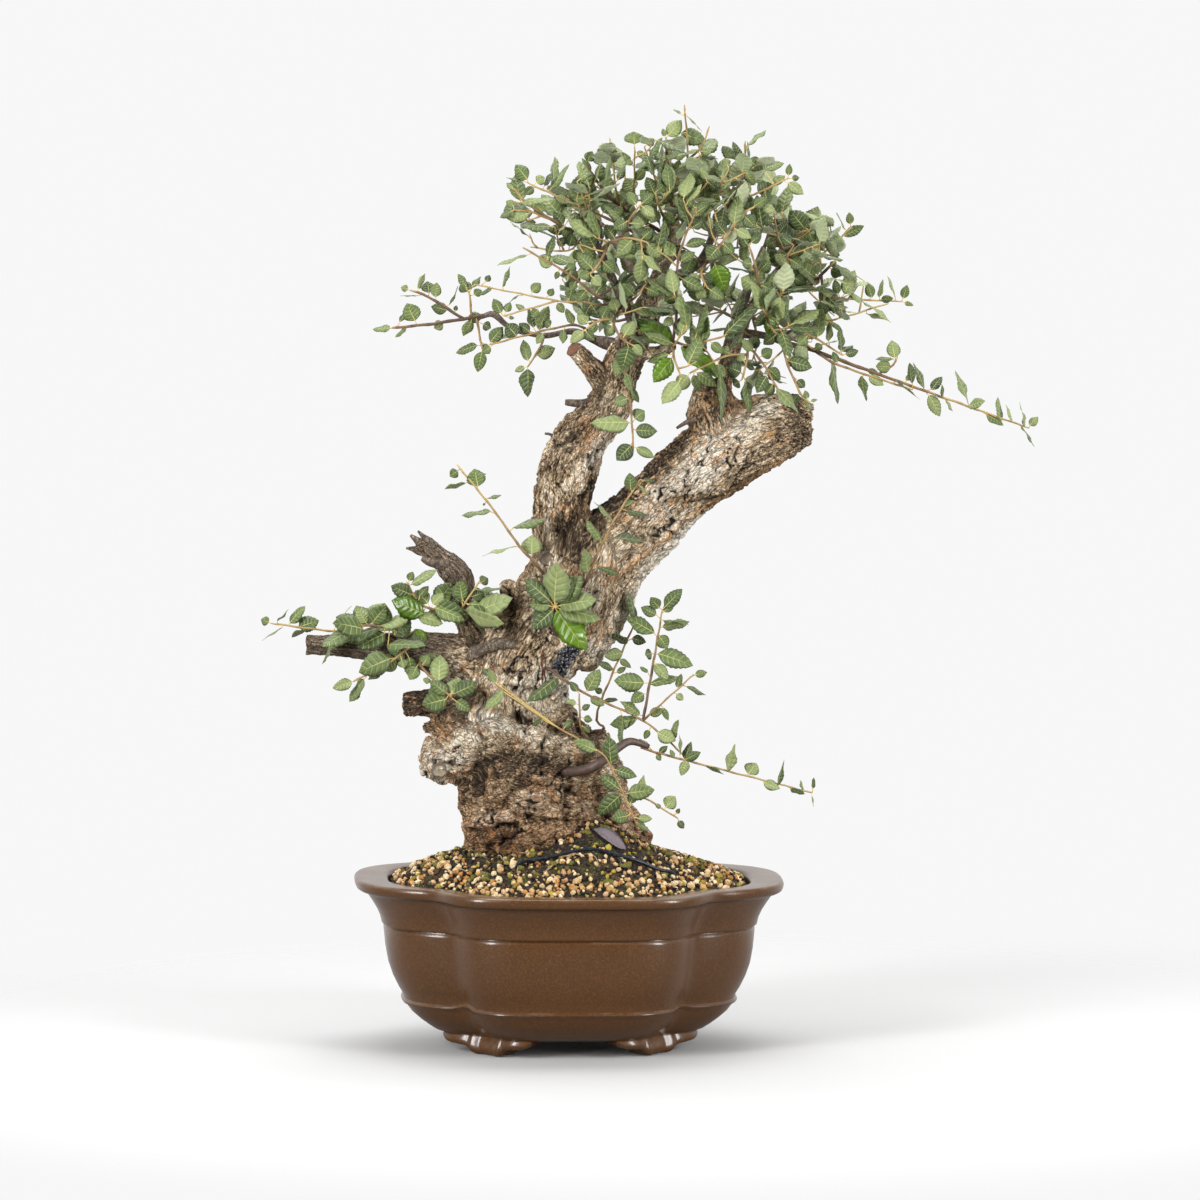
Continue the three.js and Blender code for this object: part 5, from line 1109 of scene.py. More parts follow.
# Faces of a closed tube: rings of points joined in order, with both ends closed
def tube_faces(rings, sides):
    faces = []
    for i in range(rings - 1):
        for j in range(sides):
            k = (j + 1) % sides
            faces.append((i * sides + j, i * sides + k, (i + 1) * sides + k, (i + 1) * sides + j))
    faces.append(tuple(range(sides - 1, -1, -1)))
    faces.append(tuple(range((rings - 1) * sides, rings * sides)))
    return faces


# A smooth curve through points: samples with the radius at each
def smooth_route(points, radii, spacing):
    points = [np.array(p, float) for p in points]
    padded = [2 * points[0] - points[1], *points, 2 * points[-1] - points[-2]]
    samples = []
    sizes = []
    for i in range(len(points) - 1):
        p0, p1, p2, p3 = padded[i:i + 4]
        steps = max(2, math.ceil(np.linalg.norm(p2 - p1) / spacing))
        for k in range(steps):
            t = k / steps
            samples.append(0.5 * (2 * p1 + (p2 - p0) * t + (2 * p0 - 5 * p1 + 4 * p2 - p3) * t ** 2
                                  + (3 * p1 - p0 - 3 * p2 + p3) * t ** 3))
            sizes.append(radii[i] + (radii[i + 1] - radii[i]) * t)
    samples.append(points[-1])
    sizes.append(radii[-1])
    return np.array(samples), np.array(sizes)


# Frames carried along a route: tangent, the side that faces the viewer and the side across
def route_frames(samples):
    ahead = np.vstack([samples[1:], samples[-1:]])
    behind = np.vstack([samples[:1], samples[:-1]])
    along = ahead - behind
    along /= np.linalg.norm(along, axis=1)[:, None]
    normal = VIEWER_WAY
    normals = []
    for t in along:
        normal = normal - t * normal.dot(t)
        normal /= np.linalg.norm(normal)
        normals.append(normal)
    normals = np.array(normals)
    return along, normals, np.cross(along, normals)


# A waver changes the radius by the angle and by the number of the sample
def tube_points(samples, sizes, sides, waver=None):
    _, normal, across = route_frames(samples)
    angle = round_angles(sides)
    radius = sizes[:, None] * np.ones(sides)[None]
    if waver is not None:
        radius = radius * waver(angle[None], np.arange(len(samples))[:, None])
    ring = (normal[:, None] * (radius * np.cos(angle))[..., None]
            + across[:, None] * (radius * np.sin(angle))[..., None])
    return (samples[:, None] + ring).reshape(-1, 3)


# Leaf blade: stations along it with the half width at each, teeth as a pair of stations each
TOOTHED_STATIONS = [
    (0, 0.1), (0.04, 0.32), (0.1, 0.58), (0.17, 0.78), (0.24, 0.88), (0.29, 0.98), (0.37, 0.94),
    (0.43, 1.03), (0.51, 0.91), (0.57, 0.97), (0.65, 0.78), (0.7, 0.81), (0.77, 0.58), (0.82, 0.57),
    (0.9, 0.32), (0.96, 0.13), (1, 0.01),
]
PLAIN_STATIONS = [
    (0, 0.1), (0.04, 0.34), (0.1, 0.6), (0.18, 0.81), (0.27, 0.94), (0.38, 1.0), (0.5, 0.98), (0.62, 0.88),
    (0.73, 0.71), (0.83, 0.49), (0.92, 0.24), (0.97, 0.1), (1, 0.01),
]
BLADE_SIDES = np.array([-1, -0.64, -0.3, 0, 0.3, 0.64, 1])
BLADE_THICKNESS = 0.34
SMALL_TOOTHED = 0.45
TOOTH_REACH = 0.012
PETIOLE_SIDES = 5
PETIOLE_RADII = np.array([0.55, 0.42, 0.45, 0.3])

# How much broader the leaves are than picked, and the sprays whose leaves are broader still
BROADER = 1.12
BREADTH = {
    "stub_spray_far": 1.25, "stub_spray_under": 1.2, "stub_spray_rosette": 1.25, "stub_spray_front": 1.2,
    "trunk_spray_rosette": 1.36,
}

# Materials of a leaf's faces, in the order of its slots
GREY_FACE, GLOSSY_FACE, UNDER_FACE, STALK_FACE = range(4)


# Faces of a thin closed sheet: the upper grid, the lower one that shares its edge, and both ends
def blade_faces(rows, columns):
    inner = columns - 2
    start = rows * columns

    def over(i, j):
        return i * columns + j

    def under(i, j):
        return over(i, j) if j in (0, columns - 1) else start + i * inner + j - 1

    cells = [(i, j) for i in range(rows - 1) for j in range(columns - 1)]
    faces = [(over(i, j), over(i + 1, j), over(i + 1, j + 1), over(i, j + 1)) for i, j in cells]
    faces += [(under(i, j), under(i, j + 1), under(i + 1, j + 1), under(i + 1, j)) for i, j in cells]
    last = rows - 1
    middle = range(1, columns - 1)
    faces.append(tuple([over(0, j) for j in range(columns)] + [under(0, j) for j in reversed(middle)]))
    faces.append(tuple([over(last, j) for j in reversed(range(columns))] + [under(last, j) for j in middle]))
    return faces


# The points of a thin sheet from its upper and its lower grid, in the order of its faces
def sheet(upper, lower):
    size = upper.shape[-1]
    return np.vstack([upper.reshape(-1, size), lower[:, 1:-1].reshape(-1, size)])


# Each point's place on the blade: the share of its length, and from one edge to the other
def blade_place(share, side):
    place = np.stack(np.broadcast_arrays(share, side * 0.5 + 0.5), -1)
    return sheet(place, place)


def add_blade(gather, leaf, random):
    toothed = leaf.length > TOOTHED_FROM or random() < SMALL_TOOTHED
    stations = np.array(TOOTHED_STATIONS if toothed else PLAIN_STATIONS)
    share = stations[:, 0][:, None]
    half = stations[:, 1][:, None] * leaf.width / 2 * (0.9 + 0.18 * random())
    half = half * BREADTH.get(leaf.spray, BROADER)
    side = BLADE_SIDES[None]
    uneven = 1 + 0.05 * (random() - 0.5) * np.sign(side)
    cup = 0.1 + 0.26 * random()
    fold = 0.04 + 0.16 * random()
    curl = TIP_DROP + 0.16 * (random() - 0.35)
    bend = 0.08 * (random() - 0.5)
    roll = 0.9 * (random() - 0.5)
    wave = 0.08 + 0.14 * random()
    wave_start = 6 * random()
    along = np.array(leaf.along)
    across = np.array(leaf.across)
    up = np.array(leaf.up)
    base = np.array(leaf.base)
    turn = roll * share
    out = half * side * uneven
    height = (-cup * np.abs(side) ** 2.4 + fold * np.abs(side)) * half
    height = height + wave * half * np.abs(side) ** 2 * np.sin(9 * share + 2.2 * np.sign(side) + wave_start)
    rise = -leaf.length * curl * share ** 2 + height * np.cos(turn) + out * np.sin(turn)
    wide = out * np.cos(turn) - height * np.sin(turn) + leaf.length * bend * share ** 2
    far = leaf.length * (share + TOOTH_REACH * (np.abs(side) == 1))
    top = base + far[..., None] * along + wide[..., None] * across + rise[..., None] * up
    face = GLOSSY_FACE if leaf.glossy else GREY_FACE
    upper = (len(stations) - 1) * (len(BLADE_SIDES) - 1)
    kinds = [face] * upper + [UNDER_FACE] * upper + [face] * 2
    tone = random()
    gather.add(sheet(top, top - up * BLADE_THICKNESS), blade_faces(len(stations), len(BLADE_SIDES)), kinds,
               uv=blade_place(share, side), tone=tone)
    start = np.array(leaf.root)
    joint = base + along * 0.7 - up * 0.2
    middle = (start + joint) / 2 + up * -0.25
    end = base + along * min(4, leaf.length * 0.2) - up * BLADE_THICKNESS
    stalk = np.array([start, middle, joint, end])
    gather.add_tube(stalk, PETIOLE_RADII, PETIOLE_SIDES, STALK_FACE, tone=tone)


STEM_SIDES = 7
STEM_SWELL = 1.06
NODE_SWELL = 0.16
ROOT_REACH = 5


# A stem with a slight waver and swollen nodes; the thinner it is, the younger is its bark
def add_stem_tube(gather, stem, seed):
    random = sequence(seed)
    samples, sizes = smooth_route(stem["points"], stem["radii"], 5)
    start = 6 * random()
    steps = np.arange(len(samples))
    samples[1:-1] += 0.25 * np.sin(steps[1:-1, None] * np.array([1.3, 1.7, 1.1]) + start)
    swell = 1 + NODE_SWELL * (np.sin(steps * 1.9 + start) > 0.55)
    sizes = sizes * swell * STEM_SWELL
    sizes[-1] *= 0.75
    youth = np.clip((1.5 - sizes) / 0.7, 0, 1)
    youth = np.clip(youth + 0.5 * (random() - 0.5), 0, 1)
    gather.add_tube(samples, sizes, STEM_SIDES, youth=np.repeat(youth, STEM_SIDES))
    return samples


# A spray's twigs and leaves; a leaf whose root is close to a stem starts on that stem's curve
def build_spray(name, seed):
    random = sequence(seed)
    twigs = Gather()
    routes = [add_stem_tube(twigs, stem, seed + 31 * i) for i, stem in enumerate(STEMS[name])]
    samples = np.vstack(routes)
    leaves = Gather()
    for leaf in PLACED:
        if leaf.spray != name:
            continue
        away = ((samples - np.array(leaf.root)) ** 2).sum(1)
        nearest = int(away.argmin())
        if away[nearest] < ROOT_REACH ** 2:
            leaf.root = Vector(samples[nearest])
        add_blade(leaves, leaf, random)
    finish_piece(twigs.piece("twigs_" + name, [TWIG_BARK]), name)
    leaf_materials = [GREY_LEAF, GLOSSY_LEAF, LEAF_UNDERSIDE, LEAF_STALK]
    finish_piece(leaves.piece("leaves_" + name, leaf_materials), name)


# Smooth and cellular noise over many points at once
def hashed(cells, seed):
    x = (cells[..., 0].astype(np.int64) * 73856093) ^ (cells[..., 1].astype(np.int64) * 19349663)
    x = x ^ (cells[..., 2].astype(np.int64) * 83492791) ^ (seed * 2654435761)
    x = (x ^ (x >> 13)) * 1274126177
    x = (x ^ (x >> 16)) & 0xFFFFFF
    return x / 0xFFFFFF


def corners(steps):
    return [np.array([x, y, z]) for x in steps for y in steps for z in steps]


def smooth_noise(points, seed):
    cell = np.floor(points)
    f = points - cell
    f = f * f * (3 - 2 * f)
    total = np.zeros(len(points))
    for corner in corners((0, 1)):
        x, y, z = [np.where(far, f[:, i], 1 - f[:, i]) for i, far in enumerate(corner)]
        total += x * y * z * hashed(cell + corner, seed)
    return total * 2 - 1


def layered_noise(points, seed, layers):
    total = np.zeros(len(points))
    for i in range(layers):
        total += smooth_noise(points * 2 ** i, seed + i) * 0.5 ** i
    return total


# A shift in all three directions, from noise of the given size
def noise_shift(points, size, seed):
    return np.stack([smooth_noise(points / size, seed + k) for k in range(3)], -1)


# Distance to the border between cells, and a number for the cell that a point lies in
def cell_noise(points, seed):
    cell = np.floor(points)
    first = np.full(len(points), 9.0)
    second = np.full(len(points), 9.0)
    own = np.zeros(len(points))
    for corner in corners((-1, 0, 1)):
        near = cell + corner
        spot = near + 0.15 + 0.7 * np.stack([hashed(near, seed + k) for k in (11, 12, 13)], -1)
        away = np.sqrt(((points - spot) ** 2).sum(1))
        closer = away < first
        second = np.where(closer, first, np.minimum(second, away))
        own = np.where(closer, hashed(near, seed + 14), own)
        first = np.where(closer, away, first)
    return second - first, own


def smooth_step(value, low, high):
    t = np.clip((value - low) / (high - low), 0, 1)
    return t * t * (3 - 2 * t)


# The crack along a border between cells: 1 at its bottom, 0 from its width on
def crack_line(border, low, high):
    return 1 - smooth_step(border, low, high)


# The wood's thick limbs are merged into one skin, the thin ones stay tubes
SKIN_FROM_RADIUS = 9
SKIN_GRAIN = 1.6
SKIN_KEPT = 0.6
LIMB_SPACING = 6
LIMB_SIDES = 28

# The root that lies below the soil, and the dead limbs, which end in bare fibrous wood
BURIED = ("front root",)
DEAD_LIMBS = ("long stub", "dead stub")
BARE_FROM = (30, 52)

# Bark plates, the flakes on them and the chunks of the old butt: sizes across, deep and along
PLATE_SIZE = np.array([15, 15, 42])
FLAKE_SIZE = np.array([5, 5, 12])
FISSURE_SIZE = np.array([8, 8, 60])
FIBRE_SIZE = np.array([4, 4, 70])
SPLINTER_SIZE = np.array([2.6, 2.6, 30])
CHUNK_SIZE = np.array([36, 36, 20])
CHIP_SHARE = 3.2

# How deep the cracks of the bark go and how far its plates stand out, in millimetres
PLATE_CRACK, FLAKE_CRACK, FISSURE_DEPTH = 3.2, 1.2, 1.6
PLATE_LIFT, FLAKE_LIFT = 2.6, 1.7
STRAND_LIFT, STRAND_GROOVE, SPLINTER_LIFT = 2.4, 2.2, 3
CHUNK_LIFT, CHUNK_CREASE, CHIP_LIFT, CHIP_CREASE = 6.5, 4.5, 2.6, 2.2
CHUNK_SHARE = 0.95
RUST_LIFT = 1.6

# The old butt's chunks take over below this height
BUTT_HEIGHT = (275, 345)

# Weathering of the bark seen from the front: a run from (x, h) to (x, h), its reach and the
# change of tone; pale runs are positive, dark ones negative
WEATHERING = [
    (80, 503, 169, 578, 20, 0.4), (29, 368, 113, 489, 12, 0.38), (184, 598, 190, 594, 10, 0.3),
    (-8, 503, 32, 559, 11, 0.4), (-21, 526, -19, 452, 6, 0.3), (-124, 261, -92, 289, 24, 0.42),
    (-84, 208, -58, 214, 6, 0.4), (-20, 452, -18, 452, 9, 0.4), (-48, 402, -46, 402, 8, 0.3),
    (2, 331, 4, 331, 14, 0.35), (-23, 348, -21, 348, 10, 0.3), (-32, 231, -30, 231, 12, 0.1),
    (40, 275, 55, 201, 10, 0.3), (20, 415, 29, 452, 12, 0.2), (-73, 308, -27, 280, 6, 0.12),
    (-62, 350, -18, 326, 24, 0.3), (-30, 400, 0, 380, 14, 0.16), (2, 562, -6, 440, 26, -0.08),
    (0, 500, 8, 462, 18, -0.3), (40, 510, 145, 599, 13, -0.24), (210, 596, 221, 559, 11, -0.35),
    (122, 494, 183, 534, 9, -0.35), (96, 508, 139, 510, 4, -0.5), (139, 510, 178, 532, 4, -0.4),
    (40, 503, 6, 443, 10, -0.2), (22, 526, 27, 489, 8, -0.4), (27, 629, 15, 592, 12, -0.12),
    (-82, 378, -64, 322, 12, -0.15), (-64, 262, 6, 255, 14, -0.3), (-92, 229, -82, 252, 10, -0.25),
    (-82, 187, 38, 187, 14, -0.24), (-138, 471, -84, 378, 14, -0.22), (-244, 372, -150, 368, 15, 0.08),
    (-153, 315, -120, 322, 14, -0.17), (-55, 415, -54, 415, 12, -0.35), (136, 615, 137, 615, 14, -0.25),
    (128, 590, 150, 610, 24, -0.18), (10, 642, 34, 615, 10, 0.05),
]

# Torn edges of the outer bark, where the rust-coloured inner bark shows: runs like the ones above
RUST_EDGES = [
    (47, 438, 92, 472, 2.2, 0.9), (92, 472, 118, 498, 2.2, 0.9), (119, 498, 146, 513, 2.2, 0.8),
    (147, 513, 201, 549, 2.2, 0.7), (136, 544, 156, 556, 2.4, 0.7), (156, 556, 194, 570, 2.6, 0.7),
    (126, 596, 136, 600, 4, 0.8), (-20, 476, -16, 440, 2.4, 0.6), (6, 520, 30, 545, 2.4, 0.6),
    (-6, 380, 2, 372, 3, 0.6),
]

# Swellings and hollows of the wood seen from the front: a run, its reach and its height
SWELLINGS = [
    (-84, 308, -27, 288, 9, 14), (-27, 288, 4, 274, 10, 14), (-70, 274, -26, 261, 8, -11),
    (-30, 259, 2, 252, 7, -8), (-44, 228, -30, 232, 12, 12), (-58, 224, -52, 236, 5, -9),
    (-88, 206, -56, 214, 7, 9), (-92, 199, -46, 206, 4, -8), (-60, 304, -6, 296, 4, -9),
    (-44, 243, 4, 240, 4, -9), (-40, 250, 8, 246, 4, 6), (-40, 211, 34, 203, 5, -9),
    (-78, 289, -86, 236, 6, -10), (-46, 306, -45, 306, 6, -8), (29, 480, 20, 415, 5, -4),
    (39, 378, 122, 498, 6, 3), (86, 512, 165, 570, 14, 2.5), (-55, 404, -56, 427, 5, -9),
    (-120, 257, -119, 257, 7, 3), (-60, 332, -20, 324, 6, -6), (-30, 386, 10, 380, 7, -4),
    (-90, 340, -60, 332, 7, 5), (-84, 188, -50, 184, 8, 5), (-60, 198, -74, 166, 13, -9),
    (4, 232, 20, 218, 6, 7), (2, 246, -2, 214, 4, -8), (28, 240, 36, 214, 5, -6), (-62, 262, -52, 250, 6, 5),
]

# Where the whole outline is drawn in
WAIST = [(15, 336, 21, 302, 14, -14), (-108, 196, -108, 180, 10, -5)]

# Sawn ends that face the viewer a little, with the tint of their wood
CUT_SLANT = 0.6
CUT_ENDS = {"upper left stub": 0.3}


def is_thick(name):
    return WOOD[name][0][3] > SKIN_FROM_RADIUS and name not in BURIED


# A smooth curve along a picked route of (x, h, y, radius)
def picked_curve(route, spacing):
    return smooth_route([seen(*p[:3]) for p in route], [p[3] for p in route], spacing)


def limb_mesh(name):
    samples, sizes = picked_curve(WOOD[name], LIMB_SPACING)
    along, normal, across = route_frames(samples)
    angle = round_angles(LIMB_SIDES)
    deep = sizes[:, None] * FLATTENED.get(name, 1) * np.cos(angle)
    wide = sizes[:, None] * np.sin(angle)
    ring = normal[:, None] * deep[..., None] + across[:, None] * wide[..., None]
    if name in CUT_ENDS:
        ring[-1] -= CUT_SLANT * deep[-1][:, None] * along[-1]
    return (samples[:, None] + ring).reshape(-1, 3), tube_faces(len(samples), LIMB_SIDES)


# Sum of runs at points seen from the front
def sum_of_runs(runs, points):
    x = points[:, 0]
    h = points[:, 2] * VIEW_COS + points[:, 1] * VIEW_SIN
    total = np.zeros(len(points))
    for x0, h0, x1, h1, reach, change in runs:
        run = np.array([x1 - x0, h1 - h0])
        t = np.clip(((x - x0) * run[0] + (h - h0) * run[1]) / run.dot(run), 0, 1)
        away = np.hypot(x - x0 - t * run[0], h - h0 - t * run[1])
        total += change * (1 - smooth_step(away, 0.5 * reach, 1.3 * reach))
    return total


# One even skin round several closed shapes
def remeshed(name, gather, grain):
    piece = gather.piece(name)
    remesh = piece.modifiers.new("skin", "REMESH")
    remesh.mode = "VOXEL"
    remesh.voxel_size = grain * MM
    mesh = worked_mesh(piece)
    bpy.data.objects.remove(piece)
    return mesh


# A value of each point of a mesh, three numbers a point
def point_values(mesh, key):
    values = np.zeros(len(mesh.vertices) * 3)
    mesh.vertices.foreach_get(key, values)
    return values.reshape(-1, 3)


# Where each point lies beside a limb: the distance for the limb's radius there, the place across,
# deep and along in the limb's own frame, and the radius. The limb's length comes last.
def limb_field(points, name):
    samples, sizes = picked_curve(WOOD[name], LIMB_SPACING)
    _, normal, across = route_frames(samples)
    travel = np.concatenate([[0], np.cumsum(np.linalg.norm(np.diff(samples, axis=0), axis=1))])
    best = np.full(len(points), np.inf)
    local = np.zeros((len(points), 3))
    size = np.ones(len(points))
    for i in range(len(samples) - 1):
        way = samples[i + 1] - samples[i]
        t = np.clip(((points - samples[i]) @ way) / way.dot(way), 0, 1)
        gap = points - samples[i] - t[:, None] * way
        away = np.linalg.norm(gap, axis=1)
        closer = away < best
        best = np.where(closer, away, best)
        here = np.stack([gap @ across[i], gap @ normal[i], travel[i] + t * np.linalg.norm(way)], -1)
        local = np.where(closer[:, None], here, local)
        size = np.where(closer, sizes[i] + (sizes[i + 1] - sizes[i]) * t, size)
    return best / size, local, size, travel[-1]


# Bark plates, flakes and fissures that run along a limb: height, crack and tone at each place
def plate_relief(place, number):
    warp = 7 * noise_shift(place, 15, 3 * number)
    warp += 2.4 * noise_shift(place, 4.5, 3 * number + 50)
    border, tone = cell_noise((place + warp) / PLATE_SIZE, 40 + number)
    flake_border, flake_tone = cell_noise((place + warp * 0.7) / FLAKE_SIZE, 80 + number)
    fissure_border, _ = cell_noise((place + 1.2 * warp) / FISSURE_SIZE, 160 + number)
    parted = smooth_step(layered_noise(place / 26, 140 + number, 2), -0.35, 0.45)
    wide_crack = crack_line(border, 0.02, 0.13) * parted
    small_crack = crack_line(flake_border, 0.03, 0.26)
    fissure = crack_line(fissure_border, 0.02, 0.17) * (1 - 0.6 * parted)
    height = (-PLATE_CRACK * wide_crack - FLAKE_CRACK * small_crack - FISSURE_DEPTH * fissure
              + PLATE_LIFT * (tone - 0.5) + FLAKE_LIFT * (flake_tone - 0.5))
    crack = np.clip(0.85 * wide_crack + 0.4 * small_crack + 0.5 * fissure, 0, 1)
    return height, crack, 0.5 * tone + 0.5 * flake_tone, warp


# Long fibres and a ragged end on the outer part of a dead limb
def dead_relief(place, number, warp, whole, height, crack):
    strand_border, strand = cell_noise((place + 0.35 * warp) / FIBRE_SIZE, 180 + number)
    groove = crack_line(strand_border, 0.02, 0.3)
    ragged = smooth_step(place[:, 2], whole - 6, whole) * smooth_noise(place / SPLINTER_SIZE, 190 + number)
    bare = smooth_step(place[:, 2], *BARE_FROM)
    fibres = STRAND_LIFT * (strand - 0.5) - STRAND_GROOVE * groove + SPLINTER_LIFT * ragged
    return height * (1 - bare) + bare * fibres, crack * (1 - bare) + bare * 0.6 * groove


# The relief of all limbs, each point shared out among the limbs near it
def limbs_relief(points, limbs):
    height, crack, plate, fibre, weights = np.zeros((5, len(points)))
    nearest = np.full(len(points), np.inf)
    limb_place = np.zeros((len(points), 3))
    for number, name in enumerate(limbs):
        nearness, local, size, whole = limb_field(points, name)
        closer = nearness < nearest
        nearest = np.where(closer, nearness, nearest)
        limb_place = np.where(closer[:, None], local + 70 * number, limb_place)
        fibre = np.where(closer, smooth_step(local[:, 2], *BARE_FROM) * (name in DEAD_LIMBS), fibre)
        weight = np.exp(-6 * np.clip(nearness - 0.9, -0.5, 3))
        use = weight > 0.004
        rise, split, tone, warp = plate_relief(local[use], number)
        if name in DEAD_LIMBS:
            rise, split = dead_relief(local[use], number, warp, whole, rise, split)
        height[use] += weight[use] * rise * np.clip(size[use] / 30, 0.3, 1)
        crack[use] += weight[use] * split
        plate[use] += weight[use] * tone
        weights += np.where(use, weight, 0)
    weights = np.maximum(weights, 1e-6)
    return height / weights, crack / weights, plate / weights, fibre, limb_place


# The broken chunks of the old butt: height, crack and tone
def chunk_relief(points):
    shift = np.stack([layered_noise(points / 24, 63 + 5 * k, 3) for k in range(3)], -1)
    shifted = points + 14 * shift
    border, tone = cell_noise(shifted / CHUNK_SIZE, 66)
    chip_border, chip_tone = cell_noise((0.6 * points + 0.4 * shifted) / CHUNK_SIZE * CHIP_SHARE, 67)
    torn = smooth_step(smooth_noise(points / 22, 75), -0.5, 0.4)
    crease = crack_line(border, 0.01, 0.12) * torn
    small_crease = crack_line(chip_border, 0.02, 0.2) * (0.6 + 0.4 * smooth_noise(points / 13, 77))
    height = (CHUNK_LIFT * (tone - 0.5) - CHUNK_CREASE * crease + CHIP_LIFT * (chip_tone - 0.5)
              - CHIP_CREASE * small_crease)
    height += 1.6 * layered_noise(points / 9, 79, 2)
    crack = np.clip(0.74 * crease + 0.6 * small_crease, 0, 1)
    return height, crack, 0.5 * tone + 0.5 * chip_tone


# The trunk's bark: raises the skin by its relief, and gives the surface to set things on
def build_trunk():
    thick = [name for name in WOOD if is_thick(name)]
    gather = Gather()
    for name in thick:
        gather.add(*limb_mesh(name))
    mesh = remeshed("trunk_skin", gather, SKIN_GRAIN)
    points = (point_values(mesh, "co") - POT_MIDDLE) / MM
    normals = point_values(mesh, "normal")
    piece = add_object("trunk_bark", mesh)
    mesh.materials.clear()
    mesh.materials.append(CORK_BARK)
    height, crack, plate, fibre, limb_place = limbs_relief(points, thick)
    facing = smooth_step(normals @ VIEWER_WAY, -0.1, 0.4)
    swelling = sum_of_runs(SWELLINGS, points)
    height += facing * swelling
    low = 1 - smooth_step(points[:, 2] + 20 * smooth_noise(points / 30, 71), *BUTT_HEIGHT)
    chunk, chunk_crack, chunk_tone = chunk_relief(points)
    height = height * (1 - 0.5 * low) + CHUNK_SHARE * low * chunk
    crack = crack * (1 - 0.6 * low) + low * chunk_crack
    # Painted shade: the hollows among the swellings get a higher crack value, so they are darkened in the
    # bark's colour
    crack = np.clip(crack - 0.014 * facing * np.minimum(swelling, 0), 0, 1)
    plate = plate * (1 - low) + low * chunk_tone
    swayed = points + 5 * noise_shift(points, 19, 83)
    limb_place = np.where(low[:, None] > 0.5, swayed * [0.6, 0.6, 3.1], limb_place)
    rust = facing * sum_of_runs(RUST_EDGES, points + 1.8 * noise_shift(points, 3.4, 93))
    height += RUST_LIFT * rust + sum_of_runs(WAIST, points)
    height += 2.6 * layered_noise(points / 38, 7, 3) + 0.8 * layered_noise(points / 5, 17, 2)
    runs = sum_of_runs(WEATHERING, points)
    weathering_and_painted_relief_shade = 0.5 + np.where(runs < 0, 0.7 * runs, runs)
    weathering_and_painted_relief_shade = weathering_and_painted_relief_shade + 0.2 * layered_noise(points / 40, 27, 3) - 0.1 * normals[:, 2]
    # Painted light and shade: the bark's tone is raised on the swellings and lowered in the hollows, as if
    # lit from the front
    weathering_and_painted_relief_shade += 0.02 * facing * np.clip(swelling, -6, 14)
    moved = points + normals * height[:, None]
    mesh.vertices.foreach_set("co", (moved * MM + POT_MIDDLE).ravel())
    write_values(mesh, {"crack": crack, "plate": plate, "weathering_and_painted_relief_shade": weathering_and_painted_relief_shade, "rust": rust, "fibre": fibre})
    layer = mesh.attributes.new("limb_place", "FLOAT_VECTOR", "POINT")
    layer.data.foreach_set("vector", limb_place.astype(np.float32).ravel())
    mesh.polygons.foreach_set("use_smooth", np.ones(len(mesh.polygons), bool))
    mesh.update()
    surface = BVHTree.FromPolygons(moved.tolist(), [tuple(f.vertices) for f in mesh.polygons])
    thin = piece.modifiers.new("thin", "DECIMATE")
    thin.ratio = SKIN_KEPT
    piece.data = worked_mesh(piece)
    piece.modifiers.clear()
    finish_piece(piece, "trunk")
    return surface


# Where the front view's (x, h) meets the bark, and the bark's direction there
def bark_spot(bark, x, h):
    spot, normal, _, _ = bark.ray_cast(seen(x, h, -400), -TOWARD_VIEWER)
    return np.array(spot), np.array(normal)


# A low round button on a surface, from rings of (share of the radius, height)
def button(centre, normal, radius, profile, seed, oval=1.0, sides=28):
    normal = normal / np.linalg.norm(normal)
    first = np.cross(normal, [0.3, 0.2, 1])
    first /= np.linalg.norm(first)
    second = np.cross(normal, first)
    angle = round_angles(sides)
    uneven = 1 + 0.08 * np.sin(3 * angle + seed) + 0.05 * np.sin(7 * angle + 2 * seed)
    points = []
    for share, height in profile:
        out = share * radius * uneven
        lift = height * (1 + 0.25 * np.sin(5 * angle + 9 * share + seed))
        points.append(centre + np.outer(out * np.cos(angle), first)
                      + np.outer(out * oval * np.sin(angle), second) + np.outer(lift, normal))
    ring = np.repeat([share for share, _ in profile], sides)
    return np.concatenate(points), tube_faces(len(profile), sides), ring


# Pruning scars and cut ends: (x, h, radius, oval, tint); tint picks the wood's colour
SCARS = [(-6, 389, 7.4, 1.15, 0.1), (-120, 257, 6, 1.0, 0.85), (-19, 452, 6.5, 0.8, 0.6)]
SCAR_PROFILE = [
    (1.1, -3), (1.24, 0.4), (1.12, 1.7), (0.95, 1.5), (0.86, 0.5), (0.6, 0.7), (0.3, 0.9), (0.04, 0.9),
]
CUT_PROFILE = [(0.9, -4), (1.02, -0.6), (0.97, 0.5), (0.8, 0.2), (0.55, 0.5), (0.3, 0.1), (0.04, 0.3)]
CUT_SHARE = 0.86


def build_cuts(bark):
    gather = Gather()
    for x, h, radius, oval, tint in SCARS:
        spot, normal = bark_spot(bark, x, h)
        points, faces, ring = button(spot, normal + 2 * VIEWER_WAY, radius, SCAR_PROFILE, x, oval)
        gather.add(points, faces, ring=ring, tint=tint)
    for name, tint in CUT_ENDS.items():
        before, last = WOOD[name][-2:]
        end = np.array(seen(*last[:3]))
        way = end - np.array(seen(*before[:3]))
        way = way / np.linalg.norm(way) + CUT_SLANT * VIEWER_WAY
        way /= np.linalg.norm(way)
        top = np.array(bark.ray_cast(Vector(end + 30 * way), Vector(-way))[0])
        points, faces, ring = button(top + 0.4 * way, way, last[3] * CUT_SHARE, CUT_PROFILE, end[0])
        gather.add(points, faces, ring=ring, tint=tint)
    finish_piece(gather.piece("cut_wood", [CUT_WOOD]), "trunk")


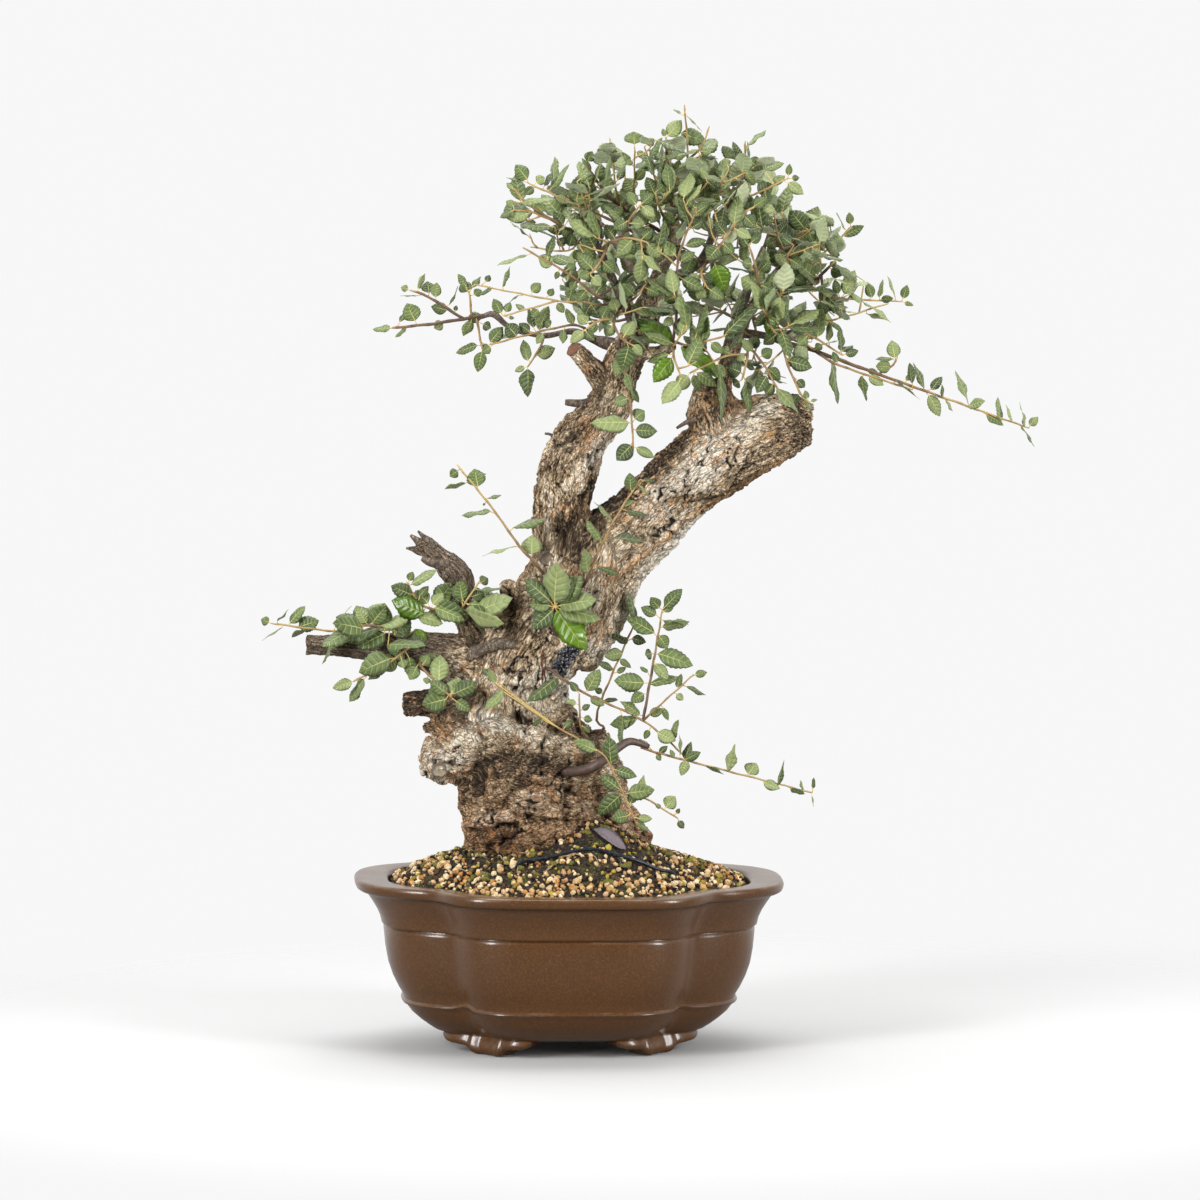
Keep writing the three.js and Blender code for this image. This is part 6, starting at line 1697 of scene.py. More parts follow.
# Black paste that seals a wound, and a streak of dried sap beside it
PASTE_RUN = ((6, 373), (-4, 360), (-10, 348))
PASTE_SIZE = (1.8, 3.2)
PASTE_PROFILE = [(0.1, -0.99), (0.5, -0.86), (0.87, -0.5), (1, 0), (0.87, 0.5), (0.5, 0.86), (0.1, 0.99)]
SAP_RUN = ((-25, 371), (-24, 366), (-24.5, 361), (-25, 355), (-24, 349), (-24.5, 343), (-24, 337))
SAP_RADII = [0.4, 0.9, 0.6, 1.1, 0.6, 1, 0.4]
SAP_SHIFT = 2.6


def build_wound(bark):
    rng = np.random.default_rng(5)
    paste = Gather()
    route, _ = smooth_route([(x, h, 0) for x, h in PASTE_RUN], [1] * len(PASTE_RUN), 1.2)
    for x, h, _ in route:
        for side in (-4, 0, 4):
            place = x + side + rng.uniform(-1, 1), h - 0.6 * side + rng.uniform(-1, 1)
            spot, normal = bark_spot(bark, *place)
            size = rng.uniform(*PASTE_SIZE)
            profile = [(share, height * size * 0.6) for share, height in PASTE_PROFILE]
            points, faces, _ = button(spot, normal, size, profile, x + side, sides=12)
            paste.add(points, faces)
    finish_piece(paste.piece("wound_paste", [PASTE]), "trunk")
    sap = Gather()
    for shift in (0, SAP_SHIFT):
        spots = [bark_spot(bark, x + shift, h - 3 * shift)[0] + 0.9 * VIEWER_WAY for x, h in SAP_RUN]
        samples, sizes = smooth_route(spots, SAP_RADII, 1.5)
        sap.add_tube(samples, sizes * (1 - 0.3 * shift / SAP_SHIFT), 8)
    finish_piece(sap.piece("dried_sap", [SAP]), "trunk")


# Limbs whose skin has stayed smooth, and limbs that leave the trunk's face and start inside it
YOUNG_LIMBS = ("smooth side branch",)
LIMB_STARTS = {
    "grown over limb": [(-116, 338, 4, 7), (-100, 356, -14, 7), (-80, 369, -28, 6)],
    "smooth side branch": [(-26, 262, -26, 4.8), (0, 256, -50, 4.9)],
}

# How grey the bark of the thin old limbs gets, at the most and on the darkest limbs
AGED_MOST = 0.66
DARK_LIMBS = {"grown over limb": 1, "hollow stub": 1}
ARM_SIDES = 14
SPLINTER_SIDES = 9

# Splinters at the broken end of the dead stub
SPLINTERS = [
    [(-128, 461, -5, 6.5), (-139, 469, -6, 4), (-147, 475, -7, 1)],
    [(-130, 458, -4, 5), (-143, 462, -3, 3), (-151, 463, -4, 0.8)],
    [(-124, 464, -6, 5), (-134, 473, -8, 2.6), (-140, 479, -9, 0.8)],
]


def splintered(angle, step):
    return 1 + 0.22 * np.sin(4 * angle) + 0.1 * np.sin(2 * angle + 0.8 * step)


def furrowed(angle, step):
    return 1 + 0.07 * np.sin(3 * angle + 0.12 * step) + 0.05 * np.sin(7 * angle - 0.05 * step)


def build_arms():
    gather = Gather()
    for number, (name, route) in enumerate(WOOD.items()):
        if is_thick(name) or name in BURIED:
            continue
        samples, sizes = picked_curve(LIMB_STARTS.get(name, route[:2]) + route[2:], 4)
        if name in YOUNG_LIMBS:
            gather.add_tube(samples, sizes, ARM_SIDES, old=0)
            continue
        rough = 1 + 0.08 * np.sin(np.arange(len(samples)) * 0.9 + number)
        age = np.clip(sizes / 5, 0, DARK_LIMBS.get(name, AGED_MOST))
        gather.add_tube(samples, sizes * rough, ARM_SIDES, waver=furrowed, old=np.repeat(age, ARM_SIDES))
    for route in SPLINTERS:
        samples, sizes = picked_curve(route, 2)
        gather.add_tube(samples, sizes, SPLINTER_SIDES, waver=splintered, old=0.9)
    finish_piece(gather.piece("arms", [ARM_BARK]), "trunk")


# The pot's plan: distance from the middle at an angle, for the rim's full size
def plan_radius(angle):
    c = np.abs(np.cos(angle))
    s = np.abs(np.sin(angle))

    def lobe(reach, half, power):
        return ((c / reach) ** power + (s / half) ** power) ** (-1 / power)

    blend = LOBE_BLEND
    return (lobe(*SIDE_LOBE) ** blend + lobe(*FRONT_LOBE) ** blend) ** (1 / blend)


# Points of the pot at a height, turned with it and lowered where its rim droops
def plan_points(angle, radius, z):
    x = radius * np.cos(angle)
    y = radius * np.sin(angle)
    turned_x = x * math.cos(POT_TURN) - y * math.sin(POT_TURN)
    turned_y = x * math.sin(POT_TURN) + y * math.cos(POT_TURN)
    z = z - RIM_DROOP * (turned_x / POT_LENGTH) * (z / POT_HEIGHT)
    return np.stack(np.broadcast_arrays(turned_x, turned_y, z), -1)


# How near an angle is to a notch between two lobes, from 0 to 1
def notch_nearness(angle):
    folded = np.abs((angle + math.pi / 2) % math.pi - math.pi / 2)
    return np.exp(-((folded - NOTCH_ANGLE) / math.radians(5)) ** 2)


def pot_wall():
    angle = round_angles(PLAN_STEPS)
    radius = plan_radius(angle)
    rib_rise = RIB_RISE * notch_nearness(angle)
    rings = []
    for z, share in POT_OUTSIDE:
        rings.append(plan_points(angle, radius * share, z + rib_rise * (abs(z - RIB_HEIGHT) < RIB_BAND)))
    for z, share in POT_INSIDE:
        rings.append(plan_points(angle, radius * share, z))
    return np.concatenate(rings), tube_faces(len(rings), PLAN_STEPS)


# One bracket foot: a curved bar under the wall with a lobed toe at the notch
FOOT_STATIONS = 72
FOOT_ROUNDING = 16
FOOT_INSET = 2.4
TOE_SPREAD = 6
SIDE_SPREAD = 3
TOE_LOBES = 1.6
SIDE_LOBES = 1.8
SIDE_FROM = 0.42


# How far a foot stands out beyond its bar, at a share of its half length
def toe_bulge(share):
    centre_lobes = TOE_LOBES * abs(math.cos(8.2 * share)) * float(smooth_step(0.4 - share, 0, 0.06))
    side_share = min(1, max(0, (share - SIDE_FROM) / (1 - SIDE_FROM)))
    return centre_lobes + SIDE_LOBES * math.sin(math.pi * side_share) ** 0.6


def foot_mesh(middle):
    table = np.array(FOOT_PROFILE[::-1])
    rings = []
    for u in np.linspace(-1, 1, FOOT_STATIONS):
        near = np.abs(u + np.linspace(-0.045, 0.045, 7))
        z = float(np.interp(near, table[:, 0], table[:, 1]).mean())
        angle = middle + u * FOOT_HALF_ANGLE
        outer = float(plan_radius(angle)) * POT_BASE_SHARE
        toe = toe_bulge(abs(u))
        spread = SIDE_SPREAD + (TOE_SPREAD - SIDE_SPREAD) * float(smooth_step(0.5 - abs(u), 0, 0.3))
        section = [(outer - FOOT_DEPTH, FOOT_TOP), (outer - 2, FOOT_TOP)]
        for k in range(FOOT_ROUNDING):
            turn = math.pi * (0.08 + 0.92 * k / (FOOT_ROUNDING - 1))
            reach = FOOT_INSET + toe + spread * 0.5 * (1 - math.cos(turn))
            height = z + (FOOT_TOP - z) * 0.5 * (1 + math.cos(turn))
            section.append((outer - FOOT_INSET + reach * math.sin(turn) ** 0.7, height))
        section += [(outer - FOOT_DEPTH + 1.5, z), (outer - FOOT_DEPTH, z + 1.5)]
        rings.append(np.array([plan_points(angle, r, h) for r, h in section]))
    return np.concatenate(rings), tube_faces(len(rings), len(section))


def cut_with(piece, other, operation):
    change = piece.modifiers.new("cut", "BOOLEAN")
    change.operation = operation
    change.object = other
    change.solver = "MANIFOLD"
    made = worked_mesh(piece)
    piece.modifiers.remove(change)
    piece.data = made
    bpy.data.objects.remove(other)


def drain_cutter(side):
    angle = round_angles(DRAIN_SIDES)
    rings = []
    for z, radius in DRAIN_CUTTER:
        x = side * DRAIN_ACROSS + radius * np.cos(angle)
        rings.append(np.stack([x, radius * np.sin(angle), np.full(DRAIN_SIDES, float(z))], -1))
    return np.concatenate(rings), tube_faces(len(rings), DRAIN_SIDES)


def build_pot():
    piece = add_mesh("clay_pot", *pot_wall())
    for middle in (NOTCH_ANGLE, math.pi - NOTCH_ANGLE, math.pi + NOTCH_ANGLE, -NOTCH_ANGLE):
        cut_with(piece, add_mesh("foot", *foot_mesh(middle)), "UNION")
    for side in (-1, 1):
        cut_with(piece, add_mesh("cutter", *drain_cutter(side)), "DIFFERENCE")
    piece.data.materials.clear()
    piece.data.materials.append(CLAY)
    piece.data.polygons.foreach_set("use_smooth", np.ones(len(piece.data.polygons), bool))
    piece.data.set_sharp_from_angle(angle=math.radians(42))
    finish_piece(piece, "pot")


# A woven square of plastic over each drain hole
def build_lattice(side, name, node):
    gather = Gather()
    half = LATTICE_SIZE / 2
    z = FLOOR_TOP + 0.3 + RIM_DROOP / 6 + LATTICE_THICKNESS / 2
    count = int(LATTICE_SIZE / LATTICE_PITCH)
    steps = np.linspace(-half + 0.1, half - 0.1, LATTICE_STATIONS)
    for i in range(count + 1):
        offset = -half + 0.7 + i * (LATTICE_SIZE - 1.4) / count
        for along_x in (True, False):
            lift = 0.14 if along_x else -0.14
            wave = lift * np.cos(np.arange(LATTICE_STATIONS) * math.pi)
            run = [(t, offset) if along_x else (offset, t) for t in steps]
            samples = np.array([(side * DRAIN_ACROSS + a, b, z + w) for (a, b), w in zip(run, wave)])
            gather.add_tube(samples, np.full(LATTICE_STATIONS, LATTICE_THREAD), 6)
    finish_piece(gather.piece(name, [DRAIN_PLASTIC]), node)


# Height of the soil's surface under a point
def soil_at(x, y):
    flat_x = x * math.cos(POT_TURN) + y * math.sin(POT_TURN)
    flat_y = y * math.cos(POT_TURN) - x * math.sin(POT_TURN)
    share = np.hypot(flat_x, flat_y) / (plan_radius(np.arctan2(flat_y, flat_x)) * SOIL_WALL_SHARE)
    mound = ROOT_MOUND["rise"] * np.exp(-0.5 * ((x - ROOT_MOUND["x"]) / ROOT_MOUND["spread_x"]) ** 2
                                        - 0.5 * ((y - ROOT_MOUND["y"]) / ROOT_MOUND["spread_y"]) ** 2)
    share = np.minimum(share, 1)
    height = SOIL_EDGE + (SOIL_RISE - SOIL_FALL * x / 166) * (1 - share ** 2.2) + mound * (1 - share ** 6)
    return height - RIM_DROOP * (x / POT_LENGTH)


# A point that lies some way above the soil
def on_soil(x, y, lift):
    return np.array([x, y, float(soil_at(x, y)) + lift])


# The soil's bed: height and share of the rim's plan below its surface, and the surface's rings
BED_RINGS = ((30.0, 0.66), (130.0, 0.80), (151.0, 0.828))
BED_SIDES = 176
SURFACE_SHARES = np.linspace(1, 0.12, 46)
BED_SINK = 1.6


def build_soil():
    angle = round_angles(BED_SIDES)
    radius = plan_radius(angle)
    rings = [plan_points(angle, radius * share, z) for z, share in BED_RINGS]
    for share in SURFACE_SHARES:
        ring = plan_points(angle, radius * SOIL_WALL_SHARE * share - 0.6 * share, 0.0)
        ring[:, 2] = soil_at(ring[:, 0], ring[:, 1])
        ring[:, 2] = ring[:, 2] + 1.1 * layered_noise(ring / 7, 5, 3) - BED_SINK
        rings.append(ring)
    piece = add_mesh("soil_bed", np.concatenate(rings), tube_faces(len(rings), BED_SIDES), [SOIL_BED])
    finish_piece(piece, "soil")


# A rough lump: two points with two rings of six corners between them
def lump_mesh():
    upper = [(math.cos(a), math.sin(a), 0.45) for a in (k * 2 * math.pi / 6 for k in range(6))]
    lower = [(math.cos(a), math.sin(a), -0.45) for a in (0.52 + k * 2 * math.pi / 6 for k in range(6))]
    points = np.array([(0, 0, 1)] + upper + lower + [(0, 0, -1)])
    points /= np.linalg.norm(points, axis=1)[:, None]
    ring = [(1 + k, 1 + (k + 1) % 6) for k in range(6)]
    faces = [(0, a, b) for a, b in ring]
    for a, b in ring:
        faces += [(a, a + 6, b), (b, a + 6, b + 6)]
    return points, faces + [(13, b + 6, a + 6) for a, b in ring]


LUMP_POINTS, LUMP_FACES = lump_mesh()
FALLEN_LEAF = {"x": 38, "y": -69, "length": 31, "width": 15, "turn": -0.3}
LEAF_ROOM = (18, 9)

# How common each shade of grain is in the middle and at the wall; the last two are flat flakes
GRAIN_COUNT = 3000
GRAIN_MIX = {"middle": [9, 6, 4, 4, 12, 14, 22, 32], "wall": [31, 14, 7, 10, 8, 5, 12, 18]}
FLAT_FROM = 6
FLAKE_FLATNESS = 0.45
CREAM_STONE = {"x": -51, "y": -86, "size": 5.2}


# True for a point inside the wood's finished surface
def under_bark(bark, point):
    near, normal, _, _ = bark.find_nearest(Vector(point))
    return (Vector(point) - near).dot(normal) < 0


def soil_spot(rng, least, most, bark):
    while True:
        angle = rng.uniform(0, 2 * math.pi)
        share = math.sqrt(rng.uniform(least ** 2, most ** 2))
        reach = plan_radius(angle) * (SOIL_WALL_SHARE - 0.012) * share
        x, y, _ = plan_points(angle, reach, 0.0)
        z = float(soil_at(x, y))
        away = math.hypot((x - FALLEN_LEAF["x"]) / LEAF_ROOM[0], (y - FALLEN_LEAF["y"]) / LEAF_ROOM[1])
        if away >= 1 and not under_bark(bark, (x, y, z)):
            return np.array([x, y, z]), share


def lump(rng, size, flat=1.0):
    shape = LUMP_POINTS * rng.uniform(0.75, 1.2, (14, 1)) * size * rng.uniform(0.7, 1.15, 3) * [1, 1, flat]
    axis = Quaternion(Vector(rng.normal(size=3)).normalized(), rng.uniform(0, 3)).to_matrix()
    return shape @ np.array(axis).T


def build_grains(bark):
    rng = np.random.default_rng(11)
    gather = Gather()
    for _ in range(GRAIN_COUNT):
        spot, share = soil_spot(rng, 0.1, 1.0, bark)
        zone = smooth_step(share + rng.uniform(-0.12, 0.12), 0.6, 0.86)
        mix = np.array(GRAIN_MIX["middle"]) * (1 - zone) + np.array(GRAIN_MIX["wall"]) * zone
        kind = rng.choice(len(mix), p=mix / mix.sum())
        size = 1.0 + 2.1 * rng.uniform() ** 1.4 + 0.8 * zone * rng.uniform()
        flat = FLAKE_FLATNESS if kind >= FLAT_FROM else 1.0
        points = lump(rng, size, flat) + spot + [0, 0, -0.4 + 0.5 * zone]
        gather.add(points, LUMP_FACES, tone=rng.uniform(), tint=(kind + 0.5) / len(mix))
    spot = on_soil(CREAM_STONE["x"], CREAM_STONE["y"], 2)
    gather.add(lump(rng, CREAM_STONE["size"]) + spot, LUMP_FACES, tone=0.6, tint=0.05)
    finish_piece(gather.piece("soil_grains", [GRAIN], smooth=False), "soil")


MOSS_COUNT = 46
MOSS_PROFILE = [(1.1, -1.5), (1, 0.2), (0.86, 0.9), (0.6, 1.5), (0.3, 1.8), (0.05, 1.9)]
ROOT_COUNT = 34
ROOT_STEP = 6


def build_moss(bark):
    rng = np.random.default_rng(23)
    gather = Gather()
    for number in range(MOSS_COUNT):
        spot, _ = soil_spot(rng, 0.35, 0.9, bark)
        size = rng.uniform(2.6, 6.2)
        oval = rng.uniform(0.6, 1)
        points, faces, _ = button(spot, np.array([0.1, -0.1, 1]), size, MOSS_PROFILE, number, oval, 18)
        gather.add(points + 0.5 * noise_shift(points, 1.6, 31), faces)
    finish_piece(gather.piece("moss", [MOSS]), "soil")


# Fine roots that wander over the soil, with both ends in it
def build_fine_roots(bark):
    rng = np.random.default_rng(37)
    gather = Gather()
    for _ in range(ROOT_COUNT):
        spot, _ = soil_spot(rng, 0.4, 0.85, bark)
        heading = rng.uniform(0, 2 * math.pi)
        points = []
        for step in range(rng.integers(4, 8)):
            points.append(on_soil(spot[0], spot[1], -2.5 if step == 0 else rng.uniform(0.2, 1.8)))
            heading += rng.uniform(-0.8, 0.8)
            spot = spot + ROOT_STEP * np.array([math.cos(heading), math.sin(heading), 0])
        points[-1][2] -= 3
        radius = rng.uniform(0.35, 0.8)
        samples, sizes = smooth_route(points, [radius] * (len(points) - 1) + [0.2], 2)
        gather.add_tube(samples, sizes, 6)
    finish_piece(gather.piece("fine_roots", [FINE_ROOT]), "soil")


# The tie wire crosses the soil and dips into it at both ends; two strands are twisted to a tail
WIRE_RADIUS = 1.7
WIRE_ROUTE = [
    (-54, -90), (-46, -87), (-30, -86), (-12, -86), (8, -85), (26, -85), (42, -86), (56, -84), (70, -80),
    (84, -74), (96, -66), (102, -60),
]
WIRE_LIFT = 1.2
WIRE_DIP = -9
TAIL_START = (46, -86, 1.5)
TAIL_END = (50, -93, 4)
TAIL_SAMPLES = 26
STRAND_RADIUS = 0.62
TWIST_RADIUS = 0.85
TWIST_TURN = 9
TWIST_SIDES = (np.array([0.7, 0.5, 0.2]), np.array([-0.2, 0.1, 0.9]))


def build_wire():
    gather = Gather()
    lifts = [WIRE_DIP] + [WIRE_RADIUS + WIRE_LIFT] * (len(WIRE_ROUTE) - 2) + [WIRE_DIP]
    points = [on_soil(x, y, lift) for (x, y), lift in zip(WIRE_ROUTE, lifts)]
    samples, sizes = smooth_route(points, [WIRE_RADIUS] * len(points), 3)
    gather.add_tube(samples, sizes, 14)
    start = on_soil(*TAIL_START)
    end = on_soil(*TAIL_END)
    share = np.linspace(0, 1, TAIL_SAMPLES)[:, None]
    for first_turn in (0, math.pi):
        turn = TWIST_TURN * share + first_turn
        twist = np.cos(turn) * TWIST_SIDES[0] + np.sin(turn) * TWIST_SIDES[1]
        samples = start + (end - start) * share + TWIST_RADIUS * twist
        gather.add_tube(samples, np.full(TAIL_SAMPLES, STRAND_RADIUS), 8)
    finish_piece(gather.piece("tie_wire_finish", [WIRE]), "tie_wire")


# A dry leaf on the soil, with its edges curled up
def build_fallen_leaf():
    gather = Gather()
    stations = np.array(PLAIN_STATIONS)
    share = 1 - stations[::-1, 0][:, None]
    side = BLADE_SIDES[None]
    across = stations[::-1, 1][:, None] * side * FALLEN_LEAF["width"] / 2
    along = (share - 0.5) * FALLEN_LEAF["length"] + 0 * side
    turn = FALLEN_LEAF["turn"]
    x = FALLEN_LEAF["x"] + along * math.cos(turn) - across * math.sin(turn)
    y = FALLEN_LEAF["y"] + along * math.sin(turn) + across * math.cos(turn)
    z = soil_at(x, y) + 2.2 * side ** 2 * np.sin(math.pi * np.clip(share, 0.1, 0.9)) + 1.6
    top = np.stack([x, y, z], -1)
    faces = blade_faces(len(stations), len(BLADE_SIDES))
    gather.add(sheet(top, top - np.array([0, 0, 0.5])), faces, uv=blade_place(share, side), tone=0.5)
    finish_piece(gather.piece("dry_leaf", [DRY_LEAF]), "fallen_leaf")


# A colour from its usual 0 to 255 values
def colour(red, green, blue):
    return tuple((c / 255 / 12.92 if c / 255 <= 0.04045 else ((c / 255 + 0.055) / 1.055) ** 2.4)
                 for c in (red, green, blue)) + (1,)


# Writes shader nodes; an input may be a number, a colour or another node's output
class NodeWriter:
    def __init__(self, tree):
        self.tree = tree

    def add(self, kind, **settings):
        node = self.tree.nodes.new(kind)
        for key, value in settings.items():
            setattr(node, key, value)
        return node

    def feed(self, socket, value):
        if isinstance(value, bpy.types.NodeSocket):
            self.tree.links.new(value, socket)
        else:
            socket.default_value = value

    def math(self, operation, *values, clamp=False):
        node = self.add("ShaderNodeMath", operation=operation, use_clamp=clamp)
        for socket, value in zip(node.inputs, values):
            self.feed(socket, value)
        return node.outputs[0]

    def times(self, one, two, clamp=False):
        return self.math("MULTIPLY", one, two, clamp=clamp)

    def plus(self, one, two, clamp=False):
        return self.math("ADD", one, two, clamp=clamp)

    def most(self, one, two):
        return self.math("MAXIMUM", one, two)

    # Adds a value that swings round 0.5, by a share of it
    def swing(self, value, share, total):
        return self.math("MULTIPLY_ADD", self.math("SUBTRACT", value, 0.5), share, total)

    def vector(self, operation, one, two):
        node = self.add("ShaderNodeVectorMath", operation=operation)
        self.feed(node.inputs[0], one)
        self.feed(node.inputs["Scale" if operation == "SCALE" else 1], two)
        return node.outputs[0]

    def mix(self, share, one, two, blend="MIX"):
        node = self.add("ShaderNodeMix", data_type="RGBA", blend_type=blend)
        for socket, value in zip((node.inputs[0], node.inputs[6], node.inputs[7]), (share, one, two)):
            self.feed(socket, value)
        return node.outputs[2]

    # Lays a shade over a base where a mask is, at a strength
    def tint(self, base, mask, strength, shade, clamp=False):
        return self.mix(self.times(mask, strength, clamp), base, colour(*shade))

    def darker(self, base, shade):
        return self.mix(1.0, base, colour(*shade), blend="MULTIPLY")

    def range(self, value, low, high, to_low=0.0, to_high=1.0):
        node = self.add("ShaderNodeMapRange", interpolation_type="SMOOTHSTEP")
        for socket, number in zip(node.inputs, (value, low, high, to_low, to_high)):
            self.feed(socket, number)
        return node.outputs[0]

    # Shades along a value, each with its place on it
    def ramp(self, value, *stops, stepped=False):
        node = self.add("ShaderNodeValToRGB")
        points = node.color_ramp.elements
        while len(points) < len(stops):
            points.new(0.5)
        for point, (place, *shade) in zip(points, stops):
            point.position = place
            point.color = colour(*shade)
        node.color_ramp.interpolation = "CONSTANT" if stepped else "LINEAR"
        self.feed(node.inputs[0], value)
        return node.outputs["Color"]

    def noise(self, place, scale, detail=4.0, roughness=0.55, output="Fac"):
        node = self.add("ShaderNodeTexNoise")
        values = {"Vector": place, "Scale": scale, "Detail": detail, "Roughness": roughness}
        for key, value in values.items():
            self.feed(node.inputs[key], value)
        return node.outputs[output]

    def bump(self, height, strength, distance, normal=None):
        node = self.add("ShaderNodeBump")
        self.feed(node.inputs["Height"], height)
        node.inputs["Strength"].default_value = strength
        node.inputs["Distance"].default_value = distance
        if normal is not None:
            self.feed(node.inputs["Normal"], normal)
        return node.outputs["Normal"]

    def parts(self, vector):
        node = self.add("ShaderNodeSeparateXYZ")
        self.feed(node.inputs[0], vector)
        return node.outputs

    def attribute(self, name, output="Fac"):
        return self.add("ShaderNodeAttribute", attribute_name=name).outputs[output]

    def place(self, output="Object"):
        return self.add("ShaderNodeTexCoord").outputs[output]

    def group(self, tree, **values):
        node = self.add("ShaderNodeGroup", node_tree=tree)
        for key, value in values.items():
            self.feed(node.inputs[key], value)
        return node.outputs

    def grain(self, scale, contrast, place=None):
        place = place or self.place()
        return self.group(GRAIN_FIELD, Place=place, Scale=scale, Contrast=contrast)

    def cracks(self, place, scale, width, waver):
        return self.group(CRACK_NET, Place=place, Scale=scale, Width=width, Waver=waver)


class Finish(NodeWriter):
    def __init__(self, name, **settings):
        self.material = bpy.data.materials.new(name)
        self.material.use_nodes = True
        super().__init__(self.material.node_tree)
        self.skin = self.tree.nodes["Principled BSDF"]
        for key, value in settings.items():
            self.skin.inputs[key.replace("_", " ")].default_value = value

    def done(self, base, roughness, normal):
        self.feed(self.skin.inputs["Base Color"], base)
        self.feed(self.skin.inputs["Roughness"], roughness)
        self.feed(self.skin.inputs["Normal"], normal)
        return self.material


SOCKET_KINDS = {"value": "NodeSocketFloat", "vector": "NodeSocketVector"}


# A group of nodes whose inputs are named with their kinds, and whose outputs are values
def new_group(name, outputs, **inputs):
    tree = bpy.data.node_groups.new(name, "ShaderNodeTree")
    for key, kind in inputs.items():
        tree.interface.new_socket(key, in_out="INPUT", socket_type=SOCKET_KINDS[kind])
    for key in outputs:
        tree.interface.new_socket(key, in_out="OUTPUT", socket_type=SOCKET_KINDS["value"])
    writer = NodeWriter(tree)
    return writer, writer.add("NodeGroupInput").outputs, writer.add("NodeGroupOutput").inputs


# Grain: even speckles with their contrast raised
def grain_group():
    w, start, end = new_group("grain", ["Mask", "Height"], Place="vector", Scale="value", Contrast="value")
    fine = w.noise(start["Place"], start["Scale"], 5, 0.65)
    raised = w.times(w.math("SUBTRACT", fine, 0.5), start["Contrast"])
    w.feed(end["Mask"], w.plus(raised, 0.5, clamp=True))
    w.feed(end["Height"], fine)
    return w.tree


# A net of cracks between flakes, with a tone for each flake
def crack_group():
    w, start, end = new_group("cracks", ["Crack", "Tone", "Height"], Place="vector", Scale="value",
                              Width="value", Waver="value")
    shift = w.noise(start["Place"], start["Scale"], 2.0, 0.5, "Color")
    wavering = w.vector("SCALE", w.vector("SUBTRACT", shift, (0.5, 0.5, 0.5)), start["Waver"])
    moved = w.vector("ADD", start["Place"], wavering)
    edge = w.add("ShaderNodeTexVoronoi", feature="DISTANCE_TO_EDGE")
    flake = w.add("ShaderNodeTexVoronoi", feature="F1")
    for node in (edge, flake):
        w.feed(node.inputs["Vector"], moved)
        w.feed(node.inputs["Scale"], start["Scale"])
    shoulder = w.range(edge.outputs["Distance"], 0.0, start["Width"])
    w.feed(end["Crack"], w.math("SUBTRACT", 1.0, shoulder))
    channels = w.add("ShaderNodeSeparateColor")
    w.feed(channels.inputs[0], flake.outputs["Color"])
    w.feed(end["Tone"], channels.outputs[0])
    w.feed(end["Height"], w.plus(shoulder, w.times(channels.outputs[0], 0.4)))
    return w.tree


# Dust and lime that settle on faces that look up
def dust_group():
    w, start, end = new_group("dust", ["Mask"], Amount="value", Scale="value")
    up = w.range(w.parts(w.add("ShaderNodeNewGeometry").outputs["Normal"])["Z"], 0.1, 0.95)
    patches = w.range(w.noise(w.place(), start["Scale"], 5, 0.6), 0.4, 0.68)
    w.feed(end["Mask"], w.times(w.times(up, patches), start["Amount"]))
    return w.tree


# Veins of a leaf, from the blade's own length and width
def vein_group():
    w, start, end = new_group("veins", ["Midrib", "Veins", "Height", "Margin"], Pairs="value",
                              Fineness="value")
    blade = w.parts(w.add("ShaderNodeUVMap", uv_map="blade").outputs["UV"])
    along = blade["X"]
    side = w.math("ABSOLUTE", w.math("SUBTRACT", blade["Y"], 0.5))
    rib = w.math("SUBTRACT", 1.0, w.range(side, 0.0, w.range(along, 0.0, 1.0, 0.045, 0.014)))
    slant = w.math("SUBTRACT", along, w.times(side, 0.42))
    bow = w.plus(slant, w.times(w.times(side, side), 0.3))
    step = w.math("FRACT", w.times(bow, start["Pairs"]))
    nearness = w.math("ABSOLUTE", w.math("SUBTRACT", step, 0.5))
    vein = w.math("SUBTRACT", 1.0, w.range(nearness, 0.0, start["Fineness"]))
    vein = w.times(vein, w.range(side, 0.5, 0.3))
    w.feed(end["Midrib"], rib)
    w.feed(end["Veins"], vein)
    quilt = w.range(nearness, 0.0, 0.5)
    w.feed(end["Height"], w.math("SUBTRACT", quilt, w.times(w.most(rib, vein), 0.5)))
    w.feed(end["Margin"], w.range(side, 0.44, 0.5))
    return w.tree


GRAIN_FIELD = grain_group()
CRACK_NET = crack_group()
DUST = dust_group()
LEAF_VEINS = vein_group()


# A plain finish: one grain that picks the shade and roughens the surface
def grained_finish(name, scale, contrast, shades, roughness, strength, distance, **settings):
    m = Finish(name, **settings)
    grain = m.grain(scale, contrast)
    return m.done(m.ramp(grain["Mask"], *shades), roughness, m.bump(grain["Height"], strength, distance))


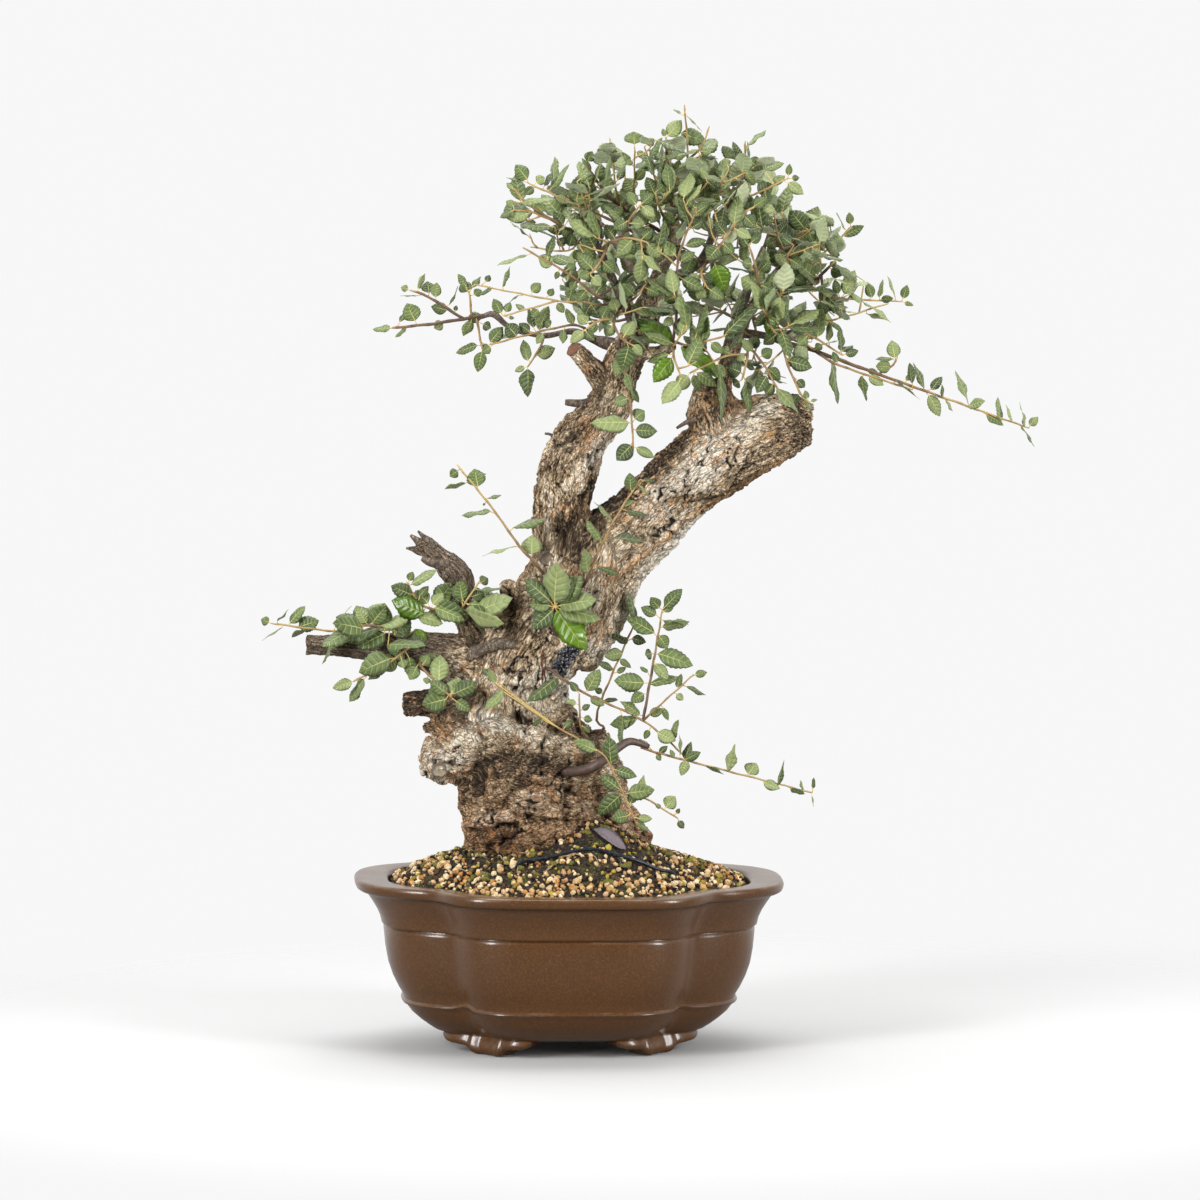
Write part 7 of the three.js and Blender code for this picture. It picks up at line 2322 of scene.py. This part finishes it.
def clay_finish():
    m = Finish("brown_clay", IOR=1.3, Coat_Weight=0.6, Coat_Roughness=0.19)
    place = m.place()
    fine = m.grain(480.0, 2.2, place)
    coarse = m.grain(40.0, 1.6, place)
    base = m.ramp(fine["Mask"], (0, 60, 34, 9), (0.5, 72, 43, 12), (1, 92, 60, 26))
    base = m.tint(base, coarse["Mask"], 0.35, (84, 52, 20))
    base = m.tint(base, m.range(m.noise(place, 700.0, 2), 0.7, 0.76), 0.35, (140, 104, 70))
    dust = m.group(DUST, Amount=0.3, Scale=30.0)
    base = m.mix(dust["Mask"], base, colour(150, 134, 118))
    rough = m.plus(m.times(coarse["Mask"], 0.12), m.times(fine["Mask"], 0.08))
    rough = m.plus(m.plus(rough, m.times(dust["Mask"], 0.3)), 0.3)
    normal = m.bump(fine["Height"], 0.3, 0.0005)
    return m.done(base, rough, m.bump(coarse["Height"], 0.3, 0.0022, normal))


# Cork: flakes and chips in a limb's own frame, dark cracks, painted shade in the trunk's hollows and painted
# light on its swellings, rusty edges, bare fibres on dead limbs
def cork_finish():
    m = Finish("cork_bark", IOR=1.35)
    # The crack value holds the bark's cracks and also painted shade in the trunk's hollows
    limb_place = m.attribute("limb_place", "Vector")
    deep = m.attribute("crack")
    flakes = m.cracks(m.vector("MULTIPLY", limb_place, (1, 1, 0.28)), 0.25, 0.1, 5.0)
    chips = m.cracks(m.vector("MULTIPLY", limb_place, (1, 1, 0.45)), 0.62, 0.14, 1.6)
    speckle = m.grain(0.62, 4.2, m.vector("MULTIPLY", limb_place, (1, 1, 0.6)))
    # The weathering tone also carries painted light on the swellings and painted shade in the hollows
    tone = m.swing(m.attribute("weathering_and_painted_relief_shade"), 1.0, 0.56)
    for share, part in ((0.3, flakes["Tone"]), (0.34, chips["Tone"]), (0.26, m.attribute("plate")),
                        (0.42, speckle["Mask"])):
        tone = m.swing(part, share, tone)
    face = m.ramp(tone, (0, 48, 38, 30), (0.2, 86, 71, 56), (0.4, 148, 125, 96), (0.6, 198, 173, 140),
                  (0.8, 228, 207, 176), (1, 248, 236, 216))
    rust = m.range(m.noise(m.place(), 30.0, 4, 0.6), 0.5, 0.6)
    edge = m.times(m.range(deep, 0.04, 0.12), m.range(deep, 0.4, 0.24))
    edge = m.times(m.times(edge, rust), m.range(tone, 0.25, 0.5))
    face = m.tint(face, edge, 0.7, (196, 138, 84))
    dark = m.most(m.times(flakes["Crack"], 0.66), m.times(chips["Crack"], 0.4))
    dark = m.most(dark, m.range(deep, 0.36, 0.98))
    face = m.tint(face, m.attribute("rust"), 0.75, (206, 160, 110), clamp=True)
    strands = m.noise(m.vector("MULTIPLY", limb_place, (1, 1, 0.05)), 0.8, 5, 0.6)
    bare = m.ramp(strands, (0.3, 54, 45, 38), (0.5, 116, 101, 86), (0.7, 172, 156, 136))
    face = m.mix(m.times(m.attribute("fibre"), 0.85), face, bare)
    base = m.mix(dark, face, colour(44, 34, 26))
    low = m.range(m.parts(m.place())["Z"], 0.3, 0.18)
    base = m.mix(m.times(low, 0.7), base, m.darker(base, (206, 168, 130)))
    rough = m.math("SUBTRACT", 0.95, m.times(tone, 0.15))
    normal = m.bump(speckle["Height"], 0.8, 0.0022)
    normal = m.bump(chips["Height"], 0.7, 0.0014, normal)
    return m.done(base, rough, m.bump(flakes["Height"], 0.8, 0.0024, normal))


# Thin limbs, from smooth young skin to cracked grey bark
def arm_finish():
    m = Finish("arm_bark")
    place = m.place()
    old = m.attribute("old")
    grain = m.grain(420.0, 3.0, m.vector("MULTIPLY", place, (1, 1, 0.4)))
    cracks = m.cracks(place, 300.0, 0.14, 0.002)
    young = m.ramp(grain["Mask"], (0, 58, 43, 37), (1, 88, 68, 58))
    aged = m.ramp(grain["Mask"], (0, 42, 35, 29), (0.5, 94, 81, 67), (1, 156, 139, 116))
    base = m.mix(old, young, aged)
    base = m.tint(base, cracks["Crack"], m.times(old, 0.7), (40, 32, 26))
    normal = m.bump(m.times(grain["Height"], m.math("MULTIPLY_ADD", old, 0.8, 0.2)), 0.5, 0.0008)
    normal = m.bump(m.times(cracks["Height"], old), 0.5, 0.0008, normal)
    return m.done(base, m.math("MULTIPLY_ADD", old, 0.3, 0.55), normal)


def twig_finish():
    m = Finish("twig_bark")
    grain = m.grain(900.0, 2.4)
    speckle = m.times(m.math("SUBTRACT", grain["Mask"], 0.5), 0.4)
    tone = m.plus(m.attribute("youth"), speckle, clamp=True)
    base = m.ramp(tone, (0, 78, 58, 44), (0.35, 114, 88, 58), (0.7, 146, 119, 74), (1, 166, 142, 90))
    return m.done(base, 0.62, m.bump(grain["Height"], 0.3, 0.0004))


# A leaf's face: three shades from dark to pale, and the shade and strength of its veins
def leaf_finish(name, shades, vein_shade, strength, roughness, **settings):
    m = Finish(name, **settings)
    veins = m.group(LEAF_VEINS, Pairs=6.0, Fineness=0.095)
    blotch = m.grain(240.0, 1.8)
    tone = m.swing(blotch["Mask"], 0.3, m.attribute("tone"))
    base = m.ramp(tone, *[(place, *shade) for place, shade in zip((0, 0.5, 1), shades)])
    base = m.tint(base, m.most(veins["Midrib"], m.times(veins["Veins"], 0.62)), strength, vein_shade)
    base = m.tint(base, veins["Margin"], 0.15, vein_shade)
    rough = m.plus(m.times(blotch["Mask"], 0.12), roughness)
    normal = m.bump(veins["Height"], 0.5, 0.0007)
    return m.done(base, rough, m.bump(blotch["Height"], 0.2, 0.0003, normal))


def stalk_finish():
    m = Finish("leaf_stalk")
    tone = m.plus(m.attribute("tone"), m.times(m.noise(m.place(), 700.0), 0.3), clamp=True)
    base = m.ramp(tone, (0, 176, 140, 74), (1, 204, 182, 112))
    return m.done(base, 0.6, m.bump(m.noise(m.place(), 1500.0), 0.2, 0.0002))


# Bare wood of cuts and scars: growth rings round the middle and a dark rim
def cut_finish():
    m = Finish("cut_wood")
    ring = m.attribute("ring")
    waver = m.times(m.noise(m.place(), 260.0, 4), 0.5)
    bands = m.math("SINE", m.times(m.plus(ring, waver), 38.0))
    grain = m.grain(700.0, 3.2)
    shades = m.ramp(m.attribute("tint"), (0, 84, 62, 62), (0.3, 128, 84, 62), (0.6, 150, 134, 116),
                    (0.8, 168, 156, 134))
    base = m.mix(m.range(bands, -0.2, 1.0, 0.0, 0.45), shades, m.darker(shades, (150, 140, 128)))
    base = m.mix(m.times(grain["Mask"], 0.45), base, m.darker(base, (96, 84, 74)))
    base = m.tint(base, m.range(ring, 0.84, 1.05), 0.7, (70, 58, 48))
    return m.done(base, 0.85, m.bump(grain["Height"], 0.6, 0.0008, m.bump(bands, 0.3, 0.0006)))


def moss_finish():
    m = Finish("moss")
    grain = m.grain(1100.0, 3.0)
    base = m.ramp(grain["Mask"], (0, 44, 46, 14), (0.5, 92, 94, 30), (1, 150, 148, 62))
    base = m.tint(base, m.grain(90.0, 2.0)["Mask"], 0.5, (104, 84, 44))
    return m.done(base, 0.95, m.bump(grain["Height"], 0.9, 0.0016))


def soil_finish():
    m = Finish("soil_bed")
    place = m.place()
    crumbs = m.cracks(place, 330.0, 0.3, 0.003)
    fine = m.grain(800.0, 3.0, place)
    base = m.ramp(crumbs["Tone"], (0, 28, 19, 10), (0.5, 50, 36, 20), (0.8, 80, 60, 34), (1, 120, 96, 60))
    moss = m.range(m.noise(place, 42.0, 5, 0.7), 0.5, 0.62)
    green = m.ramp(fine["Mask"], (0, 58, 62, 24), (1, 128, 128, 56))
    base = m.mix(m.times(moss, 0.8), base, green)
    base = m.tint(base, crumbs["Crack"], 0.7, (20, 14, 10))
    normal = m.bump(crumbs["Height"], 0.9, 0.002)
    return m.done(base, 0.95, m.bump(fine["Height"], 0.5, 0.0006, normal))


# Grains of pumice, baked clay and bark: one shade for each grain
GRAIN_SHADES = [
    (236, 218, 180), (198, 162, 108), (188, 134, 66), (206, 172, 136), (166, 152, 58), (104, 100, 34),
    (96, 70, 42), (38, 27, 17),
]


def grain_finish():
    m = Finish("soil_grain")
    shades = [(i / len(GRAIN_SHADES), *shade) for i, shade in enumerate(GRAIN_SHADES)]
    base = m.ramp(m.attribute("tint"), *shades, stepped=True)
    fine = m.grain(600.0, 2.6)
    base = m.mix(m.times(fine["Mask"], 0.45), base, m.darker(base, (140, 110, 80)))
    base = m.mix(m.attribute("tone"), m.darker(base, (206, 186, 160)), base)
    return m.done(base, 0.92, m.bump(fine["Height"], 0.8, 0.0008))


def wire_finish():
    m = Finish("tie_wire", Metallic=0.55)
    scratches = m.grain(1400.0, 3.0, m.vector("MULTIPLY", m.place(), (0.25, 1, 1)))
    base = m.ramp(scratches["Mask"], (0, 17, 19, 24), (0.8, 38, 42, 52), (1, 116, 122, 134))
    rough = m.plus(m.times(scratches["Mask"], 0.2), 0.28)
    return m.done(base, rough, m.bump(scratches["Height"], 0.2, 0.0002))


CLAY = clay_finish()
CORK_BARK = cork_finish()
ARM_BARK = arm_finish()
TWIG_BARK = twig_finish()
GREY_LEAF = leaf_finish("grey_green_leaf", [(44, 62, 20), (78, 96, 44), (128, 140, 88)],
                        (188, 188, 118), 0.8, 0.48, Sheen_Weight=0.12)
GLOSSY_LEAF = leaf_finish("glossy_leaf", [(66, 96, 16), (90, 122, 26), (116, 144, 44)],
                          (170, 180, 84), 0.6, 0.24, Coat_Weight=0.15)
LEAF_UNDERSIDE = leaf_finish("leaf_underside", [(128, 144, 98), (150, 162, 118), (172, 180, 142)],
                             (194, 196, 144), 0.7, 0.66, Sheen_Weight=0.2)
DRY_LEAF = leaf_finish("dry_leaf", [(92, 82, 88), (104, 94, 100), (124, 112, 116)],
                       (142, 128, 124), 0.5, 0.55)
LEAF_STALK = stalk_finish()
SOIL_BED = soil_finish()
GRAIN = grain_finish()
WIRE = wire_finish()
CUT_WOOD = cut_finish()
MOSS = moss_finish()
PASTE = grained_finish("wound_paste", 420.0, 2.0, [(0, 10, 11, 16), (1, 34, 36, 48)], 0.22, 0.8, 0.0016,
                       Coat_Weight=0.8, Coat_Roughness=0.08)
SAP = grained_finish("dried_sap", 600.0, 2.4, [(0, 44, 22, 12), (1, 108, 60, 30)], 0.35, 0.4, 0.0006)
FINE_ROOT = grained_finish("fine_root", 900.0, 2.6, [(0, 92, 74, 56), (1, 176, 156, 130)], 0.85, 0.4, 0.0004)
DRAIN_PLASTIC = grained_finish("drain_plastic", 600.0, 2.0, [(0, 28, 30, 29), (1, 52, 54, 51)],
                               0.55, 0.2, 0.0003)


def add_camera():
    data = bpy.data.cameras.new("camera")
    data.sensor_width = SENSOR
    data.lens = SENSOR * VIEW_DISTANCE / VIEW_WIDTH
    data.clip_end = 30
    camera = add_object("camera", data)
    camera.location = (np.array(VIEW_MIDDLE) + VIEW_DISTANCE * VIEWER_WAY) * MM + POT_MIDDLE
    camera.rotation_euler = (math.pi / 2 - VIEW_TILT, 0, 0)
    bpy.context.scene.camera = camera


# A pale floor that fades out into the pale surroundings; the light that it throws back is weaker
FLOOR_REACH = 2.4
FLOOR_SIDES = 96
FLOOR_FADE = (0.38, 0.95)
FLOOR_SEEN = ((0.5, 0.5, 0.5, 1), (0.52, 0.52, 0.52, 1))
FLOOR_BOUNCE = ((0.24, 0.24, 0.24, 1), (0.28, 0.28, 0.28, 1))


def add_floor():
    angle = round_angles(FLOOR_SIDES)
    ring = np.stack([FLOOR_REACH * np.cos(angle), FLOOR_REACH * np.sin(angle), 0 * angle], -1)
    mesh = bpy.data.meshes.new("floor")
    mesh.from_pydata(ring.tolist(), [], [tuple(range(FLOOR_SIDES))])
    floor = add_object("floor", mesh)
    floor.location.z = cad_low.z
    m = Finish("pale_floor")
    length = m.add("ShaderNodeVectorMath", operation="LENGTH")
    m.feed(length.inputs[0], m.place())
    m.feed(m.skin.inputs["Alpha"], m.range(length.outputs["Value"], FLOOR_FADE[1], FLOOR_FADE[0]))
    cloud = m.noise(m.place(), 3.0)
    seen_directly = m.add("ShaderNodeLightPath").outputs["Is Camera Ray"]
    base = m.mix(seen_directly, m.mix(cloud, *FLOOR_BOUNCE), m.mix(cloud, *FLOOR_SEEN))
    mesh.materials.append(m.done(base, 0.85, m.bump(cloud, 0.05, 0.001)))


# Soft lights: place, the point that they face, width and height, power
SOFT_LIGHTS = {
    "left_softbox": ((-2.0, -1.9, 1.2), (0, 0, 0.4), (0.6, 1.8), 100),
    "right_softbox": ((2.1, -1.7, 1.0), (0, 0, 0.4), (0.6, 1.8), 84),
    "top_softbox": ((0, 0.3, 2.7), (0, 0, 0.3), (1.8, 1.8), 66),
}
BACKGROUND_SEEN = 0.935
BEHIND_LIGHT = (0.26, 0.9)


def add_soft_light(name, place, aim, size, power):
    data = bpy.data.lights.new(name, "AREA")
    data.shape = "RECTANGLE"
    data.size, data.size_y = size
    data.energy = power
    light = add_object(name, data)
    light.location = place
    light.rotation_euler = (Vector(aim) - Vector(place)).to_track_quat("-Z", "Y").to_euler()


# Pale surroundings, brighter behind the tree than in front of it
def add_surroundings():
    world = bpy.data.worlds.new("pale_studio")
    bpy.context.scene.world = world
    world.use_nodes = True
    w = NodeWriter(world.node_tree)
    background = world.node_tree.nodes["Background"]
    seen_directly = w.add("ShaderNodeLightPath").outputs["Is Camera Ray"]
    behind = w.range(w.parts(w.place("Generated"))["Y"], -0.5, 0.6, *BEHIND_LIGHT)
    w.feed(background.inputs["Color"], (1, 1, 1, 1))
    w.feed(background.inputs["Strength"], w.most(w.times(seen_directly, BACKGROUND_SEEN), behind))


bpy.context.scene.view_settings.view_transform = "Standard"
add_camera()
add_floor()
for name, settings in SOFT_LIGHTS.items():
    add_soft_light(name, *settings)
add_surroundings()
build_pot()
build_lattice(-1, "drain_mesh_left", "drain_lattice_left")
build_lattice(1, "drain_mesh_right", "drain_lattice_right")
build_soil()
bark_surface = build_trunk()
build_cuts(bark_surface)
build_wound(bark_surface)
build_arms()
build_grains(bark_surface)
build_moss(bark_surface)
build_fine_roots(bark_surface)
build_wire()
build_fallen_leaf()
for number, name in enumerate(SPRAYS):
    build_spray(name, 5000 + 97 * number)
